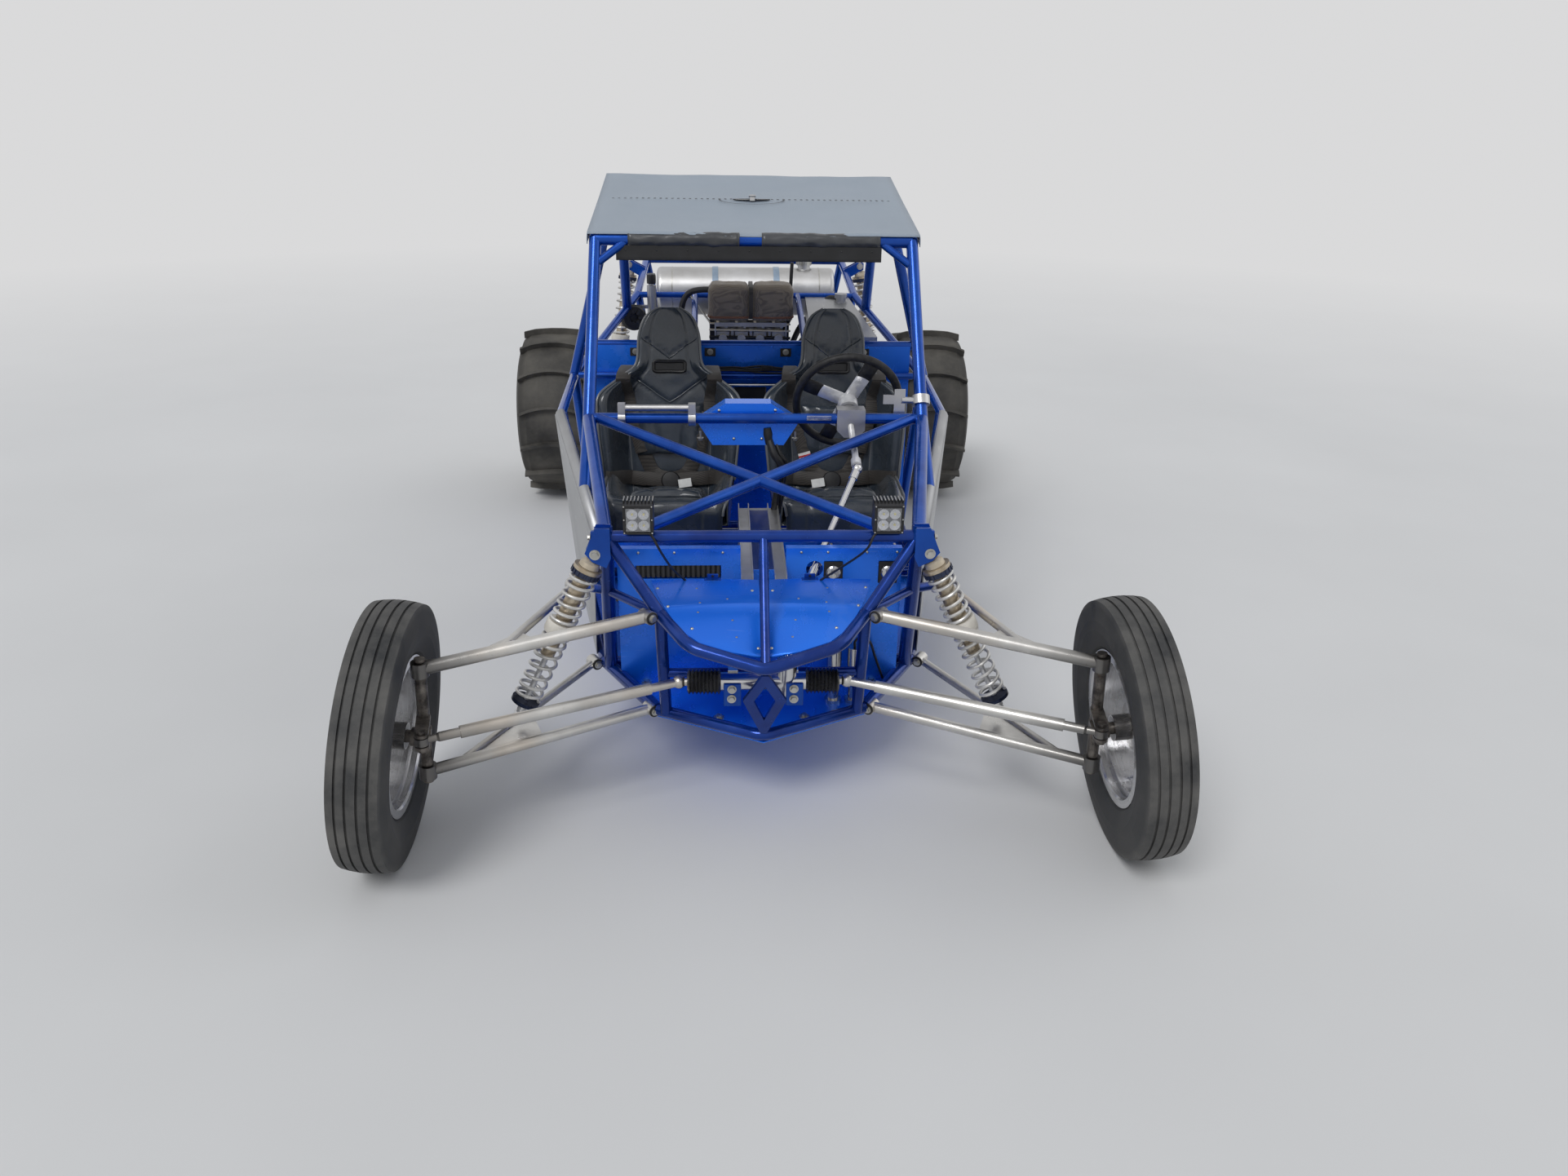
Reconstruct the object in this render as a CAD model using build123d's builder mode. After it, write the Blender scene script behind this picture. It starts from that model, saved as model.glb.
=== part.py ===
"""Two-seat sand buggy: tube frame, ribbed front tyres, paddle rear tyres, open rear engine.

Millimetres. +Z is up, +Y runs to the rear, +X is the vehicle's left (the driver's side).
The origin is on the ground, midway along the length and on the centre line.
"""
import os
from math import cos, radians, sin, sqrt

from build123d import *

os.makedirs("parts", exist_ok=True)

# Driving dimensions.
WHEELBASE = 3020
FRONT_TRACK = 1891
REAR_TRACK = 1755
FRONT_TYRE_R = 340
REAR_TYRE_R = 388
CAMBER = 6

# Clearances between pieces that are welded, bolted or seated, and between pieces that turn.
SEAT_GAP = 0.3
RUN_GAP = 1
SWING_GAP = 3

# Tube diameters.
MAIN_TUBE = 38
NOSE_TUBE = 34
BRACE_TUBE = 32
LIGHT_TUBE = 25

SIDES = (1, -1)
FRONT_AXLE_Y = -(WHEELBASE + REAR_TYRE_R - FRONT_TYRE_R) / 2
REAR_AXLE_Y = FRONT_AXLE_Y + WHEELBASE


def front(across, back, up):
    """A point measured back from the front axle."""
    return Vector(across, FRONT_AXLE_Y + back, up)


def rear(across, ahead, up):
    """A point measured ahead from the rear axle."""
    return Vector(across, REAR_AXLE_Y - ahead, up)


def flip(point, side):
    """The same point on the chosen side."""
    return Vector(point.X * side, point.Y, point.Z)


def between(start, end, share):
    """The point at a share of the way from start to end."""
    return start + (end - start) * share


def rod(start, end, radius, mode=Mode.ADD, extra=0):
    """A round bar between two points, lengthened by extra at both ends."""
    run = end - start
    step = run.normalized() * extra
    with Locations(Plane(origin=start - step, z_dir=run)):
        Cylinder(radius, run.length + 2 * extra, align=(Align.CENTER, Align.CENTER, Align.MIN), mode=mode)


def block(low, high, mode=Mode.ADD):
    """A box between two corners."""
    size = high - low
    with Locations(low + size / 2):
        Box(abs(size.X), abs(size.Y), abs(size.Z), mode=mode)


def plate(corners, thickness, mode=Mode.ADD):
    """A flat sheet with straight edges, its corners in one plane."""
    normal = (corners[1] - corners[0]).cross(corners[2] - corners[0])
    face_plane = Plane(origin=corners[0], x_dir=corners[1] - corners[0], z_dir=normal)
    flat = [face_plane.to_local_coords(corner) for corner in corners]
    with BuildSketch(face_plane) as sheet:
        with BuildLine():
            Polyline(*[(corner.X, corner.Y) for corner in flat], close=True)
        make_face()
    extrude(to_extrude=sheet.sketch, amount=thickness, mode=mode)


def turned(centre, outward, profile, mode=Mode.ADD):
    """A ring turned about a wheel's axis, its profile in (outboard, radius) pairs."""
    upright = Vector(0, -1 if outward.X > 0 else 1, 0)
    section_plane = Plane(origin=centre, x_dir=outward, z_dir=upright)
    with BuildSketch(section_plane) as section:
        with BuildLine():
            Polyline(*profile, close=True)
        make_face()
    revolve(profiles=section.sketch, axis=Axis(centre, outward), mode=mode)


def turned_along(start, way, profile):
    """A piece turned about a slanting axis, its profile in (distance along, radius) pairs."""
    section_plane = Plane(origin=start, x_dir=way, z_dir=way.cross(Vector(0, 0, 1)))
    with BuildSketch(section_plane) as section:
        with BuildLine():
            Polyline(*profile, close=True)
        make_face()
    revolve(profiles=section.sketch, axis=Axis(start, way))


# The frame's nodes: half width, distance back from the front axle, height.
NOSE_TOP = front(0, 0, 512)
HOOP_BEND = front(190, 50, 552)
HOOP_END = front(268, 172, 588)
NOSE_LOW = front(0, 100, 265)
LOW_FRONT = front(286, 250, 265)
LOW_REAR = front(455, 550, 265)
UPRIGHT_FOOT = front(262, 232, 265)
TOWER = front(405, 235, 780)
BAR_MIDDLE = front(0, 235, 780)
BRACE_FOOT = front(360, 235, 780)
BRACE_HEAD = front(480, 896, 915)
DASH = front(508, 896, 915)
POST_FOOT = between(LOW_REAR, LOW_FRONT, 0.12)
HIP_FRONT = between(TOWER, POST_FOOT, 0.16)
ARM_POST = between(TOWER, POST_FOOT, 0.38)
UPPER_REAR_PIVOT = front(515, 400, 575)
HIP_CORNER = front(640, 1260, 832)
HIP_REAR = front(648, 1735, 852)
PILLAR_FOOT = between(HIP_FRONT, HIP_CORNER, 0.42)
SILL_MIDDLE = front(590, 1250, 265)
SILL_REAR = front(590, 1735, 265)
SIDE_POST_HEAD = between(HIP_CORNER, HIP_REAR, 0.08)
SIDE_POST_FOOT = between(SILL_MIDDLE, SILL_REAR, 0.08)
ROOF_FRONT = front(497, 1214, 1402)
ROOF_MIDDLE = front(490, 1620, 1464)
ROOF_REAR = front(478, 1960, 1520)
HOOP_HEAD = between(ROOF_MIDDLE, ROOF_REAR, 0.45)
CORNER_PILLAR = between(ROOF_FRONT, DASH, 0.15)
CORNER_BAR = front(395, 1214, 1402)
WALL_TOP = between(HIP_REAR, HOOP_HEAD, 0.18)
WALL_STUB = Vector(205, WALL_TOP.Y, WALL_TOP.Z)
RAIL_MIDDLE = rear(455, 600, 1035)
RAIL_END = rear(440, 130, 1115)
RAIL_STAY = between(HIP_REAR, RAIL_MIDDLE, 0.82)
BAY_STUB = Vector(215, RAIL_MIDDLE.Y, RAIL_MIDDLE.Z)
CRADLE_FRONT = rear(300, 1000, 265)
CRADLE_REAR = rear(300, -60, 290)
BAY_POST_HEAD = between(RAIL_MIDDLE, RAIL_END, 0.08)
BAY_POST_FOOT = between(CRADLE_FRONT, CRADLE_REAR, 0.05)
ENGINE_BAR_FRONT = between(CRADLE_FRONT, CRADLE_REAR, 0.22)
ENGINE_BAR_REAR = between(CRADLE_FRONT, CRADLE_REAR, 0.47)
DRIVE_BAR = between(CRADLE_FRONT, CRADLE_REAR, 0.88)
SHELF = Vector(262, UPRIGHT_FOOT.Y - 24, 400)

# The steering column passes through a bearing block that splits the dash bar.
WHEEL_CENTRE = front(288, 1000, 943)
COLUMN_TILT = 20
COLUMN_R = 10
column = Vector(0, -cos(radians(COLUMN_TILT)), -sin(radians(COLUMN_TILT)))
BEARING_W = 86
BEARING_D = 52
BEARING_H = 86
BEARING_CORNER = 22
bearing_at = WHEEL_CENTRE + column * ((WHEEL_CENTRE.Y - DASH.Y) / cos(radians(COLUMN_TILT)))

# Straight tubes: node, first point, last point, diameter, how the row is repeated.
# "pair" is drawn on both sides, "cross" runs from side to side, "swap" crosses over both ways.
TUBES = (
    ("frame_floor", LOW_REAR, LOW_FRONT, MAIN_TUBE, "pair"),
    ("frame_floor", LOW_REAR, SILL_MIDDLE, MAIN_TUBE, "pair"),
    ("frame_floor", SILL_MIDDLE, SILL_REAR, MAIN_TUBE, "pair"),
    ("frame_floor", LOW_REAR, LOW_REAR, BRACE_TUBE, "cross"),
    ("frame_floor", SILL_MIDDLE, SILL_MIDDLE, BRACE_TUBE, "cross"),
    ("frame_floor", SILL_REAR, SILL_REAR, BRACE_TUBE, "cross"),
    ("frame_nose", HOOP_END, UPRIGHT_FOOT, BRACE_TUBE, "pair"),
    ("frame_nose", TOWER, POST_FOOT, MAIN_TUBE, "pair"),
    ("frame_nose", TOWER, TOWER, BRACE_TUBE, "cross"),
    ("frame_nose", TOWER, HOOP_END, BRACE_TUBE, "pair"),
    ("frame_nose", ARM_POST, HOOP_END, LIGHT_TUBE, "pair"),
    ("frame_nose", ARM_POST, UPPER_REAR_PIVOT, LIGHT_TUBE, "pair"),
    ("frame_nose", BAR_MIDDLE, NOSE_TOP, LIGHT_TUBE, "middle"),
    ("frame_nose", SHELF, SHELF, LIGHT_TUBE, "cross"),
    ("frame_sides", HIP_FRONT, HIP_CORNER, BRACE_TUBE, "pair"),
    ("frame_sides", HIP_CORNER, HIP_REAR, BRACE_TUBE, "pair"),
    ("frame_sides", SIDE_POST_HEAD, SIDE_POST_FOOT, BRACE_TUBE, "pair"),
    ("frame_cage", ROOF_FRONT, DASH, MAIN_TUBE, "pair"),
    ("frame_cage", DASH, PILLAR_FOOT, MAIN_TUBE, "pair"),
    ("frame_cage", DASH, TOWER, MAIN_TUBE, "pair"),
    ("frame_cage", DASH, DASH, BRACE_TUBE, "cross"),
    ("frame_cage", BRACE_HEAD, BRACE_FOOT, BRACE_TUBE, "swap"),
    ("frame_roof", ROOF_FRONT, ROOF_FRONT, MAIN_TUBE, "cross"),
    ("frame_roof", ROOF_FRONT, ROOF_MIDDLE, MAIN_TUBE, "pair"),
    ("frame_roof", ROOF_MIDDLE, ROOF_REAR, MAIN_TUBE, "pair"),
    ("frame_roof", ROOF_MIDDLE, ROOF_MIDDLE, LIGHT_TUBE, "cross"),
    ("frame_roof", ROOF_REAR, ROOF_REAR, BRACE_TUBE, "cross"),
    ("frame_roof", CORNER_PILLAR, CORNER_BAR, LIGHT_TUBE, "pair"),
    ("frame_hoop", HOOP_HEAD, HIP_REAR, MAIN_TUBE, "pair"),
    ("frame_hoop", HIP_REAR, SILL_REAR, MAIN_TUBE, "pair"),
    ("frame_hoop", WALL_TOP, WALL_TOP, BRACE_TUBE, "cross"),
    ("frame_rear", HIP_REAR, RAIL_MIDDLE, BRACE_TUBE, "pair"),
    ("frame_rear", RAIL_MIDDLE, RAIL_END, BRACE_TUBE, "pair"),
    ("frame_rear", ROOF_REAR, RAIL_STAY, MAIN_TUBE, "pair"),
    ("frame_rear", RAIL_MIDDLE, RAIL_MIDDLE, LIGHT_TUBE, "cross"),
    ("frame_rear", RAIL_END, RAIL_END, BRACE_TUBE, "cross"),
    ("frame_rear", WALL_STUB, BAY_STUB, LIGHT_TUBE, "pair"),
    ("frame_rear", SILL_REAR, CRADLE_FRONT, MAIN_TUBE, "pair"),
    ("frame_rear", CRADLE_FRONT, CRADLE_REAR, MAIN_TUBE, "pair"),
    ("frame_rear", RAIL_END, CRADLE_REAR, BRACE_TUBE, "pair"),
    ("frame_rear", CRADLE_FRONT, CRADLE_FRONT, BRACE_TUBE, "cross"),
    ("frame_rear", CRADLE_REAR, CRADLE_REAR, BRACE_TUBE, "cross"),
    ("frame_rear", BAY_POST_HEAD, BAY_POST_FOOT, BRACE_TUBE, "pair"),
    ("frame_rear", ENGINE_BAR_FRONT, ENGINE_BAR_FRONT, LIGHT_TUBE, "cross"),
    ("frame_rear", ENGINE_BAR_REAR, ENGINE_BAR_REAR, LIGHT_TUBE, "cross"),
    ("frame_rear", DRIVE_BAR, DRIVE_BAR, LIGHT_TUBE, "cross"),
)

# Bent tubes: node, points, radii of the bends, diameter.
NOSE_HOOP = (HOOP_END, HOOP_BEND, NOSE_TOP, flip(HOOP_BEND, -1), flip(HOOP_END, -1))
BENT_TUBES = (
    ("frame_nose", NOSE_HOOP, (90, 60, 90), NOSE_TUBE),
    ("frame_floor", (LOW_FRONT, NOSE_LOW, flip(LOW_FRONT, -1)), (60,), BRACE_TUBE),
)

NODE_NAMES = (
    "frame_floor", "frame_nose", "frame_sides", "frame_cage", "frame_roof", "frame_hoop", "frame_rear",
)
SMALLEST_SHARE = 0.05
welded = []
frame_pieces = {name: [] for name in NODE_NAMES}


def bent_bar(points, radii, radius):
    """A round bar along straight runs joined by arcs."""
    with BuildLine() as route:
        FilletPolyline(*points, radius=list(radii))
    with BuildSketch(Plane(origin=route.line @ 0, z_dir=route.line % 0)) as section:
        Circle(radius)
    sweep(sections=section.sketch, path=route.line)


def overlaps(first, second):
    """Whether two bounding boxes share any space."""
    pairs = zip(first.min, second.max, second.min, first.max)
    return all(low < high and other_low < other_high for low, high, other_low, other_high in pairs)


def weld_in(name, bar, clearance_bar):
    """Copes a tube round the tubes welded before it, and keeps what is left."""
    box = bar.bounding_box()
    with BuildPart() as coped:
        add(bar)
        for earlier, earlier_box in welded:
            if overlaps(box, earlier_box):
                add(earlier, mode=Mode.SUBTRACT)
    least = bar.volume * SMALLEST_SHARE
    frame_pieces[name] += [solid for solid in coped.part.solids() if solid.volume > least]
    welded.append((clearance_bar, clearance_bar.bounding_box()))


bearing_half = Vector(BEARING_W / 2, BEARING_D / 2, BEARING_H / 2)
bearing_gap = Vector(SEAT_GAP, SEAT_GAP, SEAT_GAP)
with BuildPart() as bearing_clear:
    block(bearing_at - bearing_half - bearing_gap, bearing_at + bearing_half + bearing_gap)
welded.append((bearing_clear.part, bearing_clear.part.bounding_box()))
with BuildPart() as column_bearing:
    block(bearing_at - bearing_half, bearing_at + bearing_half)
    chamfer(column_bearing.edges().filter_by(Axis.Y).group_by(Axis.Z)[0], BEARING_CORNER)
    bore_run = column * BEARING_H
    rod(bearing_at - bore_run, bearing_at + bore_run, COLUMN_R + RUN_GAP, mode=Mode.SUBTRACT)
column_bearing.part.label = "column_bearing"
export_step(column_bearing.part, "parts/column_bearing.step")

for node_name, points, radii, diameter in BENT_TUBES:
    with BuildPart() as bent:
        bent_bar(points, radii, diameter / 2)
    with BuildPart() as bent_clear:
        bent_bar(points, radii, diameter / 2 + SEAT_GAP)
    weld_in(node_name, bent.part, bent_clear.part)

for node_name, first, last, diameter, repeat in TUBES:
    ends = {
        "pair": [(flip(first, side), flip(last, side)) for side in SIDES],
        "cross": [(first, flip(last, -1))],
        "swap": [(flip(first, side), flip(last, -side)) for side in SIDES],
        "middle": [(first, last)],
    }[repeat]
    for start, end in ends:
        with BuildPart() as bar:
            rod(start, end, diameter / 2)
        with BuildPart() as bar_clear:
            rod(start, end, diameter / 2 + SEAT_GAP, extra=SEAT_GAP)
        weld_in(node_name, bar.part, bar_clear.part)

for node_name in NODE_NAMES:
    with BuildPart() as frame_part:
        for piece in frame_pieces[node_name]:
            add(piece)
    frame_part.part.label = node_name
    export_step(frame_part.part, f"parts/{node_name}.step")


def clear_of_frame(piece):
    """Cuts the frame's tubes, with their clearance, out of a piece laid against them."""
    box = piece.bounding_box()
    with BuildPart() as cut:
        add(piece)
        for earlier, earlier_box in welded:
            if overlaps(box, earlier_box):
                add(earlier, mode=Mode.SUBTRACT)
    return cut.part


# Sheet panels of the body.
SHEET = 3
FLOOR_Z = LOW_REAR.Z - MAIN_TUBE / 2 - SEAT_GAP - SHEET

with BuildPart() as floor_pan:
    with BuildSketch(Plane.XY.offset(FLOOR_Z)):
        with BuildLine():
            right_edge = [NOSE_LOW, LOW_FRONT, LOW_REAR, SILL_MIDDLE, SILL_REAR]
            left_edge = [flip(point, -1) for point in reversed(right_edge[1:])]
            Polyline(*[(point.X, point.Y) for point in right_edge + left_edge], close=True)
        make_face()
    extrude(amount=SHEET)
floor_pan.part.label = "floor_pan"
export_step(floor_pan.part, "parts/floor_pan.step")

HOOD_BACK = 355
HOOD_REAR_HALF = 300
HOOD_Z = HOOP_END.Z + MAIN_TUBE / 2 + SEAT_GAP
HOOD_SPLIT = 8

with BuildPart() as hood_blank:
    for side in SIDES:
        hood_corners = [
            Vector(side * HOOD_SPLIT, NOSE_TOP.Y + 28, HOOD_Z),
            Vector(side * (HOOP_BEND.X - 6), HOOP_BEND.Y + 14, HOOD_Z),
            Vector(side * HOOP_END.X, HOOP_END.Y, HOOD_Z),
            front(side * HOOD_REAR_HALF, HOOD_BACK, HOOD_Z),
            front(side * HOOD_SPLIT, HOOD_BACK, HOOD_Z),
        ]
        plate(hood_corners if side > 0 else list(reversed(hood_corners)), SHEET)
hood = clear_of_frame(hood_blank.part)
with BuildPart() as hood_panels:
    add(hood)
hood_panels.part.label = "hood_panels"
export_step(hood_panels.part, "parts/hood_panels.step")

# Front wheels. Profiles are (outboard, radius) pairs from the wheel's centre.
RIM_R = 190
FRONT_CROWN_R = 250
FRONT_HALF_BEAD = 44
FRONT_HALF_TYRE = 66
FRONT_HALF_TREAD = 58
GROOVE_W = 6
GROOVE_DEEP = 6
GROOVES = (-37, -13, 13, 37)
TYRE_WALL = 9
LIP = 3.7
LIP_R = RIM_R + 16
SKIN = 3.5
RING = 4
SPINDLE_R = 16
SPINDLE_TIP = 36
HUB_END = 46
WHEEL_Z = (FRONT_TYRE_R - FRONT_CROWN_R) * cos(radians(CAMBER)) + FRONT_CROWN_R


def front_centre(side):
    return front(side * FRONT_TRACK / 2, 0, WHEEL_Z)


def front_outward(side):
    return Vector(side * cos(radians(CAMBER)), 0, sin(radians(CAMBER)))


def crown(across):
    """The front tread's radius at a distance from the middle."""
    return FRONT_TYRE_R - FRONT_CROWN_R + sqrt(FRONT_CROWN_R**2 - across**2)


def ribbed_tread():
    """The tread's outline from one shoulder to the other, with its grooves."""
    outline = [(-FRONT_HALF_TREAD, crown(FRONT_HALF_TREAD))]
    for middle in GROOVES:
        left, right = middle - GROOVE_W / 2, middle + GROOVE_W / 2
        outline += [(left, crown(left)), (left, crown(left) - GROOVE_DEEP)]
        outline += [(right, crown(right) - GROOVE_DEEP), (right, crown(right))]
    return outline + [(FRONT_HALF_TREAD, crown(FRONT_HALF_TREAD))]


front_tyre_profile = (
    [(-FRONT_HALF_BEAD, RIM_R), (-FRONT_HALF_BEAD, LIP_R + 2), (-FRONT_HALF_BEAD - 8, LIP_R + 8)]
    + [(-FRONT_HALF_TYRE, RIM_R + 66)]
    + [(-FRONT_HALF_TYRE, RIM_R + 92)]
    + ribbed_tread()
    + [(FRONT_HALF_TYRE, RIM_R + 92), (FRONT_HALF_TYRE, RIM_R + 66), (FRONT_HALF_BEAD + 8, LIP_R + 8)]
    + [(FRONT_HALF_BEAD, LIP_R + 2), (FRONT_HALF_BEAD, RIM_R), (FRONT_HALF_BEAD - TYRE_WALL, RIM_R)]
    + [(FRONT_HALF_TYRE - TYRE_WALL, RIM_R + 66), (FRONT_HALF_TREAD - TYRE_WALL, FRONT_TYRE_R - 30)]
    + [(TYRE_WALL - FRONT_HALF_TREAD, FRONT_TYRE_R - 30), (TYRE_WALL - FRONT_HALF_TYRE, RIM_R + 66)]
    + [(TYRE_WALL - FRONT_HALF_BEAD, RIM_R)]
)


def rim_profile(half_bead, half_drop, drop_r, disc_at, disc_t, disc_hole_r):
    """A spun rim with a dropped middle and a flat disc that bolts to the hub."""
    seat_r = RIM_R - SEAT_GAP
    edge = half_bead + SEAT_GAP
    return [
        (-edge - LIP, LIP_R), (-edge, LIP_R), (-edge, seat_r), (-half_drop - 6, seat_r),
        (-half_drop, drop_r), (half_drop, drop_r), (half_drop + 6, seat_r), (edge, seat_r),
        (edge, LIP_R), (edge + LIP, LIP_R), (edge + LIP, seat_r - SKIN), (edge - 2, seat_r - SKIN - RING),
        (edge - 8, seat_r - SKIN - RING), (edge - 10, seat_r - SKIN), (half_drop + 8, seat_r - SKIN),
        (half_drop + 3, drop_r - SKIN), (disc_at + disc_t, drop_r - SKIN), (disc_at + disc_t, disc_hole_r),
        (disc_at, disc_hole_r), (disc_at, drop_r - SKIN), (-half_drop - 3, drop_r - SKIN),
        (-half_drop - 8, seat_r - SKIN), (10 - edge, seat_r - SKIN), (8 - edge, seat_r - SKIN - RING),
        (2 - edge, seat_r - SKIN - RING), (-edge - LIP, seat_r - SKIN),
    ]


FRONT_DROP_R = 172
FRONT_HALF_DROP = 18
DISC_AT = 8
DISC_T = 6
HUB_R = 34
FLANGE_R = 62
FRONT_DISC_HOLE = HUB_R + 2
front_rim_profile = rim_profile(
    FRONT_HALF_BEAD, FRONT_HALF_DROP, FRONT_DROP_R, DISC_AT, DISC_T, FRONT_DISC_HOLE
)
front_hub_profile = [
    (-HUB_END, SPINDLE_R + RUN_GAP), (-HUB_END, HUB_R), (DISC_AT - 10, HUB_R),
    (DISC_AT - 8, FLANGE_R), (DISC_AT - SEAT_GAP, FLANGE_R), (DISC_AT - SEAT_GAP, HUB_R),
    (HUB_END - 6, HUB_R - 4), (HUB_END, HUB_R - 12), (HUB_END, 0), (SPINDLE_TIP + 3, 0),
    (SPINDLE_TIP + 3, SPINDLE_R + RUN_GAP),
]

for side_name, side in (("left", 1), ("right", -1)):
    with BuildPart() as front_tyre:
        turned(front_centre(side), front_outward(side), front_tyre_profile)
    front_tyre.part.label = "tyre_front_" + side_name
    export_step(front_tyre.part, "parts/tyre_front_" + side_name + ".step")

    with BuildPart() as front_rim:
        turned(front_centre(side), front_outward(side), front_rim_profile)
        turned(front_centre(side), front_outward(side), front_hub_profile)
    front_rim.part.label = "rim_front_" + side_name
    export_step(front_rim.part, "parts/rim_front_" + side_name + ".step")

# Steering knuckles between the two ball joints.
BALL_LOW = front(858, 0, 232)
BALL_HIGH = front(849, 0, 523)
EYE_R = 22
EYE_H = 38
EYE_GAP = 2
PIN_R = 8
UPRIGHT_R = 15
NUT_R = 13
NUT_H = 8
ROD_END = front(840, -90, 373)
ROD_END_R = 17
ROD_END_H = 20
FORK_T = 8
FORK_HALF = ROD_END_H / 2 + SWING_GAP

for side_name, side in (("left", 1), ("right", -1)):
    low, high = flip(BALL_LOW, side), flip(BALL_HIGH, side)
    up = (high - low).normalized()
    centre, outward = front_centre(side), front_outward(side)
    root = centre + outward * ((low.X + up.X * (centre.Z - low.Z) - centre.X) / outward.X)
    eye = flip(ROD_END, side)
    post = low + up * (eye.Z - low.Z)
    with BuildPart() as knuckle:
        rod(low + up * (EYE_H / 2 + EYE_GAP), high - up * (EYE_H / 2 + EYE_GAP), UPRIGHT_R)
        rod(low - up * (EYE_H / 2 + EYE_GAP), high + up * (EYE_H / 2 + EYE_GAP), PIN_R)
        rod(low - up * (EYE_H / 2 + EYE_GAP), low - up * (EYE_H / 2 + EYE_GAP + NUT_H), NUT_R)
        rod(high + up * (EYE_H / 2 + EYE_GAP), high + up * (EYE_H / 2 + EYE_GAP + NUT_H), NUT_R)
        rod(root, centre + outward * SPINDLE_TIP, SPINDLE_R)
        rod(root - outward * 10, root + outward * 34, UPRIGHT_R + 9)
        for level in SIDES:
            start = post + up * level * (FORK_HALF + FORK_T / 2)
            end = eye + up * level * (FORK_HALF + FORK_T / 2)
            arm_run = Vector(end.X - start.X, end.Y - start.Y, end.Z - start.Z)
            arm_plane = Plane(origin=start - up * FORK_T / 2, x_dir=arm_run, z_dir=up)
            with BuildSketch(arm_plane):
                with Locations((arm_run.length / 2, 0)):
                    SlotCenterToCenter(arm_run.length, 2 * ROD_END_R)
            extrude(amount=FORK_T)
            rod(end, end + up * level * (FORK_T / 2 + NUT_H), PIN_R + 3)
    knuckle.part.label = "knuckle_" + side_name
    export_step(knuckle.part, "parts/knuckle_" + side_name + ".step")

# Front arms: an upper and a lower triangle of tubes on each side.
UPPER_ARM_R = 17
LOWER_ARM_R = 15
ARM_BRACE_R = 12
BUSH_R = 18
BUSH_HALF = 20
ARM_PLATE = 4
UPPER_FRONT_PIVOT = front(300, 150, 592)
LOWER_FRONT_PIVOT = front(305, 262, 262)
LOWER_REAR_PIVOT = front(487, 545, 265)

# Each arm: node, ball joint, leading and trailing pivots, tube radius, where the brace meets the
# leading tube, and the gusset's three corners as shares of the leading tube (two) and the brace.
FRONT_ARMS = (
    ("arms_front_upper", BALL_HIGH, UPPER_FRONT_PIVOT, UPPER_REAR_PIVOT, UPPER_ARM_R, 0.66, 0.49, 0.83, 0.74),
    ("arms_front_lower", BALL_LOW, LOWER_FRONT_PIVOT, LOWER_REAR_PIVOT, LOWER_ARM_R, 0.86, 0.50, 0.80, 0.52),
)


def clear_all(piece, others):
    """Cuts the frame and the listed pieces, grown by the seat clearance, out of a piece."""
    with BuildPart() as cut:
        add(clear_of_frame(piece))
        for other in others:
            add(other, mode=Mode.SUBTRACT)
    return cut.part


def bar_with_eye(pivot, other_pivot, ball, up, radius, eye_bore):
    """An arm's leading tube with its bush at the frame and its eye at the knuckle."""
    axis = (other_pivot - pivot).normalized()
    with BuildPart() as arm:
        rod(pivot, ball, radius)
        rod(pivot - axis * BUSH_HALF, pivot + axis * BUSH_HALF, BUSH_R)
        rod(ball - up * EYE_H / 2, ball + up * EYE_H / 2, EYE_R)
        rod(ball - up * EYE_H, ball + up * EYE_H, eye_bore, mode=Mode.SUBTRACT)
    return clear_of_frame(arm.part)


for node_name, ball, front_pivot, rear_pivot, arm_r, meet, near_in, near_out, on_brace in FRONT_ARMS:
    arm_pieces = []
    for side in SIDES:
        up = (flip(BALL_HIGH, side) - flip(BALL_LOW, side)).normalized()
        tip, lead, trail = flip(ball, side), flip(front_pivot, side), flip(rear_pivot, side)
        knot = between(lead, tip, meet)
        axis = (trail - lead).normalized()
        arm_pieces.append(bar_with_eye(lead, trail, tip, up, arm_r, PIN_R + RUN_GAP))
        with BuildPart() as lead_clear:
            rod(lead, tip, arm_r + SEAT_GAP)
            rod(lead - axis * BUSH_HALF, lead + axis * BUSH_HALF, BUSH_R + SEAT_GAP)
        with BuildPart() as brace:
            rod(trail, knot, ARM_BRACE_R)
            rod(trail - axis * BUSH_HALF, trail + axis * BUSH_HALF, BUSH_R)
        arm_pieces.append(clear_all(brace.part, [lead_clear.part]))
        with BuildPart() as brace_clear:
            rod(trail, knot, ARM_BRACE_R + SEAT_GAP)
        corners = [between(lead, tip, near_in), between(lead, tip, near_out), between(trail, knot, on_brace)]
        sheet_up = (corners[1] - corners[0]).cross(corners[2] - corners[0]).normalized() * ARM_PLATE / 2
        with BuildPart() as gusset:
            plate([corner - sheet_up for corner in corners], ARM_PLATE)
        arm_pieces.append(clear_all(gusset.part, [lead_clear.part, brace_clear.part]))
    with BuildPart() as arms:
        for piece in arm_pieces:
            add(piece)
    arms.part.label = node_name
    export_step(arms.part, f"parts/{node_name}.step")

# Coil-over dampers: one profile along the axis, turned, with an eye at each end.
SPRING_R = 38
SPRING_WIRE = 9
SHAFT_R = 8
BODY_R = 22
SHOCK_EYE_R = 14
SHOCK_EYE_HALF = 14
SHOCK_BORE_R = 6
TOP_SEAT = 54
LOW_SEAT = 52
SEAT_RING = 10
SPACER_HALF = 9
BODY_SHARE = 0.62
FRONT_SHOCK_TOP = front(432, 222, 742)
FRONT_SHOCK_FOOT = front(655, 190, 286)
REAR_SHOCK_TOP = rear(506, 300, 1118)
REAR_SHOCK_FOOT = rear(612, 372, 412)


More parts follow.
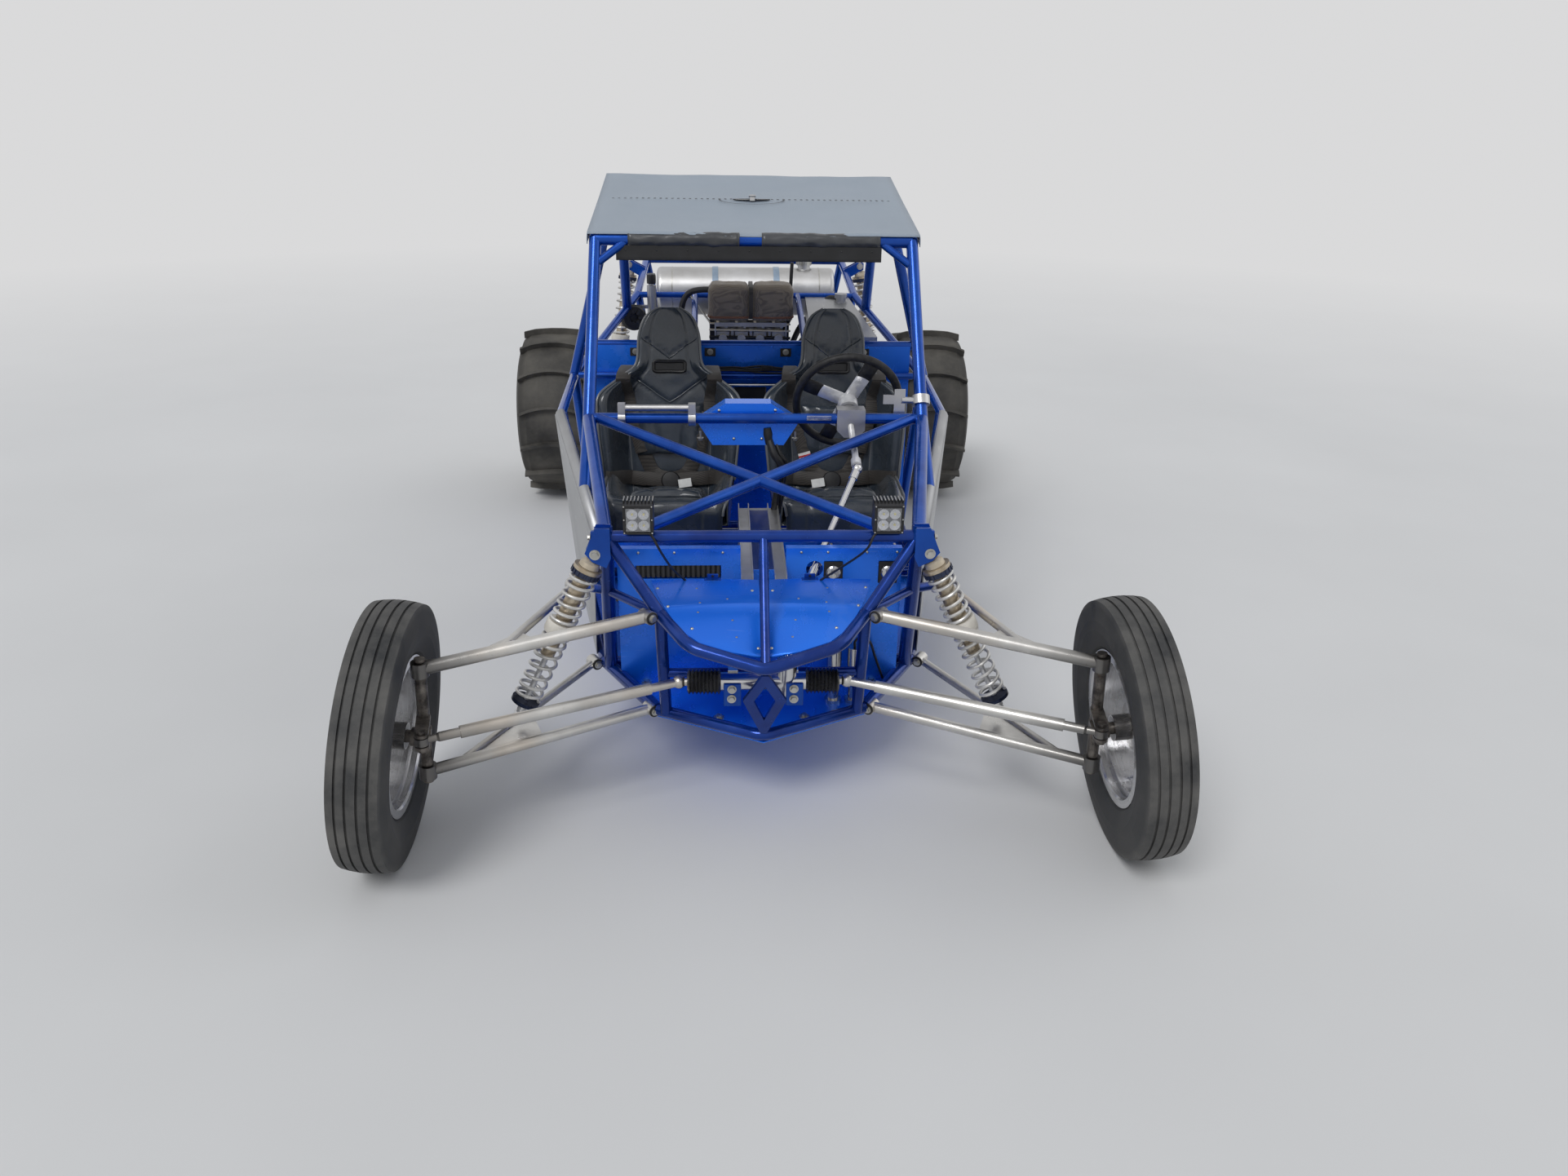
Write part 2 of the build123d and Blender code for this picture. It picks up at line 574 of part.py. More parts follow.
def damper(top, foot, split):
    """Body, shaft, spring seats and eyes of one damper; split is where its two springs meet."""
    run = foot - top
    length = run.length
    unit = run.normalized()
    spacer = split * length
    body_end = BODY_SHARE * length
    low_seat = length - LOW_SEAT
    profile = [
        (20, 0), (20, 11), (TOP_SEAT - SEAT_RING, 11), (TOP_SEAT - SEAT_RING, SPRING_R), (TOP_SEAT, SPRING_R),
        (TOP_SEAT, BODY_R), (spacer - SPACER_HALF, BODY_R), (spacer - SPACER_HALF, SPRING_R),
        (spacer + SPACER_HALF, SPRING_R), (spacer + SPACER_HALF, BODY_R - 3), (body_end, BODY_R - 3),
        (body_end, SHAFT_R), (low_seat, SHAFT_R), (low_seat, SPRING_R), (low_seat + SEAT_RING, SPRING_R),
        (low_seat + SEAT_RING, 13), (length - 18, 13), (length - 18, 0),
    ]
    turned_along(top, unit, profile)
    for eye_centre, reach in ((top, 24), (foot, -24)):
        rod(eye_centre - Vector(0, SHOCK_EYE_HALF, 0), eye_centre + Vector(0, SHOCK_EYE_HALF, 0), SHOCK_EYE_R)
        rod(eye_centre, eye_centre + unit * reach, 11)
        bore = Vector(0, 2 * SHOCK_EYE_HALF, 0)
        rod(eye_centre - bore, eye_centre + bore, SHOCK_BORE_R, mode=Mode.SUBTRACT)


def spring_sleeve(top, foot, first, last):
    """The plain outer shape of a coil spring round the damper."""
    unit = (foot - top).normalized()
    rod(top + unit * first, top + unit * last, SPRING_R)
    rod(top + unit * (first - 1), top + unit * (last + 1), SPRING_R - SPRING_WIRE, mode=Mode.SUBTRACT)


SPLIT = 0.45
for node_name, spring_name, top_point, foot_point in (
    ("dampers_front", "springs_front", FRONT_SHOCK_TOP, FRONT_SHOCK_FOOT),
    ("dampers_rear", "springs_rear", REAR_SHOCK_TOP, REAR_SHOCK_FOOT),
):
    length = (foot_point - top_point).length
    with BuildPart() as dampers:
        for side in SIDES:
            damper(flip(top_point, side), flip(foot_point, side), SPLIT)
    dampers.part.label = node_name
    export_step(dampers.part, f"parts/{node_name}.step")
    sleeves = []
    for side in SIDES:
        for first, last in (
            (TOP_SEAT + SEAT_GAP, SPLIT * length - SPACER_HALF - SEAT_GAP),
            (SPLIT * length + SPACER_HALF + SEAT_GAP, length - LOW_SEAT - SEAT_GAP),
        ):
            with BuildPart() as sleeve:
                spring_sleeve(flip(top_point, side), flip(foot_point, side), first, last)
            sleeves.append(sleeve.part)
    with BuildPart() as springs:
        for sleeve_part in sleeves:
            add(sleeve_part)
    springs.part.label = spring_name
    export_step(springs.part, f"parts/{spring_name}.step")

# Shock towers: a pair of plates each side of the damper's upper eye, with its bolt.
TOWER_PLATE = 5
TOWER_HOLE_R = 7
TOWER_BOLT_R = 5.5
TOWER_HALF = SHOCK_EYE_HALF + SEAT_GAP
tower_pieces = []
for side in SIDES:
    eye = flip(FRONT_SHOCK_TOP, side)
    for level in SIDES:
        y_near = eye.Y + level * TOWER_HALF
        y_far = y_near + level * TOWER_PLATE
        with BuildPart() as tower_blank:
            with BuildSketch(Plane(origin=(0, y_near, 0), x_dir=(1, 0, 0), z_dir=(0, level, 0))) as outline:
                with BuildLine():
                    Polyline(
                        (side * 392, level * -812), (side * 430, level * -812), (side * 458, level * -745),
                        (side * 440, level * -722), (side * 404, level * -705), (side * 392, level * -730),
                        close=True,
                    )
                make_face()
            extrude(amount=TOWER_PLATE)
            bolt_far = Vector(eye.X, y_far + level * 20, eye.Z)
            rod(bolt_far, Vector(eye.X, y_near - level * 5, eye.Z), TOWER_HOLE_R, Mode.SUBTRACT)
            way = (flip(FRONT_SHOCK_FOOT, side) - eye).normalized()
            rod(eye + way * 40, eye + way * 120, SPRING_R + RUN_GAP, Mode.SUBTRACT)
        tower_pieces.append(clear_of_frame(tower_blank.part))
    with BuildPart() as tower_bolt:
        rod(eye - Vector(0, TOWER_HALF + 12, 0), eye + Vector(0, TOWER_HALF + 12, 0), TOWER_BOLT_R)
    tower_pieces.append(tower_bolt.part)
# The rear dampers' upper eyes hang between two plates on the rail, with a bolt.
REAR_TOWER = ((436, 1074), (462, 1070), (522, 1104), (522, 1132), (492, 1134), (436, 1104))
for side in SIDES:
    eye = flip(REAR_SHOCK_TOP, side)
    for level in SIDES:
        y_near = eye.Y + level * TOWER_HALF
        with BuildPart() as rear_blank:
            with BuildSketch(Plane(origin=(0, y_near, 0), x_dir=(1, 0, 0), z_dir=(0, level, 0))):
                with BuildLine():
                    Polyline(*[(side * across, level * -up) for across, up in REAR_TOWER], close=True)
                make_face()
            extrude(amount=TOWER_PLATE)
            bolt_run = Vector(0, 2 * TOWER_HALF, 0)
            rod(eye - bolt_run, eye + bolt_run, TOWER_HOLE_R, mode=Mode.SUBTRACT)
        tower_pieces.append(clear_of_frame(rear_blank.part).solids().sort_by(SortBy.VOLUME)[-1])
    with BuildPart() as rear_bolt:
        rod(eye - Vector(0, TOWER_HALF + 12, 0), eye + Vector(0, TOWER_HALF + 12, 0), TOWER_BOLT_R)
    tower_pieces.append(rear_bolt.part)
with BuildPart() as shock_towers:
    for piece in tower_pieces:
        add(piece)
shock_towers.part.label = "shock_towers"
export_step(shock_towers.part, "parts/shock_towers.step")

# Rack and pinion with its bellows, and the sliding bar with both tie rods.
RACK = Vector(0, SHELF.Y - LIGHT_TUBE / 2 - 35 - 6, 400)
RACK_HOUSING_R = 25
RACK_HALF = 112
BAR_R = 11
BELLOWS_R = 35
BELLOWS_BORE = 24
BELLOWS_END = 200
FOLDS = 9
TIE_R = 12
INNER_JOINT = 222
INNER_JOINT_R = 18

RACK_BOSS_X = 62
RACK_BOSS_R = 27
RACK_EAR_X = 80
RACK_EAR_HALF = 13
with BuildPart() as rack_blank:
    rod(RACK - Vector(RACK_HALF, 0, 0), RACK + Vector(RACK_HALF, 0, 0), RACK_HOUSING_R)
    rod(RACK + Vector(RACK_BOSS_X, 0, -34), RACK + Vector(RACK_BOSS_X, 0, 62), RACK_BOSS_R)
    rod(RACK + Vector(RACK_BOSS_X, 0, 40), RACK + Vector(RACK_BOSS_X + 18, 60, 120), 9)
    for side in SIDES:
        ear_in = RACK + Vector(side * RACK_EAR_X - RACK_EAR_HALF, 4, -30)
        block(ear_in, ear_in + Vector(2 * RACK_EAR_HALF, 48, 60))
    bore_half = Vector(RACK_HALF + 10, 0, 0)
    rod(RACK - bore_half, RACK + bore_half, BAR_R + RUN_GAP, mode=Mode.SUBTRACT)
rack_cut = clear_of_frame(rack_blank.part)
with BuildPart() as rack_housing:
    add(rack_cut)
rack_housing.part.label = "rack_housing"
export_step(rack_housing.part, "parts/rack_housing.step")

fold = (BELLOWS_END - RACK_HALF) / FOLDS
bellows_profile = [(RACK_HALF + SEAT_GAP, BELLOWS_BORE)]
for turn in range(FOLDS):
    bellows_profile.append((RACK_HALF + SEAT_GAP + fold * turn, BELLOWS_R - 8))
    bellows_profile.append((RACK_HALF + SEAT_GAP + fold * (turn + 0.5), BELLOWS_R))
bellows_profile += [(BELLOWS_END + SEAT_GAP, BELLOWS_R - 8), (BELLOWS_END + SEAT_GAP, BELLOWS_BORE)]
with BuildPart() as rack_bellows:
    for side in SIDES:
        turned(RACK, Vector(side, 0, 0), bellows_profile)
rack_bellows.part.label = "rack_bellows"
export_step(rack_bellows.part, "parts/rack_bellows.step")

TIE_SLEEVE = 4
TIE_SLEEVE_ENDS = (0.12, 0.86)
TIE_NECK_R = 9
TIE_NECK = 36
with BuildPart() as rack_bar:
    rod(RACK - Vector(INNER_JOINT, 0, 0), RACK + Vector(INNER_JOINT, 0, 0), BAR_R)
    for side in SIDES:
        ball = RACK + Vector(side * INNER_JOINT, 0, 0)
        eye = flip(ROD_END, side)
        up = (flip(BALL_HIGH, side) - flip(BALL_LOW, side)).normalized()
        reach = (eye - ball).length
        tie_way = (eye - ball).normalized()
        ball_edge = sqrt(INNER_JOINT_R**2 - TIE_R**2)
        sleeve_start, sleeve_end = [reach * share for share in TIE_SLEEVE_ENDS]
        tie_plane = Plane(origin=ball, x_dir=tie_way, z_dir=tie_way.cross(Vector(0, 0, 1)))
        with BuildSketch(tie_plane) as tie_section:
            with BuildLine():
                ThreePointArc((-INNER_JOINT_R, 0), (0, INNER_JOINT_R), (ball_edge, TIE_R))
                Polyline(
                    (ball_edge, TIE_R), (sleeve_start, TIE_R), (sleeve_start, TIE_R + TIE_SLEEVE),
                    (sleeve_end, TIE_R + TIE_SLEEVE), (sleeve_end, TIE_R), (reach - TIE_NECK - 6, TIE_R),
                    (reach - TIE_NECK, TIE_NECK_R), (reach - 4, TIE_NECK_R), (reach - 4, 0),
                    (-INNER_JOINT_R, 0),
                )
            make_face()
        revolve(profiles=tie_section.sketch, axis=Axis(ball, tie_way))
        rod(eye - up * ROD_END_H / 2, eye + up * ROD_END_H / 2, ROD_END_R)
rack_bar.part.label = "rack_bar"
export_step(rack_bar.part, "parts/rack_bar.step")

# Steering column: wheel, upper shaft through a bearing block in the dash bar, lower shaft.
WHEEL_R = 160
GRIP_R = 13
COLUMN_LENGTH = 349
HUB_BOSS_R = 30
HUB_BOSS_LONG = 46
HUB_FACE = 8
SPOKE_T = 6
SPOKE_W = 44
SPOKE_TAPER = 2
SPOKE_TURNS = (68, 158, 248)
JOINT_R = 15
JOINT_LONG = 26
BALL_R = 16
COLUMN_END = COLUMN_LENGTH - BALL_R - SEAT_GAP
COLUMN_FOOT = WHEEL_CENTRE + column * COLUMN_LENGTH
SHAFT_FOOT = front(140, 430, 578)
wheel_plane = Plane(origin=WHEEL_CENTRE, x_dir=(1, 0, 0), z_dir=column * -1)
column_profile = (
    (-HUB_FACE, 0), (-HUB_FACE, HUB_BOSS_R - 4), (4 - HUB_FACE, HUB_BOSS_R), (HUB_BOSS_LONG, HUB_BOSS_R),
    (HUB_BOSS_LONG, COLUMN_R), (COLUMN_END - JOINT_LONG, COLUMN_R), (COLUMN_END - JOINT_LONG, JOINT_R),
    (COLUMN_END, JOINT_R), (COLUMN_END, 0),
)

with BuildPart() as steering_wheel:
    with BuildSketch(Plane(origin=WHEEL_CENTRE, x_dir=(1, 0, 0), z_dir=wheel_plane.y_dir)) as grip:
        with Locations((WHEEL_R, 0)):
            Circle(GRIP_R)
    revolve(profiles=grip.sketch, axis=Axis(WHEEL_CENTRE, column))
    turned_along(WHEEL_CENTRE, column, column_profile)
    with BuildSketch(wheel_plane.offset(-SPOKE_T / 2)):
        for turn in SPOKE_TURNS:
            with Locations(Location((0, 0), turn)):
                with Locations((WHEEL_R / 2, 0)):
                    Trapezoid(SPOKE_W, WHEEL_R, 90 - SPOKE_TAPER, rotation=-90)
    extrude(amount=SPOKE_T)
steering_wheel.part.label = "steering_wheel"
export_step(steering_wheel.part, "parts/steering_wheel.step")

# The lower shaft hangs from the joint's ball, which turns against the end of the upper one.
shaft_run = SHAFT_FOOT - COLUMN_FOOT
shaft_way = shaft_run.normalized()
FORK_R = 13
FORK_LONG = 34
ball_neck = sqrt(BALL_R**2 - FORK_R**2)
shaft_plane = Plane(origin=COLUMN_FOOT, x_dir=shaft_way, z_dir=shaft_way.cross(Vector(0, 0, 1)))
with BuildPart() as steering_shaft:
    with BuildSketch(shaft_plane) as shaft_section:
        with BuildLine():
            ThreePointArc((-BALL_R, 0), (0, BALL_R), (ball_neck, FORK_R))
            Polyline(
                (ball_neck, FORK_R), (FORK_LONG, FORK_R), (FORK_LONG, COLUMN_R),
                (shaft_run.length - FORK_LONG, COLUMN_R), (shaft_run.length - FORK_LONG, FORK_R),
                (shaft_run.length, FORK_R), (shaft_run.length, 0), (-BALL_R, 0),
            )
        make_face()
    revolve(profiles=shaft_section.sketch, axis=Axis(COLUMN_FOOT, shaft_way))
steering_shaft.part.label = "steering_shaft"
export_step(steering_shaft.part, "parts/steering_shaft.step")

# Rear wheels: smooth carcass with curved paddles, deep rim, brake disc and half shaft.
REAR_HALF_TYRE = 165
REAR_HALF_BEAD = 125
PADDLE_H = 26
PADDLE_T = 12
PADDLES = 14
PADDLE_SPAN = 300
PADDLE_BOW = 34
CARCASS_R = REAR_TYRE_R - PADDLE_H
REAR_HUB_R = 40
SHAFT_LINE_R = 17
CARRIER_HALF = 78
CARRIER_R = 62
BEARING_IN = 600
BEARING_OUT = 672
BEARING_R = 52

rear_tyre_profile = [
    (-REAR_HALF_BEAD, RIM_R), (-REAR_HALF_BEAD, LIP_R + 2), (-REAR_HALF_BEAD - 12, LIP_R + 10),
    (-REAR_HALF_TYRE, 262), (-REAR_HALF_TYRE, 300), (-REAR_HALF_TYRE + 14, 338), (-118, CARCASS_R - 5),
    (-60, CARCASS_R), (60, CARCASS_R), (118, CARCASS_R - 5), (REAR_HALF_TYRE - 14, 338),
    (REAR_HALF_TYRE, 300), (REAR_HALF_TYRE, 262), (REAR_HALF_BEAD + 12, LIP_R + 10),
    (REAR_HALF_BEAD, LIP_R + 2), (REAR_HALF_BEAD, RIM_R), (REAR_HALF_BEAD - TYRE_WALL, RIM_R),
    (REAR_HALF_BEAD - TYRE_WALL, LIP_R + 8),
    (REAR_HALF_TYRE - TYRE_WALL, 262), (REAR_HALF_TYRE - TYRE_WALL, 300), (118, CARCASS_R - 16),
    (-118, CARCASS_R - 16), (TYRE_WALL - REAR_HALF_TYRE, 300), (TYRE_WALL - REAR_HALF_TYRE, 262),
    (TYRE_WALL - REAR_HALF_BEAD, LIP_R + 8), (TYRE_WALL - REAR_HALF_BEAD, RIM_R),
]
REAR_DROP_R = 166
REAR_HALF_DROP = 70
REAR_DISC_AT = 30
REAR_DISC_T = 7
REAR_DISC_HOLE = 34
rear_rim_profile = rim_profile(
    REAR_HALF_BEAD, REAR_HALF_DROP, REAR_DROP_R, REAR_DISC_AT, REAR_DISC_T, REAR_DISC_HOLE
)


def rear_centre(side):
    return rear(side * REAR_TRACK / 2, 0, REAR_TYRE_R)


# The half shaft, its two joints, the brake disc and the hub in one turned profile.
SHAFT_IN = CARRIER_HALF + 4 - REAR_TRACK / 2
HOUSING_IN = BEARING_IN - REAR_TRACK / 2
HOUSING_OUT = BEARING_OUT - REAR_TRACK / 2
SHAFT_JOINT_R = 46
BRAKE_DISC_R = 132
HUB_FLANGE_R = 70
HUB_TIP = 52
rear_hub_profile = [
    (SHAFT_IN, 0), (SHAFT_IN, SHAFT_JOINT_R), (SHAFT_IN + 46, SHAFT_JOINT_R), (SHAFT_IN + 64, SHAFT_LINE_R),
    (HOUSING_IN - 70, SHAFT_LINE_R), (HOUSING_IN - 52, SHAFT_JOINT_R), (HOUSING_IN - 6, SHAFT_JOINT_R),
    (HOUSING_IN - 6, SHAFT_LINE_R), (HOUSING_OUT + 6, SHAFT_LINE_R), (HOUSING_OUT + 6, BRAKE_DISC_R),
    (HOUSING_OUT + 16, BRAKE_DISC_R), (HOUSING_OUT + 16, REAR_HUB_R), (REAR_DISC_AT - 10, REAR_HUB_R),
    (REAR_DISC_AT - 8, HUB_FLANGE_R), (REAR_DISC_AT - SEAT_GAP, HUB_FLANGE_R),
    (REAR_DISC_AT - SEAT_GAP, REAR_DISC_HOLE - 2), (HUB_TIP, REAR_DISC_HOLE - 6), (HUB_TIP, 0),
]

for side_name, side in (("left", 1), ("right", -1)):
    centre = rear_centre(side)
    outward = Vector(side, 0, 0)
    with BuildPart() as carcass:
        turned(centre, outward, rear_tyre_profile)
    with BuildPart() as tread_zone:
        turned(centre, outward, [
            (-PADDLE_SPAN / 2, CARCASS_R - 16), (-PADDLE_SPAN / 2, REAR_TYRE_R - 12),
            (-100, REAR_TYRE_R - 3), (-30, REAR_TYRE_R), (30, REAR_TYRE_R), (100, REAR_TYRE_R - 3),
            (PADDLE_SPAN / 2, REAR_TYRE_R - 12), (PADDLE_SPAN / 2, CARCASS_R - 16),
        ])
    bow_r = (PADDLE_SPAN**2 / 4 + PADDLE_BOW**2) / (2 * PADDLE_BOW)
    paddle_floor = centre - Vector(0, 0, REAR_TYRE_R + 10)
    with BuildPart() as paddle:
        with BuildSketch(Plane(origin=paddle_floor, x_dir=(1, 0, 0), z_dir=(0, 0, 1))):
            with Locations((0, bow_r - PADDLE_BOW / 2)):
                Circle(bow_r + PADDLE_T / 2)
                Circle(bow_r - PADDLE_T / 2, mode=Mode.SUBTRACT)
            with Locations((0, 0)):
                Rectangle(PADDLE_SPAN, 3 * PADDLE_BOW, mode=Mode.INTERSECT)
        extrude(amount=PADDLE_H + 26)
        add(tread_zone.part, mode=Mode.INTERSECT)
        add(carcass.part, mode=Mode.SUBTRACT)
    blade = paddle.part.solids().sort_by(Axis.Z)[0]
    with BuildPart() as rear_tyre:
        add(carcass.part)
        for step in range(PADDLES):
            add(blade.rotate(Axis(centre, outward), step * 360 / PADDLES))
    rear_tyre.part.label = "tyre_rear_" + side_name
    export_step(rear_tyre.part, "parts/tyre_rear_" + side_name + ".step")

    with BuildPart() as rear_rim:
        turned(centre, outward, rear_rim_profile)
        turned(centre, outward, rear_hub_profile)
    rear_rim.part.label = "rim_rear_" + side_name
    export_step(rear_rim.part, "parts/rim_rear_" + side_name + ".step")

# Trailing arms with the bearing housings, and the sprocket carrier between the half shafts.
TRAIL_R = 19
EAR_DROP = 40
TRAIL_OUTER = rear(515, 1170, 300)
TRAIL_INNER = rear(352, 985, 300)
arm_pieces = []
for side in SIDES:
    hub_at = flip(rear(BEARING_IN, 0, REAR_TYRE_R), side)
    with BuildPart() as housing:
        rod(hub_at, flip(rear(BEARING_OUT, 0, REAR_TYRE_R), side), BEARING_R)
        for pivot, landing in ((TRAIL_OUTER, rear(648, 30, 372)), (TRAIL_INNER, rear(624, 34, 404))):
            rod(flip(pivot, side), flip(landing, side), TRAIL_R)
            rod(flip(pivot, side) - Vector(24, 0, 0), flip(pivot, side) + Vector(24, 0, 0), TRAIL_R + 3)
        past = Vector(side * (BEARING_OUT - BEARING_IN + 100), 0, 0)
        rod(hub_at - past, hub_at + past, SHAFT_LINE_R + RUN_GAP, Mode.SUBTRACT)
        foot = flip(REAR_SHOCK_FOOT, side)
        rod(foot - Vector(0, TOWER_HALF + 12, 0), foot + Vector(0, TOWER_HALF + 12, 0), TOWER_BOLT_R)
        for level in SIDES:
            ear = foot + Vector(0, level * (TOWER_HALF + TOWER_PLATE / 2), 0)
            ear_half = Vector(SHOCK_EYE_R, TOWER_PLATE / 2, SHOCK_EYE_R)
            block(ear - ear_half - Vector(0, 0, EAR_DROP), ear + ear_half)
    arm_pieces.append(clear_of_frame(housing.part))
with BuildPart() as arms_rear:
    for piece in arm_pieces:
        add(piece)
arms_rear.part.label = "arms_rear"
export_step(arms_rear.part, "parts/arms_rear.step")

with BuildPart() as drive_blank:
    rod(rear(-CARRIER_HALF, 0, REAR_TYRE_R), rear(CARRIER_HALF, 0, REAR_TYRE_R), CARRIER_R)
    rod(rear(-34, 0, REAR_TYRE_R), rear(-24, 0, REAR_TYRE_R), 104)
    block(rear(-CARRIER_HALF, 60, 280), rear(-CARRIER_HALF + 12, -60, REAR_TYRE_R))
    block(rear(CARRIER_HALF - 12, 60, 280), rear(CARRIER_HALF, -60, REAR_TYRE_R))
drive_piece = clear_of_frame(drive_blank.part)
with BuildPart() as chain_drive:
    add(drive_piece)
chain_drive.part.label = "chain_drive"
export_step(chain_drive.part, "parts/chain_drive.step")

# Engine across the frame: crankcase, finned cylinders, head, round side covers and feet.
ENGINE_HALF = 205
CASE_PROFILE = (
    (440, 380), (470, 318), (560, 305), (700, 305), (790, 330), (820, 400), (812, 520), (770, 565),
    (560, 565), (470, 500),
)
BLOCK_HALF = 182
BLOCK_BACK, BLOCK_FRONT = 575, 785
BLOCK_LOW = 560
HEAD_HALF = 196
HEAD_BACK, HEAD_FRONT = 562, 798
HEAD_LOW, HEAD_HIGH = 716, 810
FINS = 6
FIN_T = 6
FIN_OUT = 12
FIN_LOW, FIN_PITCH = 590, 21
COVER_BOSS_R = 40
CLUTCH_R = 92
CLUTCH_OUT = 22
GENERATOR_R = 66
ENGINE_FOOT_X = 150
ENGINE_FOOT_HALF = 20


def side_profile(points, half):
    """A block with a profile of (ahead of the rear axle, up) points, equally wide to both sides."""
    with BuildSketch(Plane.YZ.offset(-half)) as profile:
        with BuildLine():
            Polyline(*[(REAR_AXLE_Y - ahead, up) for ahead, up in points], close=True)
        make_face()
    extrude(to_extrude=profile.sketch, amount=2 * half)


with BuildPart() as engine_blank:
    side_profile(CASE_PROFILE, ENGINE_HALF)
    block(rear(-BLOCK_HALF, BLOCK_FRONT, BLOCK_LOW), rear(BLOCK_HALF, BLOCK_BACK, HEAD_LOW))
    for fin in range(FINS):
        level = FIN_LOW + fin * FIN_PITCH
        block(
            rear(-BLOCK_HALF - FIN_OUT, BLOCK_FRONT + FIN_OUT, level),
            rear(BLOCK_HALF + FIN_OUT, BLOCK_BACK - FIN_OUT, level + FIN_T),
        )
    side_profile(
        (
            (HEAD_BACK, HEAD_LOW), (HEAD_FRONT, HEAD_LOW), (HEAD_FRONT, HEAD_HIGH - 30),
            (HEAD_FRONT - 26, HEAD_HIGH), (HEAD_BACK + 26, HEAD_HIGH), (HEAD_BACK, HEAD_HIGH - 30),
        ),
        HEAD_HALF,
    )
    case_middle = rear(ENGINE_HALF, 700, 440)
    rod(case_middle, case_middle + Vector(CLUTCH_OUT, 0, 0), CLUTCH_R)
    generator_at = rear(-ENGINE_HALF, 690, 430)
    rod(generator_at, generator_at - Vector(CLUTCH_OUT, 0, 0), GENERATOR_R)
    for side in SIDES:
        starter = rear(side * ENGINE_HALF, 540, 450)
        rod(starter, starter + Vector(side * CLUTCH_OUT / 2, 0, 0), COVER_BOSS_R)
        for bar in (ENGINE_BAR_FRONT, ENGINE_BAR_REAR):
            foot = Vector(side * ENGINE_FOOT_X, bar.Y, bar.Z)
            reach = Vector(ENGINE_FOOT_HALF, ENGINE_FOOT_HALF + 2, 0)
            block(foot - reach, foot + reach + Vector(0, 0, 60))
engine_piece = clear_of_frame(engine_blank.part)
with BuildPart() as engine:
    add(engine_piece)
engine.part.label = "engine"
export_step(engine.part, "parts/engine.step")

# Carburettors in a row over the head, tied by two rails, each with a float bowl and a mouth.
CARB_X = (-114, -38, 38, 114)
CARB_SHIFT = 15
CARB_R = 23
CARB_AHEAD = 715
CARB_TOP = 960
BOWL_Z = 862
RAIL_Z = (868, 936)
CARB_LOW = HEAD_HIGH + SEAT_GAP
CARB_FOOT_H = 26
CARB_MOUTH_H = 14
CARB_FLANGE = 6
BOWL_HALF = 26
BOWL_AHEAD = 44
BOWL_H = 52
BOWL_CAP_R = 17
RAIL_PAST = 34
RAIL_H = 16
RAIL_T = 6
REAR_RAIL_HALF = 8
REAR_RAIL_H = 8
rail_left = CARB_X[0] + CARB_SHIFT - RAIL_PAST
rail_right = CARB_X[-1] + CARB_SHIFT + RAIL_PAST
with BuildPart() as carburettors:
    for across in CARB_X:
        x = across + CARB_SHIFT
        rod(rear(x, CARB_AHEAD, CARB_LOW), rear(x, CARB_AHEAD, CARB_TOP), CARB_R)
        for low, high in ((CARB_LOW, CARB_LOW + CARB_FOOT_H), (CARB_TOP - CARB_MOUTH_H, CARB_TOP)):
            rod(rear(x, CARB_AHEAD, low), rear(x, CARB_AHEAD, high), CARB_R + CARB_FLANGE)
        block(
            rear(x - BOWL_HALF, CARB_AHEAD + BOWL_AHEAD, BOWL_Z),
            rear(x + BOWL_HALF, CARB_AHEAD, BOWL_Z + BOWL_H),
        )
        cap = rear(x, CARB_AHEAD + BOWL_AHEAD, BOWL_Z + BOWL_H / 2)
        rod(cap + Vector(0, 4, 0), cap - Vector(0, 18, 0), BOWL_CAP_R)
    for level in RAIL_Z:
        block(
            rear(rail_left, CARB_AHEAD + BOWL_AHEAD + RAIL_T, level),
            rear(rail_right, CARB_AHEAD + BOWL_AHEAD, level + RAIL_H),
        )
        block(
            rear(rail_left, CARB_AHEAD + REAR_RAIL_HALF, level + RAIL_H / 4),
            rear(rail_right, CARB_AHEAD - REAR_RAIL_HALF, level + RAIL_H / 4 + REAR_RAIL_H),
        )
    for end in (rail_left, rail_right - RAIL_T):
        block(
            rear(end, CARB_AHEAD + BOWL_AHEAD + RAIL_T, RAIL_Z[0]),
            rear(end + RAIL_T, CARB_AHEAD - REAR_RAIL_HALF, RAIL_Z[1] + RAIL_H),
        )
carburettors.part.label = "carburettors"
export_step(carburettors.part, "parts/carburettors.step")

FILTER_HALF = 87
FILTER_SPLIT = 3
FILTER_BACK, FILTER_FRONT = 640, 790
FILTER_TOP = 1108
FILTER_ROUND = 30
FILTER_BEVEL = 14
with BuildPart() as air_filters:
    for side in SIDES:
        across = CARB_SHIFT + side * (FILTER_HALF + FILTER_SPLIT)
        middle = rear(across, (FILTER_BACK + FILTER_FRONT) / 2, CARB_TOP + SEAT_GAP)
        with BuildSketch(Plane.XY.offset(middle.Z)) as filter_outline:
            with Locations((middle.X, middle.Y)):
                RectangleRounded(2 * FILTER_HALF, FILTER_FRONT - FILTER_BACK, FILTER_ROUND)
        extrude(to_extrude=filter_outline.sketch, amount=FILTER_TOP - middle.Z)
    chamfer(air_filters.edges().group_by(Axis.Z)[-1], FILTER_BEVEL)
air_filters.part.label = "air_filters"
export_step(air_filters.part, "parts/air_filters.step")

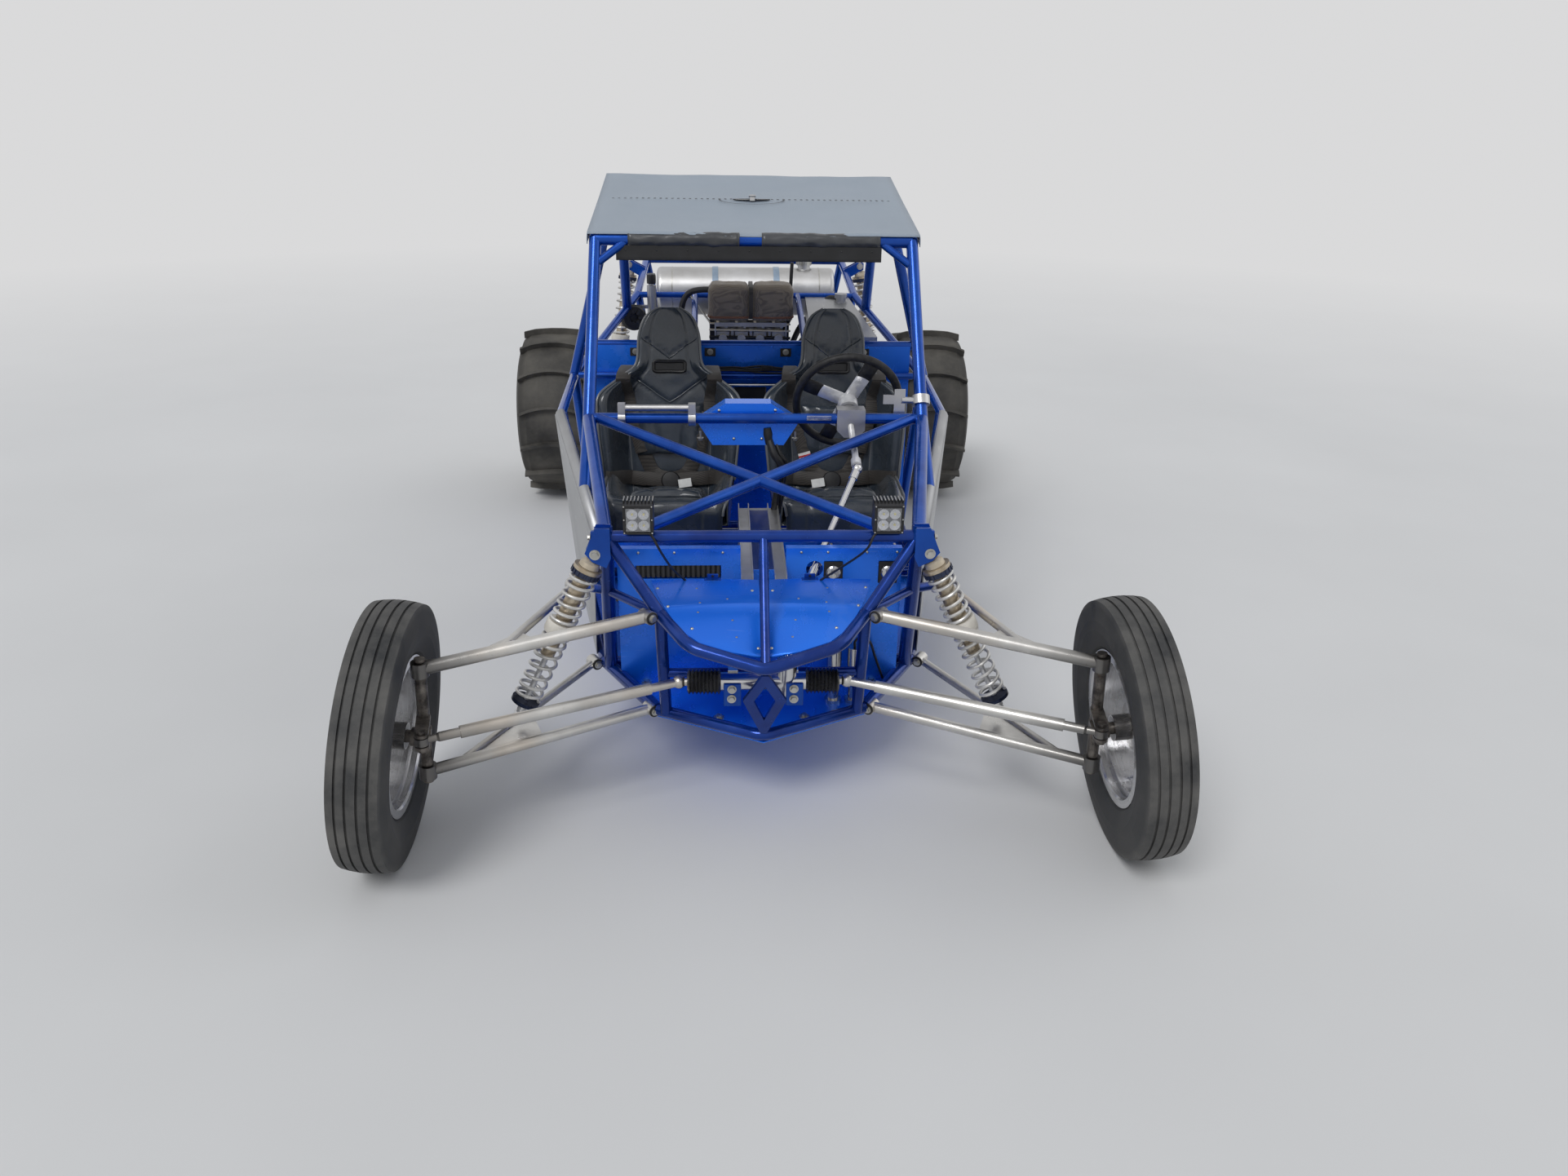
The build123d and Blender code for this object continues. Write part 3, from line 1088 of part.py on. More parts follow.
# Exhaust: four bent headers from the back of the head into one silencer across the bay.
HEADER_R = 18
HEADER_X = (-114, -38, 38, 114)
HEADER_BEND = 42
HEADER_DROP_Z = 655
SILENCER_R = 62
SILENCER_HALF = 205
SILENCER = rear(0, 285, 640)
SILENCER_BEVEL = 16
PORT_Z = 765
PORT_FLANGE = 10
TAIL_PIPE_X = -150
TAIL_PIPE_R = 24
TAIL_PIPE_LONG = 130
header_route = (
    (HEAD_BACK - SEAT_GAP, PORT_Z), (HEAD_BACK - 62, PORT_Z), (HEAD_BACK - 92, HEADER_DROP_Z), (340, 640),
)
with BuildPart() as exhaust:
    rod(SILENCER - Vector(SILENCER_HALF, 0, 0), SILENCER + Vector(SILENCER_HALF, 0, 0), SILENCER_R)
    chamfer(exhaust.edges().filter_by(GeomType.CIRCLE), SILENCER_BEVEL)
    tail_pipe = SILENCER + Vector(TAIL_PIPE_X, 0, -20)
    rod(tail_pipe, tail_pipe + Vector(0, TAIL_PIPE_LONG, 0), TAIL_PIPE_R)
    for across in HEADER_X:
        port = rear(across, HEAD_BACK - SEAT_GAP, PORT_Z)
        rod(port, port + Vector(0, 8, 0), HEADER_R + PORT_FLANGE)
        with BuildLine() as header_line:
            FilletPolyline(*[rear(across, ahead, up) for ahead, up in header_route], radius=HEADER_BEND)
        with BuildSketch(Plane(origin=header_line.line @ 0, z_dir=header_line.line % 0)) as header_section:
            Circle(HEADER_R)
        sweep(sections=header_section.sketch, path=header_line.line)
exhaust.part.label = "exhaust"
export_step(exhaust.part, "parts/exhaust.step")

# Fuel tank across the tail: a spun can with rounded ends, a filler neck and its cap.
TANK_R = 100
TANK_HALF = 378
TANK = rear(0, 430, 1025)
FILLER_X = 250
FILLER_R = 26
NECK_TOP = TANK_R + 14
CAP_TOP = TANK_R + 30
with BuildPart() as fuel_tank:
    rod(TANK - Vector(TANK_HALF, 0, 0), TANK + Vector(TANK_HALF, 0, 0), TANK_R)
    fillet(fuel_tank.edges().filter_by(GeomType.CIRCLE), 18)
    rod(TANK + Vector(FILLER_X, 0, TANK_R - 10), TANK + Vector(FILLER_X, 0, NECK_TOP), FILLER_R)
    rod(TANK + Vector(FILLER_X, 0, NECK_TOP - 2), TANK + Vector(FILLER_X, 0, CAP_TOP), FILLER_R + 5)
fuel_tank.part.label = "fuel_tank"
export_step(fuel_tank.part, "parts/fuel_tank.step")

STRAP_W = 25
STRAP_T = 3
STRAP_X = 130
STRAP_FOOT_HALF = 16
STRAP_REACH = 200
CUT_LEAST = 20000
with BuildPart() as tank_blank:
    for side in SIDES:
        middle = TANK + Vector(side * STRAP_X, 0, 0)
        half = Vector(STRAP_W / 2, 0, 0)
        rod(middle - half, middle + half, TANK_R + SEAT_GAP + STRAP_T)
        block(
            middle + Vector(-STRAP_W / 2, -STRAP_REACH, -STRAP_FOOT_HALF),
            middle + Vector(STRAP_W / 2, -TANK_R + 4, STRAP_FOOT_HALF),
        )
        rod(middle - half * 2, middle + half * 2, TANK_R + SEAT_GAP, mode=Mode.SUBTRACT)
strap_piece = clear_of_frame(tank_blank.part)
with BuildPart() as tank_straps:
    for piece in strap_piece.solids():
        if piece.volume > CUT_LEAST:
            add(piece)
tank_straps.part.label = "tank_straps"
export_step(tank_straps.part, "parts/tank_straps.step")

# Oil tank with a sloping top beside the left rail, and the breather can by the right one.
OIL_BACK = rear(0, 604, 0).Y
OIL_FRONT = rear(0, 1020, 0).Y
OIL_LOW = 908
OIL_SECTIONS = ((OIL_FRONT, 246, 505, 946), (OIL_BACK, 246, 426, 1034))
OIL_CAP = rear(392, 655, 1000)
BREATHER = rear(-392, 655, 965)
BREATHER_ARM = 80
# Turned pieces stacked on each other: radius, underside and top above the lowest point.
OIL_NECK = ((20, 0, 42), (26, 36, 54))
BREATHER_STACK = ((19, 0, 117), (9, 117, 127), (17, 125, 163))
with BuildPart() as oil_blank:
    for section_y, near_x, far_x, top_z in OIL_SECTIONS:
        with BuildSketch(Plane(origin=(0, section_y, 0), x_dir=(1, 0, 0), z_dir=(0, -1, 0))):
            with BuildLine():
                Polyline((near_x, OIL_LOW), (far_x, OIL_LOW), (far_x, top_z), (near_x, top_z), close=True)
            make_face()
    loft(ruled=True)
    for radius, low, high in OIL_NECK:
        rod(OIL_CAP + Vector(0, 0, low), OIL_CAP + Vector(0, 0, high), radius)
    for radius, low, high in BREATHER_STACK:
        rod(BREATHER + Vector(0, 0, low), BREATHER + Vector(0, 0, high), radius)
    block(BREATHER + Vector(-BREATHER_ARM, -12, 24), BREATHER + Vector(0, 12, 36))
oil_piece = clear_of_frame(oil_blank.part)
with BuildPart() as oil_tanks:
    for piece in oil_piece.solids():
        if piece.volume > CUT_LEAST:
            add(piece)
oil_tanks.part.label = "oil_tanks"
export_step(oil_tanks.part, "parts/oil_tanks.step")

# Bucket seats: a cushion and a back, each lofted through trough sections, on two floor runners.
SEAT_X = 290
SEAT_T = 55
SEAT_SIDE = 0.16
SEAT_RAMP = 0.12
# Cushion sections: distance back, surface height, underside height, half width, side height.
CUSHION = (
    (1005, 582, 486, 188, 2),
    (1060, 604, 446, 204, 10),
    (1240, 540, 408, 214, 58),
    (1400, 482, 384, 222, 106),
    (1520, 478, 384, 226, 118),
)
# Back sections: height, distance back of the surface, half width, wing depth.
BACK = (
    (424, 1452, 222, 108),
    (600, 1488, 234, 125),
    (740, 1516, 246, 122),
    (836, 1536, 240, 112),
    (888, 1546, 172, 56),
    (926, 1554, 118, 22),
    (1050, 1580, 104, 8),
    (1108, 1594, 84, 4),
    (1128, 1600, 50, 1),
)
RUNNER_X = 150
RUNNER_HALF = 15
RUNNER_FRONT, RUNNER_BACK = 1100, 1500
FLOOR_TOP = FLOOR_Z + SHEET


def trough(half, low, surface, rim):
    """A section with raised sides: half width, underside, surface and the height of its sides."""
    flat = half * (1 - SEAT_SIDE - SEAT_RAMP)
    ledge = half * (1 - SEAT_SIDE)
    with BuildLine() as edge:
        Polyline(
            (-half, low), (half, low), (half, surface + rim), (ledge, surface + rim), (flat, surface),
            (-flat, surface), (-ledge, surface + rim), (-half, surface + rim), close=True,
        )
    make_face(edge.edges())


for side_name, side in (("left", 1), ("right", -1)):
    with BuildPart() as seat_cushion:
        for back, surface, low, half, rim in CUSHION:
            with BuildSketch(Plane(origin=front(side * SEAT_X, back, 0), x_dir=(1, 0, 0), z_dir=(0, -1, 0))):
                trough(half, low, surface, rim)
        loft(ruled=True)
        for runner_side in SIDES:
            runner_x = side * SEAT_X + runner_side * RUNNER_X
            block(
                front(runner_x - RUNNER_HALF, RUNNER_FRONT, FLOOR_TOP + SEAT_GAP),
                front(runner_x + RUNNER_HALF, RUNNER_BACK, CUSHION[2][2] + 12),
            )
    with BuildPart() as seat_back:
        for up, back, half, rim in BACK:
            with BuildSketch(Plane(origin=front(side * SEAT_X, back, up), x_dir=(-1, 0, 0), z_dir=(0, 0, 1))):
                trough(half, -SEAT_T, 0, rim)
        loft(ruled=True)
    seated = clear_of_frame(seat_cushion.part)
    with BuildPart() as seat:
        add(seated)
        add(seat_back.part)
    seat.part.label = "seat_" + side_name
    export_step(seat.part, "parts/seat_" + side_name + ".step")

# Roof cover of coated cloth over the roof tubes, and the sun strip hung below its front edge.
COVER_T = 5
COVER_HALF = 520
COVER_LOW = 12
COVER_HIGH = 8
cover_rise = MAIN_TUBE / 2 + 1
cover_edge = cover_rise + COVER_T
cover_under = (
    (ROOF_FRONT.Y - cover_rise, ROOF_FRONT.Z - COVER_LOW),
    (ROOF_FRONT.Y - cover_rise, ROOF_FRONT.Z + COVER_HIGH),
    (ROOF_FRONT.Y - COVER_HIGH, ROOF_FRONT.Z + cover_rise),
    (ROOF_MIDDLE.Y, ROOF_MIDDLE.Z + cover_rise),
    (ROOF_REAR.Y + COVER_HIGH, ROOF_REAR.Z + cover_rise),
    (ROOF_REAR.Y + cover_rise, ROOF_REAR.Z + COVER_HIGH),
    (ROOF_REAR.Y + cover_rise, ROOF_REAR.Z - COVER_LOW),
)
cover_over = (
    (ROOF_REAR.Y + cover_edge, ROOF_REAR.Z - COVER_LOW),
    (ROOF_REAR.Y + cover_edge, ROOF_REAR.Z + COVER_LOW),
    (ROOF_REAR.Y + COVER_HIGH + 2, ROOF_REAR.Z + cover_edge),
    (ROOF_MIDDLE.Y, ROOF_MIDDLE.Z + cover_edge),
    (ROOF_FRONT.Y - COVER_HIGH - 2, ROOF_FRONT.Z + cover_edge),
    (ROOF_FRONT.Y - cover_edge, ROOF_FRONT.Z + COVER_HIGH + 2),
    (ROOF_FRONT.Y - cover_edge, ROOF_FRONT.Z - COVER_LOW),
)
with BuildPart() as cover_blank:
    with BuildSketch(Plane.YZ.offset(-COVER_HALF)):
        with BuildLine():
            Polyline(*cover_under, *cover_over, close=True)
        make_face()
    extrude(amount=2 * COVER_HALF)
cover_piece = clear_of_frame(cover_blank.part)
with BuildPart() as roof_cover:
    add(cover_piece)
roof_cover.part.label = "roof_cover"
export_step(roof_cover.part, "parts/roof_cover.step")

VISOR_LEFT, VISOR_RIGHT = 400, -433
VISOR_TOP = ROOF_FRONT.Z - MAIN_TUBE / 2 - SEAT_GAP
visor_section = (
    (-14, 0), (14, 0), (14, -4), (-8, -4), (-12, -44), (2, -48), (2, -52), (-18, -50),
)
with BuildPart() as visor_blank:
    with BuildSketch(Plane.YZ.offset(VISOR_RIGHT)):
        with BuildLine():
            Polyline(*[(ROOF_FRONT.Y + back, VISOR_TOP + up) for back, up in visor_section], close=True)
        make_face()
    extrude(amount=VISOR_LEFT - VISOR_RIGHT)
visor_piece = clear_of_frame(visor_blank.part)
with BuildPart() as roof_visor:
    add(visor_piece.solids().sort_by(SortBy.VOLUME)[-1])
roof_visor.part.label = "roof_visor"
export_step(roof_visor.part, "parts/roof_visor.step")

# Firewall and the sheet across the front of the footwell.
WALL_SIDE_GAP = 26
with BuildPart() as firewall_blank:
    block(
        Vector(-WALL_TOP.X + WALL_SIDE_GAP, WALL_TOP.Y - BRACE_TUBE / 2 - SEAT_GAP - SHEET, SILL_REAR.Z + 20),
        Vector(WALL_TOP.X - WALL_SIDE_GAP, WALL_TOP.Y - BRACE_TUBE / 2 - SEAT_GAP, WALL_TOP.Z),
    )
firewall_piece = clear_of_frame(firewall_blank.part)
with BuildPart() as firewall:
    add(firewall_piece)
firewall.part.label = "firewall"
export_step(firewall.part, "parts/firewall.step")

BULKHEAD_BACK = 450
BULKHEAD_HALF = 400
BULKHEAD_TOP = 662
BULKHEAD_FOLD = 26
CHANNEL_X = (-38, 55)
CHANNEL_W = 34
CHANNEL_H = 20
CHANNEL_Z = 598
CHANNEL_FRONT, CHANNEL_BACK = 372, 965
PEDAL_X = (206, 361)
PUSH_Z = 590
PEDAL_HOLE_R = 24
SHAFT_HOLE_R = 24
VENT_LOW, VENT_HIGH = 572, 612
VENT_X = (-350, -110)
bulkhead_y = FRONT_AXLE_Y + BULKHEAD_BACK
shaft_share = (bulkhead_y + SHEET / 2 - COLUMN_FOOT.Y) / (SHAFT_FOOT.Y - COLUMN_FOOT.Y)
shaft_through = between(COLUMN_FOOT, SHAFT_FOOT, shaft_share)
with BuildPart() as bulkhead_blank:
    block(
        Vector(-BULKHEAD_HALF, bulkhead_y, FLOOR_TOP + SEAT_GAP),
        Vector(BULKHEAD_HALF, bulkhead_y + SHEET, BULKHEAD_TOP),
    )
    block(
        Vector(-BULKHEAD_HALF, bulkhead_y, BULKHEAD_TOP - SHEET),
        Vector(BULKHEAD_HALF, bulkhead_y + BULKHEAD_FOLD, BULKHEAD_TOP),
    )
    block(
        Vector(CHANNEL_X[0] - CHANNEL_W / 2 - SEAT_GAP, bulkhead_y - 1, CHANNEL_Z - SEAT_GAP),
        Vector(CHANNEL_X[1] + CHANNEL_W / 2 + SEAT_GAP, bulkhead_y + BULKHEAD_FOLD + 1, BULKHEAD_TOP + 1),
        mode=Mode.SUBTRACT,
    )
    block(
        Vector(VENT_X[0], bulkhead_y - 1, VENT_LOW), Vector(VENT_X[1], bulkhead_y + SHEET + 1, VENT_HIGH),
        mode=Mode.SUBTRACT,
    )
    for hole_at, hole_r in (
        (Vector(PEDAL_X[0], bulkhead_y, PUSH_Z), PEDAL_HOLE_R),
        (Vector(PEDAL_X[1], bulkhead_y, PUSH_Z), PEDAL_HOLE_R),
        (Vector(shaft_through.X, bulkhead_y, shaft_through.Z), SHAFT_HOLE_R),
    ):
        rod(hole_at - Vector(0, 5, 0), hole_at + Vector(0, 10, 0), hole_r, mode=Mode.SUBTRACT)
bulkhead_piece = clear_of_frame(bulkhead_blank.part)
with BuildPart() as bulkhead:
    add(bulkhead_piece)
bulkhead.part.label = "bulkhead"
export_step(bulkhead.part, "parts/bulkhead.step")

# Two channels from the hood back between the seats, on a post that stands on the floor.
CHANNEL_WALL = 3
with BuildPart() as console:
    for across in CHANNEL_X:
        low = front(across - CHANNEL_W / 2, CHANNEL_FRONT, CHANNEL_Z)
        high = front(across + CHANNEL_W / 2, CHANNEL_BACK, CHANNEL_Z + CHANNEL_H)
        block(low, high)
        block(
            low + Vector(CHANNEL_WALL, -1, CHANNEL_WALL), high + Vector(-CHANNEL_WALL, 1, 1),
            mode=Mode.SUBTRACT,
        )
    block(
        front(CHANNEL_X[0] - CHANNEL_W / 2, CHANNEL_BACK - CHANNEL_H, FLOOR_TOP + SEAT_GAP),
        front(CHANNEL_X[1] + CHANNEL_W / 2, CHANNEL_BACK, CHANNEL_Z + CHANNEL_WALL),
    )
console.part.label = "console"
export_step(console.part, "parts/console.step")

# Pedals hung on a bar behind the footwell sheet, and the two cylinders they push.
PEDAL_BAR_BACK = 500
PEDAL_BAR_Z = 642
PEDAL_BAR_R = 9
PEDAL_BAR_PAST = (6, 26)
PAD_BACK = 556
PAD_LOW_Z = 545
PAD_W, PAD_H, PAD_T = 58, 78, 8
PAD_ROUND = 18
PEDAL_ARM_R = 7
PUSH_ROD_R = 6
HANGER_T = 6
HANGER_HALF = 14
CYLINDER_AT = ((205, 330), (262, 330))
# A cylinder's turned pieces: radius, underside and top above the floor.
CYLINDER_STACK = ((24, 0, 8), (16, 0, 118), (21, 112, 168))
with BuildPart() as pedals:
    bar_left = front(PEDAL_X[0] - PEDAL_BAR_PAST[0], PEDAL_BAR_BACK, PEDAL_BAR_Z)
    bar_right = front(PEDAL_X[1] + PEDAL_BAR_PAST[1], PEDAL_BAR_BACK, PEDAL_BAR_Z)
    rod(bar_left, bar_right, PEDAL_BAR_R)
    for hanger_x in (bar_left.X, bar_right.X - HANGER_T):
        block(
            Vector(hanger_x, bulkhead_y + SHEET + SEAT_GAP, PEDAL_BAR_Z - HANGER_HALF),
            Vector(hanger_x + HANGER_T, bar_left.Y + HANGER_T, PEDAL_BAR_Z + HANGER_HALF),
        )
    for across in PEDAL_X:
        pad = front(across, PAD_BACK, PAD_LOW_Z)
        rod(front(across, PEDAL_BAR_BACK, PEDAL_BAR_Z), pad, PEDAL_ARM_R)
        rod(front(across, BULKHEAD_BACK - 30, PUSH_Z), front(across, PAD_BACK - 30, PUSH_Z), PUSH_ROD_R)
        with BuildSketch(Plane(origin=pad, x_dir=(1, 0, 0), z_dir=(0, 1, 0.5))) as pad_outline:
            RectangleRounded(PAD_W, PAD_H, PAD_ROUND)
        extrude(to_extrude=pad_outline.sketch, amount=PAD_T)
    for across, back in CYLINDER_AT:
        foot = front(across, back, FLOOR_TOP + SEAT_GAP)
        for radius, low_z, high_z in CYLINDER_STACK:
            rod(foot + Vector(0, 0, low_z), foot + Vector(0, 0, high_z), radius)
pedals.part.label = "pedals"
export_step(pedals.part, "parts/pedals.step")

# Instrument pod behind the dash bar, hollow at the back with two round dials.
POD_DEPTH = 60
POD_WALL = 3
POD_OUTLINE = ((-95, 957), (45, 957), (132, 900), (85, 826), (-135, 826), (-182, 900))
DIAL_X = (-75, 25)
DIAL_Z = 893
DIAL_R = 34
DIAL_SUNK = 12
pod_front = Plane(origin=(0, DASH.Y + BRACE_TUBE / 2 + SEAT_GAP, 0), x_dir=(-1, 0, 0), z_dir=(0, 1, 0))
with BuildPart() as dash_pod:
    with BuildSketch(pod_front) as pod_outline:
        with BuildLine():
            Polyline(*[(-x, z) for x, z in POD_OUTLINE], close=True)
        make_face()
    extrude(to_extrude=pod_outline.sketch, amount=POD_DEPTH)
    with BuildSketch(pod_front.offset(POD_WALL)) as pod_inside:
        add(pod_outline.sketch.moved(Location((0, POD_WALL, 0))))
        offset(amount=-POD_WALL)
    extrude(to_extrude=pod_inside.sketch, amount=POD_DEPTH, mode=Mode.SUBTRACT)
    for across in DIAL_X:
        dial = Vector(across, pod_front.origin.Y + POD_WALL - 1, DIAL_Z)
        rod(dial, dial + Vector(0, POD_DEPTH - DIAL_SUNK, 0), DIAL_R)
dash_pod.part.label = "dash_pod"
export_step(dash_pod.part, "parts/dash_pod.step")

# Aluminium fittings on the dash bar and the left pillar: a grab bar and a mirror bracket.
GRAB_X = (-408, -196)
GRAB_R = 10
GRAB_RISE = 34
CLAMP_T = 9
CLAMP_HALF = 11
PILLAR_CLAMP_AT = between(DASH, ROOF_FRONT, 0.1)
PILLAR_CLAMP_HALF = 14
GRAB_AHEAD = 8
CLAMP_RISE = 14
ARM_ROD_R = 10
PLATE_HALF_T = 3
pillar_way = (ROOF_FRONT - DASH).normalized()
clamp_half = pillar_way * PILLAR_CLAMP_HALF
arm_end = PILLAR_CLAMP_AT + Vector(-62, -10, 4)
with BuildPart() as fittings_blank:
    grab_line = [Vector(across, DASH.Y - GRAB_AHEAD, DASH.Z + GRAB_RISE) for across in GRAB_X]
    rod(grab_line[0], grab_line[1], GRAB_R)
    for across in GRAB_X:
        rod(
            Vector(across - CLAMP_HALF, DASH.Y, DASH.Z), Vector(across + CLAMP_HALF, DASH.Y, DASH.Z),
            BRACE_TUBE / 2 + CLAMP_T,
        )
        block(
            Vector(across - CLAMP_HALF, DASH.Y - 20, DASH.Z),
            Vector(across + CLAMP_HALF, DASH.Y + 4, DASH.Z + GRAB_RISE + CLAMP_RISE),
        )
    rod(PILLAR_CLAMP_AT - clamp_half, PILLAR_CLAMP_AT + clamp_half, MAIN_TUBE / 2 + CLAMP_T)
    rod(PILLAR_CLAMP_AT, arm_end, ARM_ROD_R)
    block(arm_end + Vector(-22, -PLATE_HALF_T, -52), arm_end + Vector(12, PLATE_HALF_T, 34))
    block(arm_end + Vector(-56, -PLATE_HALF_T, -12), arm_end + Vector(-20, PLATE_HALF_T, 16))
fittings_piece = clear_of_frame(fittings_blank.part)
with BuildPart() as bar_fittings:
    add(fittings_piece)
bar_fittings.part.label = "bar_fittings"
export_step(bar_fittings.part, "parts/bar_fittings.step")

# Diamond of flat bar from the nose hoop down to the front floor tube, the towing point.
TOW_HALF = 56
TOW_TIP = 8
TOW_BAR = 26
TOW_T = 10
tow_top = NOSE_TOP - Vector(0, 0, NOSE_TUBE / 2 - 3)
tow_foot = NOSE_LOW + Vector(0, -2, BRACE_TUBE / 2 - 3)
tow_middle = between(tow_top, tow_foot, 0.42)
tow_plane = Plane(origin=tow_middle, x_dir=(1, 0, 0), z_dir=Vector(1, 0, 0).cross(tow_top - tow_foot))
tow_up = (tow_top - tow_middle).length
tow_down = (tow_foot - tow_middle).length
with BuildPart() as tow_blank:
    with BuildSketch(tow_plane) as tow_outline:
        with BuildLine():
            Polyline(
                (-TOW_TIP, tow_up), (TOW_TIP, tow_up), (TOW_HALF, 0), (TOW_TIP, -tow_down),
                (-TOW_TIP, -tow_down), (-TOW_HALF, 0), close=True,
            )
        make_face()
        offset(amount=-TOW_BAR, mode=Mode.SUBTRACT)
    extrude(to_extrude=tow_outline.sketch, amount=TOW_T / 2, both=True)
tow_piece = clear_of_frame(tow_blank.part)
with BuildPart() as tow_bracket:
    add(tow_piece.solids().sort_by(SortBy.VOLUME)[-1])
tow_bracket.part.label = "tow_bracket"
export_step(tow_bracket.part, "parts/tow_bracket.step")

# Side panels from the hip tubes down to the sills, in two triangles that meet on a fold.
PANEL_T = 2
PANEL_LEAST = 50000
SIDE_SKIN = (
    between(HIP_FRONT, HIP_CORNER, 0.1), HIP_CORNER, SILL_MIDDLE, between(LOW_REAR, SILL_MIDDLE, 0.08),
)
side_pieces = []
for side in SIDES:
    hip_fore, hip_aft, sill_aft, sill_fore = [flip(point, side) for point in SIDE_SKIN]
    with BuildPart() as side_blank:
        for corner_set in ((hip_fore, hip_aft, sill_fore), (hip_aft, sill_aft, sill_fore)):
            outward = (corner_set[1] - corner_set[0]).cross(corner_set[2] - corner_set[0]).normalized()
            if outward.X * side < 0:
                corner_set = (corner_set[0], corner_set[2], corner_set[1])
                outward = outward * -1
            plate([corner + outward * (MAIN_TUBE / 2 + SEAT_GAP) for corner in corner_set], PANEL_T)
    side_pieces.append(clear_of_frame(side_blank.part))
with BuildPart() as side_panels:
    for piece in side_pieces:
        for solid in piece.solids():
            if solid.volume > PANEL_LEAST:
                add(solid)
side_panels.part.label = "side_panels"
export_step(side_panels.part, "parts/side_panels.step")

TAIL_FLOOR = RAIL_END.Z + BRACE_TUBE / 2 + SEAT_GAP
TAIL_RIGHT, TAIL_LEFT = -300, 405
TAIL_FRONT, TAIL_BACK = 250, 110
with BuildPart() as tail_panel:
    block(rear(TAIL_RIGHT, TAIL_FRONT, TAIL_FLOOR), rear(TAIL_LEFT, TAIL_BACK, TAIL_FLOOR + SHEET))
tail_panel.part.label = "tail_panel"
export_step(tail_panel.part, "parts/tail_panel.step")

# Lamps on the light bar: a square pod with a sunk face, cooling fins and a foot on the bar.
LAMP_X = 318
LAMP_HALF = 38
LAMP_FACE = 32
LAMP_RISE = 62
LAMP_FINS = 9
LAMP_FIN_T = 3
FOOT_HALF = 20
LAMP_FRONT, LAMP_BACK = -30, 4
LAMP_SUNK = 4
FIN_BACK = 24
with BuildPart() as lamps:
    for side in SIDES:
        at = Vector(side * LAMP_X, BAR_MIDDLE.Y - 20, BAR_MIDDLE.Z + LAMP_RISE)
        block(at + Vector(-LAMP_HALF, LAMP_FRONT, -LAMP_HALF), at + Vector(LAMP_HALF, LAMP_BACK, LAMP_HALF))
        block(
            at + Vector(-LAMP_FACE, LAMP_FRONT - 1, -LAMP_FACE),
            at + Vector(LAMP_FACE, LAMP_FRONT + LAMP_SUNK, LAMP_FACE),
            mode=Mode.SUBTRACT,
        )
        block(at + Vector(-LAMP_FACE + 4, 3, -LAMP_FACE + 4), at + Vector(LAMP_FACE - 4, 12, LAMP_FACE - 4))
        for fin in range(LAMP_FINS):
            fin_x = (fin - (LAMP_FINS - 1) / 2) * (2 * LAMP_HALF - LAMP_FIN_T) / (LAMP_FINS - 1)
            block(
                at + Vector(fin_x - LAMP_FIN_T / 2, -10, -LAMP_FACE),
                at + Vector(fin_x + LAMP_FIN_T / 2, FIN_BACK, LAMP_HALF + 7),
            )
        foot_low = -LAMP_RISE + BRACE_TUBE / 2 + SEAT_GAP
        block(at + Vector(-FOOT_HALF, 2, foot_low), at + Vector(FOOT_HALF, FOOT_HALF, -LAMP_HALF + 10))
lamps.part.label = "lamps"
export_step(lamps.part, "parts/lamps.step")
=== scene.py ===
"""Two-seat sand buggy in studio light: finishes, soft goods, springs, lamps, hoses and fixings.

Metres. +Z is up, +Y runs to the rear, +X is the vehicle's left, the driver's side.
"""
from math import cos, pi, radians, sin

import bmesh
import bpy
from mathutils import Matrix, Vector, noise


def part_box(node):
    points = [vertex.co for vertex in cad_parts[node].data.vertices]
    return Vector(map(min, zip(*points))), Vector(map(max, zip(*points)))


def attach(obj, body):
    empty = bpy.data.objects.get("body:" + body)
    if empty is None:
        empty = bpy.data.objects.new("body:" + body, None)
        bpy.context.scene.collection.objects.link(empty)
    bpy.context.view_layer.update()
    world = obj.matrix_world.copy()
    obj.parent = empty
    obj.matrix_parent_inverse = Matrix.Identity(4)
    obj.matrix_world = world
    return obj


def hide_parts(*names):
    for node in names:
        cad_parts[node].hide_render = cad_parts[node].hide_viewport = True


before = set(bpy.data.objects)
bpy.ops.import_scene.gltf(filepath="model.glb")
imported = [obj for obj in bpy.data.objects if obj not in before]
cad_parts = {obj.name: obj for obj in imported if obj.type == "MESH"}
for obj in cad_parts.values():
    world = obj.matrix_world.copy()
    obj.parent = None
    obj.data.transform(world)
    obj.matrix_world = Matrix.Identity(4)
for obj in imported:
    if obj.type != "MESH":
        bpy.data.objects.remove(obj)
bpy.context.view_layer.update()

SIDES = (1, -1)
SIDE_NAMES = {1: "left", -1: "right"}
LEFT = Vector((1, 0, 0))
BACK = Vector((0, 1, 0))
UP = Vector((0, 0, 1))
AHEAD = -BACK


def middle(node):
    """The middle of a node's box."""
    low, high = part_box(node)
    return (low + high) / 2


FRONT_Y = middle("tyre_front_left").y
REAR_Y = middle("tyre_rear_left").y


def front(across, back, up):
    """A point measured back from the front axle."""
    return Vector((across, FRONT_Y + back, up))


def rear(across, ahead, up):
    """A point measured ahead from the rear axle."""
    return Vector((across, REAR_Y - ahead, up))


def flip(point, side):
    """The same point on the chosen side."""
    return Vector((point.x * side, point.y, point.z))


def shift(point, across=0.0, back=0.0, up=0.0):
    """The point moved along the axes."""
    return point + Vector((across, back, up))


def mix(start, end, share):
    """The point at a share of the way from start to end."""
    return start + (end - start) * share


def smooth_step(low, high, value):
    """Rises from 0 to 1 as value goes from low to high."""
    share = min(1.0, max(0.0, (value - low) / (high - low)))
    return share * share * (3 - 2 * share)


def polar(first, second, angle):
    """The direction at an angle from first towards second."""
    return first * cos(angle) + second * sin(angle)


def spin(degrees, axis):
    """A turn about one axis."""
    return Matrix.Rotation(radians(degrees), 3, axis)


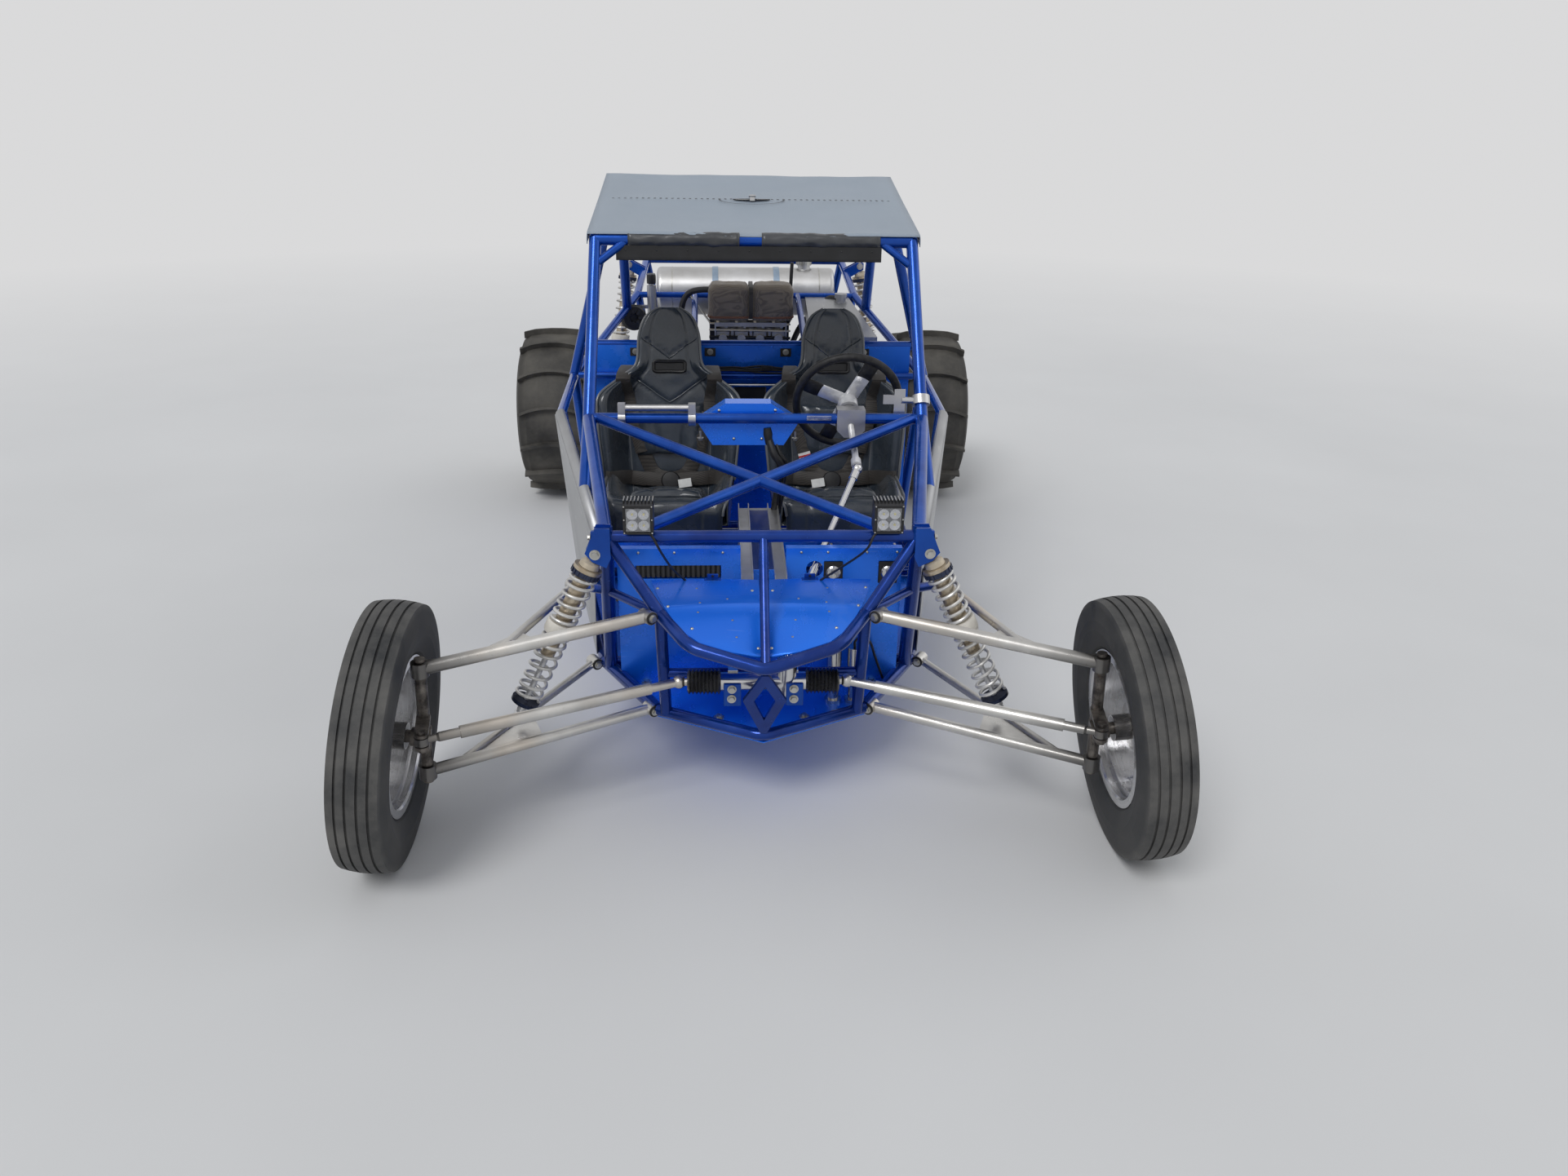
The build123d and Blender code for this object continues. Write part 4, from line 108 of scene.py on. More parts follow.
def paler(colour, factor, lift):
    """A lighter version of a colour."""
    return tuple(min(1.0, channel * factor + lift) for channel in colour)


# Materials. Each is a node tree on the object's own coordinates, so nothing slides in a pose.


class Finish:
    """A material being built: its node tree and its principled shader."""

    def __init__(self, name, **values):
        self.material = bpy.data.materials.new(name)
        self.material.use_nodes = True
        self.tree = self.material.node_tree
        self.shader = self.tree.nodes["Principled BSDF"]
        self.place = self.tree.nodes.new("ShaderNodeTexCoord").outputs["Object"]
        for socket, value in values.items():
            self.set(self.shader, socket.replace("_", " "), value)

    def set(self, node, socket, value):
        """Sets a socket to a value, or links it."""
        target = node.inputs[socket]
        if isinstance(value, bpy.types.NodeSocket):
            self.tree.links.new(value, target)
        elif isinstance(value, tuple) and len(value) == 3 and target.type == "RGBA":
            target.default_value = (*value, 1)
        else:
            target.default_value = value

    def node(self, kind, output=0, props=None, **values):
        """Adds a node and returns one of its outputs; i0, i1 and so on name inputs by their place."""
        made = self.tree.nodes.new("ShaderNode" + kind)
        for name, value in (props or {}).items():
            setattr(made, name, value)
        for socket, value in values.items():
            numbered = socket[0] == "i" and socket[1:].isdigit()
            self.set(made, int(socket[1:]) if numbered else socket.replace("_", " "), value)
        return made.outputs[output]

    def vector(self, operation, output=0, **values):
        """A step of vector arithmetic."""
        return self.node("VectorMath", output, props={"operation": operation}, **values)

    def math(self, operation, first, second=0.0):
        """A step of arithmetic."""
        return self.node("Math", props={"operation": operation}, i0=first, i1=second)

    def times(self, first, second):
        """The product of two values."""
        return self.math("MULTIPLY", first, second)

    def stretched(self, x=1.0, y=1.0, z=1.0):
        """The object's coordinates, scaled on each axis."""
        return self.node("Mapping", Vector=self.place, Scale=(x, y, z))

    def noise(self, scale, detail=4.0, rough=0.55, place=None):
        """A noise value from 0 to 1."""
        return self.node("TexNoise", Vector=place or self.place, Scale=scale, Detail=detail, Roughness=rough)

    def cells(self, scale):
        """Distance to the nearest of scattered points."""
        return self.node("TexVoronoi", Vector=self.place, Scale=scale)

    def span(self, value, low, high, start=0.0, end=1.0):
        """Maps a value's range, clamped, to another."""
        return self.node("MapRange", Value=value, From_Min=low, From_Max=high, To_Min=start, To_Max=end)

    def patch(self, texture, low, high, start=0.0, end=1.0):
        """Patches of noise, as a value; texture holds the noise's scale, detail, roughness and place."""
        return self.span(self.noise(*texture), low, high, start, end)

    def blend(self, share, first, second):
        """Mixes two colours."""
        return self.node("Mix", 2, props={"data_type": "RGBA"}, i0=share, i6=first, i7=second)

    def mottle(self, texture, low, high, first, second):
        """Two colours in patches of noise."""
        return self.blend(self.patch(texture, low, high), first, second)

    def stain(self, colour, share, amount, over):
        """Lays a colour over another where share is high, at most by amount."""
        return self.blend(self.times(share, amount), colour, over)

    def bump(self, height, strength, distance):
        """Adds a bump to the shader."""
        made = self.tree.nodes.new("ShaderNodeBump")
        for socket, value in (("Height", height), ("Strength", strength), ("Distance", distance)):
            self.set(made, socket, value)
        chained = self.shader.inputs["Normal"]
        if chained.is_linked:
            self.tree.links.new(chained.links[0].from_socket, made.inputs["Normal"])
        self.tree.links.new(made.outputs["Normal"], chained)

    def grain(self, texture, strength, distance):
        """Adds a bump of noise to the shader."""
        self.bump(self.noise(*texture), strength, distance)

    def around(self, centre, axis, mirrored=False):
        """Distance along an axis and from it, for zones on turned pieces."""
        place = self.place
        if mirrored:
            sign = (1, -1 if centre[1] < 0 else 1, 1)
            place = self.vector("MULTIPLY", i0=self.vector("ABSOLUTE", i0=place), i1=sign)
        local = self.vector("SUBTRACT", i0=place, i1=tuple(centre))
        unit = tuple(Vector(axis).normalized())
        off = self.vector("CROSS_PRODUCT", i0=local, i1=unit)
        return self.vector("DOT_PRODUCT", 1, i0=local, i1=unit), self.vector("LENGTH", 1, i0=off)

    def turning(self, along, radius):
        """Fine turning marks round an axis, also as a bump."""
        marks = self.node("CombineXYZ", X=self.times(radius, 900.0), Y=self.times(along, 300.0))
        made = self.noise(1.0, 2.0, 0.6, marks)
        self.bump(made, 0.035, 0.0002)
        return made

    def zones(self, value, first, steps):
        """Colours that change at given values: steps are (value, colour) pairs."""
        colour = first
        for edge, following in steps:
            colour = self.blend(self.span(value, edge - 0.0004, edge + 0.0004), colour, following)
        return colour

    def facing_up(self):
        """How far the surface faces up."""
        return self.node("SeparateXYZ", 2, Vector=self.node("NewGeometry", "Normal"))

    def finish(self, colour, rough):
        """Sets the colour and the roughness and returns the material."""
        self.set(self.shader, "Base Color", colour)
        self.set(self.shader, "Roughness", rough)
        return self.material


def even(name, texture, low, high, dark, pale, grain, rough, **values):
    """A mottled finish with a grain; rough is one value, or a pair that follows the mottling."""
    f = Finish(name, **values)
    cloud = f.noise(*texture)
    if grain:
        f.grain(*grain)
    if isinstance(rough, tuple):
        rough = f.span(cloud, 0.3, 0.7, *rough)
    return f.finish(f.blend(f.span(cloud, low, high), dark, pale), rough)


def candy_blue(name, deep, bright):
    """Deep glossy blue over a metallic base, with a little dust on what faces up, and small chips."""
    f = Finish(name, Metallic=0.55, Coat_Weight=0.5, Coat_Roughness=0.05, Coat_IOR=1.36, Specular_IOR_Level=0.25)
    dust = f.times(f.span(f.facing_up(), 0.2, 1.0), f.patch((28.0, 6.0, 0.7), 0.48, 0.72))
    dusty = f.stain(f.mottle((7.0, 3.0), 0.35, 0.65, deep, bright), dust, 0.08, (0.3, 0.29, 0.27))
    f.grain((220.0, 2.0), 0.04, 0.0004)
    return f.finish(f.stain(dusty, f.span(f.cells(95.0), 0.035, 0.015), 0.5, (0.02, 0.03, 0.06)),
                    f.patch((18.0, 5.0), 0.3, 0.8, 0.18, 0.32))


def anodised_blue():
    """Bright blue sheet with smears, hairline scratches and rolling marks."""
    f = Finish("anodised_blue", Metallic=0.4, Coat_Weight=0.35, Coat_Roughness=0.16, Coat_IOR=1.36)
    sheet = f.mottle((2.2, 3.0), 0.3, 0.7, (0.004, 0.15, 0.82), (0.01, 0.2, 0.95))
    smear = f.patch((9.0, 6.0, 0.65, f.stretched(y=0.35)), 0.52, 0.7)
    scratch = f.patch((60.0, 3.0, 0.8, f.stretched(0.06, 1.5)), 0.66, 0.7)
    f.grain((1.6, 1.0), 0.18, 0.004)
    dusty = f.stain(sheet, smear, 0.1, (0.3, 0.38, 0.52))
    return f.finish(f.stain(dusty, scratch, 0.18, (0.4, 0.56, 0.85)), f.span(smear, 0.0, 1.0, 0.26, 0.38))


def bare_steel():
    """Bare welded tube, warm and streaked, darker towards the outer ends near the wheels: partly grease and soot,
    partly painted shade and a painted reflection of the tyres.
    """
    f = Finish("bare_steel", Metallic=1.0)
    steel = f.mottle((5.0, 5.0), 0.35, 0.7, (0.47, 0.46, 0.445), (0.7, 0.69, 0.665))
    warm = f.stain(steel, f.patch((3.0, 3.0), 0.5, 0.68), 0.4, (0.56, 0.43, 0.29))
    rusty = f.stain(warm, f.patch((140.0, 5.0, 0.7), 0.64, 0.73), 0.55, (0.15, 0.07, 0.035))
    out = f.math("ABSOLUTE", f.node("SeparateXYZ", Vector=f.place))
    f.grain((420.0, 2.0, 0.6, f.stretched(0.2)), 0.1, 0.0004)
    # Towards the outer ends the steel darkens: partly grime, partly painted shade and a painted reflection of the
    # tyres.
    return f.finish(f.stain(rusty, f.span(out, 0.66, 0.84), 0.8, (0.07, 0.066, 0.064)),
                    f.patch((26.0, 6.0), 0.3, 0.75, 0.26, 0.46))


def polished_alloy(name, pale, grey, smooth):
    """Polished aluminium with faint cloudy oxide and handling marks."""
    f = Finish(name, Metallic=1.0)
    metal = f.mottle((6.0, 5.0, 0.6), 0.4, 0.7, (pale, pale, pale * 1.01), (grey, grey * 0.99, grey * 0.97))
    f.grain((520.0, 2.0), 0.04, 0.0003)
    return f.finish(metal, f.patch((34.0, 6.0), 0.35, 0.75, smooth, smooth + 0.14))


def spun_rim(name, centre, axis):
    """Polished spun rim: fine turning marks, a duller hub and patches of brake dust."""
    f = Finish(name, Metallic=1.0)
    along, radius = f.around(centre, axis, mirrored=True)
    metal = f.blend(f.span(f.turning(along, radius), 0.35, 0.65), (0.56, 0.56, 0.57), (0.66, 0.66, 0.67))
    hub = f.zones(radius, (0.18, 0.175, 0.17), ((0.03, (0.42, 0.41, 0.4)), (0.066, metal)))
    dusty = f.stain(hub, f.patch((20.0, 6.0, 0.7), 0.52, 0.76), 0.28, (0.2, 0.18, 0.15))
    return f.finish(dusty, f.patch((30.0, 4.0), 0.3, 0.7, 0.16, 0.3))


def rear_wheel_finish(centre):
    """The rear rim's finish, changing to greasy steel on the hub, disc and half shaft inboard."""
    f = Finish("rear_rim", Metallic=1.0)
    along, radius = f.around(centre, LEFT, mirrored=True)
    turning = f.turning(along, radius)
    metal = f.blend(f.span(turning, 0.35, 0.65), (0.54, 0.54, 0.55), (0.64, 0.64, 0.65))
    disc = f.blend(f.span(turning, 0.3, 0.7), (0.4, 0.4, 0.4), (0.56, 0.56, 0.56))
    steel = f.mottle((30.0, 5.0, 0.7), 0.4, 0.66, (0.1, 0.095, 0.09), (0.36, 0.35, 0.33))
    colour = f.blend(f.span(along, -0.15, -0.146), f.zones(radius, steel, ((0.05, disc),)),
                     f.zones(radius, steel, ((0.071, metal),)))
    return f.finish(colour, f.patch((30.0, 4.0), 0.3, 0.7, 0.2, 0.36))


def damper_finish(name, top, foot, split):
    """One finish in zones along a damper: body, spacer, shaft and lower seat."""
    f = Finish(name, Metallic=0.75)
    along, _ = f.around(top, foot - top, mirrored=True)
    length = (foot - top).length
    tan, ring, cream, chrome = (f.mottle((scale, detail), 0.4, 0.7, dark, pale) for scale, detail, dark, pale in (
        (40.0, 4.0, (0.44, 0.36, 0.26), (0.56, 0.5, 0.4)), (60.0, 3.0, (0.01, 0.016, 0.04), (0.03, 0.04, 0.085)),
        (50.0, 4.0, (0.5, 0.48, 0.43), (0.66, 0.64, 0.6)), (50.0, 4.0, (0.7, 0.7, 0.71), (0.56, 0.56, 0.57))))
    colour = f.zones(along, tan, (
        (split * length - 0.01, cream), (split * length + 0.01, tan),
        (length * 0.62 - 0.002, chrome), (length - 0.053, ring), (length - 0.03, chrome),
    ))
    f.grain((260.0, 3.0), 0.1, 0.0004)
    return f.finish(colour, f.patch((30.0, 4.0), 0.3, 0.7, 0.24, 0.42))


def wheel_finish(centre, axis):
    """Steering wheel: black grip and spoke ends, bright spokes, hub and column."""
    f = Finish("steering_wheel_finish", Metallic=0.35)
    along, radius = f.around(centre, axis)
    black, silver, dark_hub = (f.mottle((scale, 4.0), 0.4, 0.7, dark, pale) for scale, dark, pale in (
        (60.0, (0.01, 0.01, 0.011), (0.026, 0.026, 0.028)), (30.0, (0.62, 0.62, 0.63), (0.8, 0.8, 0.81)),
        (60.0, (0.03, 0.03, 0.032), (0.06, 0.06, 0.062))))
    colour = f.zones(radius, dark_hub, ((0.0225, silver), (0.098, black)))
    f.bump(f.cells(600.0), 0.12, 0.0004)
    return f.finish(f.blend(f.span(along, 0.0455, 0.0465), colour, silver), f.span(radius, 0.097, 0.099, 0.24, 0.52))


def hot_steel():
    """Exhaust pipe: straw, brown and blue tints of heated steel."""
    f = Finish("hot_steel", Metallic=0.9)
    tint = f.noise(6.0)
    straw = f.blend(f.span(tint, 0.36, 0.5), (0.36, 0.29, 0.2), (0.24, 0.17, 0.12))
    blued = f.blend(f.span(tint, 0.54, 0.66), straw, (0.13, 0.13, 0.17))
    f.grain((180.0,), 0.14, 0.0006)
    rusty = f.stain(blued, f.patch((70.0, 6.0, 0.7), 0.56, 0.7), 0.45, (0.12, 0.055, 0.025))
    return f.finish(rusty, f.span(tint, 0.3, 0.7, 0.3, 0.5))


def worn_sheet():
    """Dull aluminium sheet with scuffs."""
    f = Finish("worn_sheet", Metallic=0.9)
    cloud = f.noise(4.0, 5.0)
    metal = f.blend(f.span(cloud, 0.35, 0.7), (0.36, 0.365, 0.375), (0.5, 0.505, 0.515))
    scuff = f.patch((45.0, 4.0, 0.7, f.stretched(y=0.12)), 0.6, 0.68)
    f.grain((3.0, 2.0), 0.2, 0.004)
    return f.finish(f.stain(metal, scuff, 0.3, (0.66, 0.66, 0.66)), f.span(cloud, 0.3, 0.7, 0.34, 0.52))


def black_iron(name, dark, pale, metallic):
    """Oily casting, mottled dark and pale, with a fine grain."""
    return even(name, (16.0, 6.0, 0.65), 0.35, 0.7, (dark, dark * 0.96, dark * 0.92), (pale, pale * 0.94, pale * 0.88),
                ((130.0,), 0.3, 0.0012), (0.34, 0.58), Metallic=metallic)


def knuckle_iron():
    """Grey-brown steering iron at the hubs."""
    f = Finish("knuckle_iron", Metallic=0.7)
    metal = f.mottle((24.0, 6.0, 0.65), 0.38, 0.66, (0.05, 0.045, 0.042), (0.26, 0.235, 0.21))
    f.grain((160.0,), 0.25, 0.001)
    return f.finish(f.stain(metal, f.patch((60.0, 5.0, 0.7), 0.58, 0.7), 0.5, (0.13, 0.06, 0.03)), 0.42)


def tyre_rubber(name, dark, dusty, centre, axis, crown_from):
    """Black rubber greyed by dust and scuffing, paler on the tread than on the walls; darker down in the tread's
    grooves, which is painted shade.
    """
    f = Finish(name)
    cloud = f.noise(6.0, 6.0, 0.62)
    _, radius = f.around(centre, axis, mirrored=True)
    # Full dust and wear on the outer tread, less on the walls and down in the grooves: real wear on the tread, painted
    # shade in the grooves.
    crown = f.span(radius, crown_from, crown_from + 0.016, 0.45, 1.0)
    rubber = f.stain(dark, f.times(f.span(cloud, 0.3, 0.64), crown), 0.85, dusty)
    f.grain((260.0, 4.0, 0.65), 0.35, 0.001)
    f.grain((30.0,), 0.12, 0.002)
    return f.finish(f.stain(rubber, f.patch((170.0, 5.0, 0.7), 0.6, 0.74), 0.22, dusty),
                    f.span(cloud, 0.3, 0.7, 0.6, 0.82))


def black_plastic(name, colour, rough):
    """Satin moulding with a fine grain."""
    return even(name, (20.0,), 0.4, 0.75, colour, paler(colour, 1.9, 0.004), ((700.0, 2.0), 0.15, 0.0003),
                (rough, rough + 0.16))


def vinyl(name, colour, shine):
    """Grained seat vinyl with soft creases and a thin film of dust."""
    f = Finish(name, Sheen_Weight=0.08, Sheen_Roughness=0.5, Coat_Weight=0.5, Coat_Roughness=0.2)
    cloud = f.noise(5.0)
    skin = f.blend(f.span(cloud, 0.35, 0.72), colour, paler(colour, 1.6, 0.004))
    f.bump(f.cells(420.0), 0.16, 0.0006)
    f.grain((9.0, 3.0), 0.3, 0.006)
    return f.finish(f.stain(skin, f.patch((13.0, 6.0, 0.7), 0.5, 0.74), 0.1, (0.22, 0.22, 0.22)),
                    f.span(cloud, 0.3, 0.7, shine, shine + 0.14))


def woven(name, thread, gap, scale, sheen, rough):
    """Plain weave: two crossing waves, with slubs and faded patches."""
    f = Finish(name, Sheen_Weight=sheen, Sheen_Roughness=0.4)
    warp, weft = (f.node("TexWave", props={"bands_direction": way}, Vector=f.place, Scale=scale, Distortion=0.6)
                  for way in "XY")
    weave = f.times(warp, weft)
    tired = f.stain(thread, f.patch((3.5, 6.0, 0.6), 0.35, 0.72), 0.35, paler(thread, 1.45, 0.03))
    f.bump(weave, 0.35, 0.0008)
    f.grain((12.0,), 0.25, 0.004)
    return f.finish(f.blend(f.span(weave, 0.05, 0.6), gap, tired), rough)


def plain_paint(name, colour, rough, metallic=0.0):
    """Small painted or plated piece with slight unevenness."""
    return even(name, (22.0,), 0.4, 0.7, colour, paler(colour, 1.25, 0.01), ((240.0, 3.0), 0.1, 0.0004), rough,
                Metallic=metallic)


FRONT_SHOCK_TOP = front(0.432, 0.222, 0.742)
FRONT_SHOCK_FOOT = front(0.655, 0.19, 0.286)
REAR_SHOCK_TOP = rear(0.506, 0.3, 1.118)
REAR_SHOCK_FOOT = rear(0.612, 0.372, 0.412)
# Where a damper's two springs meet, as a share of its length.
SPLIT = 0.45
CAMBER = radians(6)
FRONT_AXIS = (cos(CAMBER), 0, sin(CAMBER))
# Where a tyre's tread begins, from its axis.
FRONT_CROWN = 0.316
REAR_CROWN = 0.345
REAR_RIM_CENTRE = Vector((0.8775, REAR_Y, 0.388))
WHEEL_CENTRE = front(0.288, 1.0, 0.943)
COLUMN_TILT = radians(20)
COLUMN = Vector((0, -cos(COLUMN_TILT), -sin(COLUMN_TILT)))

M = {
    "candy": candy_blue("candy_blue", (0.002, 0.05, 0.31), (0.004, 0.076, 0.42)),
    # The same candy paint made darker for the low frame at the nose and floor: painted shade.
    "deep": candy_blue("candy_blue_painted_shade", (0.003, 0.026, 0.19), (0.005, 0.046, 0.29)),
    "panel": anodised_blue(),
    "steel": bare_steel(),
    "alloy": polished_alloy("polished_alloy", 0.66, 0.5, 0.16),
    "tank": polished_alloy("tank_alloy", 0.6, 0.48, 0.36),
    "chrome": polished_alloy("chrome", 0.74, 0.66, 0.08),
    "satin": polished_alloy("satin_alloy", 0.56, 0.47, 0.3),
    "rim_front": spun_rim("front_rim", middle("rim_front_left"), FRONT_AXIS),
    "rim_rear": rear_wheel_finish(REAR_RIM_CENTRE),
    "damper_front": damper_finish("front_damper", FRONT_SHOCK_TOP, FRONT_SHOCK_FOOT, SPLIT),
    "damper_rear": damper_finish("rear_damper", REAR_SHOCK_TOP, REAR_SHOCK_FOOT, SPLIT),
    "wheel": wheel_finish(WHEEL_CENTRE, COLUMN),
    "exhaust": hot_steel(),
    "sheet": worn_sheet(),
    "spring": even("spring_steel", (40.0,), 0.35, 0.7, (0.56, 0.55, 0.53), (0.74, 0.73, 0.71),
                   ((300.0, 2.0), 0.08, 0.0004), (0.28, 0.42), Metallic=0.5),
    "iron": black_iron("black_iron", 0.02, 0.07, 0.55),
    "case": black_iron("engine_case", 0.045, 0.13, 0.7),
    "carb": plain_paint("carburettor_metal", (0.46, 0.43, 0.37), 0.38, 0.25),
    "brass": plain_paint("brass_fittings", (0.74, 0.64, 0.44), 0.32, 0.35),
    "bellows": black_plastic("bellows_rubber", (0.024, 0.024, 0.026), 0.18),
    "ring": plain_paint("adjuster_ring", (0.02, 0.028, 0.062), 0.34, 0.4),
    "cap": plain_paint("damper_cap", (0.46, 0.4, 0.31), 0.42, 0.45),
    "strap": plain_paint("strap_steel", (0.28, 0.36, 0.46), 0.28, 0.7),
    "knuckle": knuckle_iron(),
    "tyre_front": tyre_rubber("ribbed_rubber", (0.012, 0.014, 0.017), (0.135, 0.13, 0.122),
                              middle("tyre_front_left"), FRONT_AXIS, FRONT_CROWN),
    "tyre_rear": tyre_rubber("paddle_rubber", (0.018, 0.017, 0.016), (0.115, 0.107, 0.092),
                             middle("tyre_rear_left"), LEFT, REAR_CROWN),
    "rubber": black_plastic("black_rubber", (0.008, 0.008, 0.009), 0.42),
    "plastic": black_plastic("black_plastic", (0.006, 0.006, 0.007), 0.34),
    "vinyl": vinyl("seat_vinyl", (0.021, 0.029, 0.04), 0.2),
    "piping": vinyl("seat_piping", (0.1, 0.105, 0.11), 0.36),
    "roof": woven("roof_cloth", (0.33, 0.385, 0.45), (0.25, 0.3, 0.36), 150.0, 0.2, 0.5),
    "wrap": vinyl("roof_wrap", (0.018, 0.02, 0.024), 0.36),
    "filter": woven("filter_cloth", (0.27, 0.225, 0.175), (0.15, 0.125, 0.1), 110.0, 0.3, 0.9),
    "filter_hem": woven("filter_hem", (0.34, 0.155, 0.085), (0.16, 0.075, 0.045), 130.0, 0.2, 0.9),
    "web": woven("harness_web", (0.058, 0.05, 0.043), (0.02, 0.017, 0.015), 120.0, 0.3, 0.6),
    "lens": even("lamp_glass", (30.0,), 0.5, 0.8, (0.96, 0.97, 1.0), (0.8, 0.82, 0.84), None, 0.05,
                 Transmission_Weight=0.9, IOR=1.46),
    "chip": even("lamp_chip", (400.0,), 0.4, 0.7, (0.85, 0.72, 0.18), (0.95, 0.88, 0.45), None, 0.4),
    "zinc": plain_paint("zinc_fixings", (0.46, 0.455, 0.43), 0.32, 1.0),
    "cream": plain_paint("spring_spacer", (0.62, 0.59, 0.53), 0.5),
    "white": plain_paint("white_fitting", (0.72, 0.72, 0.7), 0.45),
    "red": plain_paint("red_tab", (0.42, 0.02, 0.015), 0.45),
}

NODE_FINISH = {
    "candy": "frame_sides frame_cage frame_roof frame_hoop frame_rear shock_towers arms_rear",
    # The low frame at the nose and floor and the tow bracket take the darker copy of the candy paint, which is painted
    # shade.
    "deep": "frame_floor frame_nose tow_bracket",
    "panel": "floor_pan hood_panels firewall dash_pod tail_panel bulkhead",
    "sheet": "side_panels oil_tanks",
    "steel": "arms_front_upper arms_front_lower rack_bar",
    "alloy": "rack_housing pedals",
    "satin": "column_bearing bar_fittings",
    "chrome": "steering_shaft",
    "tank": "fuel_tank console",
    "strap": "tank_straps",
    "rim_front": "rim_front_left rim_front_right",
    "rim_rear": "rim_rear_left rim_rear_right",
    "damper_front": "dampers_front",
    "damper_rear": "dampers_rear",
    "wheel": "steering_wheel",
    "exhaust": "exhaust",
    "spring": "springs_front springs_rear",
    "iron": "chain_drive",
    "case": "engine",
    "carb": "carburettors",
    "knuckle": "knuckle_left knuckle_right",
    "tyre_front": "tyre_front_left tyre_front_right",
    "tyre_rear": "tyre_rear_left tyre_rear_right",
    "bellows": "rack_bellows",
    "plastic": "lamps roof_visor",
    "vinyl": "seat_left seat_right",
    "roof": "roof_cover",
    "filter": "air_filters",
}
for finish_name, node_names in NODE_FINISH.items():
    for node_name in node_names.split():
        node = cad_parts[node_name]
        if not node.material_slots:
            node.data.materials.append(M[finish_name])
        for material_slot in node.material_slots:
            material_slot.material = M[finish_name]


# Mesh helpers. Vertices and faces are gathered in a shape before they become an object.


def link_object(name, data):
    """A new object in the scene."""
    made = bpy.data.objects.new(name, data)
    bpy.context.scene.collection.objects.link(made)
    return made


def square_to(along):
    """Two directions square to a third."""
    helper = UP if abs(along.z) < 0.9 else LEFT
    normal = along.cross(helper).normalized()
    return normal, along.cross(normal)


class Shape:
    """Vertices and faces gathered from several solids, with one material number per face."""

    def __init__(self):
        self.verts = []
        self.faces = []
        self.marks = []

    def add(self, verts, faces, mark=0):
        """Adds vertices and the faces between them."""
        start = len(self.verts)
        self.verts += [Vector(v) for v in verts]
        self.faces += [tuple(start + i for i in face) for face in faces]
        self.marks += [mark] * len(faces)

    def grid(self, rows, closed_rows=False, closed_cols=False, mark=0, caps=False):
        """A surface through rows of points."""
        height, width = len(rows), len(rows[0])
        faces = []
        for i in range(height if closed_rows else height - 1):
            here, below = i * width, (i + 1) % height * width
            for j in range(width if closed_cols else width - 1):
                right = (j + 1) % width
                faces.append((here + j, here + right, below + right, below + j))
        if caps:
            faces.append(tuple(range(width - 1, -1, -1)))
            faces.append(tuple((height - 1) * width + j for j in range(width)))
        self.add([point for row in rows for point in row], faces, mark)

    def tube(self, points, radius, sides=10, closed=False, mark=0):
        """A tube through points."""
        points = [Vector(p) for p in points]
        count = len(points)
        rows = []
        normal = None
        for i in range(count):
            ahead = points[(i + 1) % count] if closed or i < count - 1 else points[i]
            behind = points[i - 1] if closed or i > 0 else points[i]
            along = (ahead - behind).normalized()
            if normal is None:
                normal, _ = square_to(along)
            normal = (normal - along * normal.dot(along)).normalized()
            other = along.cross(normal)
            rows.append([points[i] + polar(normal, other, 2 * pi * k / sides) * radius for k in range(sides)])
        self.grid(rows, closed_rows=closed, closed_cols=True, mark=mark, caps=not closed)

    def lathe(self, start, axis, profile, sides=24, mark=0):
        """A turned piece: profile is (along, radius) pairs, closed at both ends."""
        along = Vector(axis).normalized()
        normal, other = square_to(along)
        ring = [polar(normal, other, 2 * pi * k / sides) for k in range(sides)]
        rows = [[Vector(start) + along * step + out * max(radius, 1e-5) for out in ring] for step, radius in profile]
        self.grid(rows, closed_cols=True, mark=mark, caps=True)

    def disc(self, start, axis, radius, height, sides=24, mark=0):
        """A plain round piece."""
        self.lathe(start, axis, [(0, radius), (height, radius)], sides, mark)

    def box(self, centre, size, turn=None, mark=0, chamfer=0.0):
        """A box, optionally with bevelled long edges, turned by a matrix."""
        half = Vector(size) / 2
        edge = min(chamfer, min(half) * 0.9)
        if edge:
            rows = []
            for z, inset in ((-half.z, edge), (edge - half.z, 0.0), (half.z - edge, 0.0), (half.z, edge)):
                x, y = half.x - inset, half.y - inset
                u, v = x - edge, y - edge
                outline = ((x, v), (u, y), (-u, y), (-x, v), (-x, -v), (-u, -y), (u, -y), (x, -v))
                rows.append([(x, y, z) for x, y in outline])
        else:
            outline = ((half.x, half.y), (-half.x, half.y), (-half.x, -half.y), (half.x, -half.y))
            rows = [[(x, y, z) for x, y in outline] for z in (-half.z, half.z)]
        turn = turn or Matrix.Identity(3)
        rows = [[Vector(centre) + turn @ Vector(point) for point in row] for row in rows]
        self.grid(rows, closed_cols=True, mark=mark, caps=True)

    def piece(self, name, finishes, slot, body="chassis", smooth=True, auto=35.0):
        """Makes the object with the named finishes, one for each mark, and lets it ride on a body."""
        mesh = bpy.data.meshes.new(name)
        mesh.from_pydata(self.verts, [], self.faces)
        mesh.validate()
        for finish_name in finishes.split():
            mesh.materials.append(M[finish_name])
        for polygon, mark in zip(mesh.polygons, self.marks):
            polygon.material_index = mark
            polygon.use_smooth = smooth
        made = link_object(name, mesh)
        if smooth:
            face_outward(made)
            if auto:
                mesh.set_sharp_from_angle(angle=radians(auto))
        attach(made, body)
        return made


def face_outward(piece):
    """Points every face outward."""
    work = bmesh.new()
    work.from_mesh(piece.data)
    bmesh.ops.recalc_face_normals(work, faces=work.faces)
    work.to_mesh(piece.data)
    work.free()


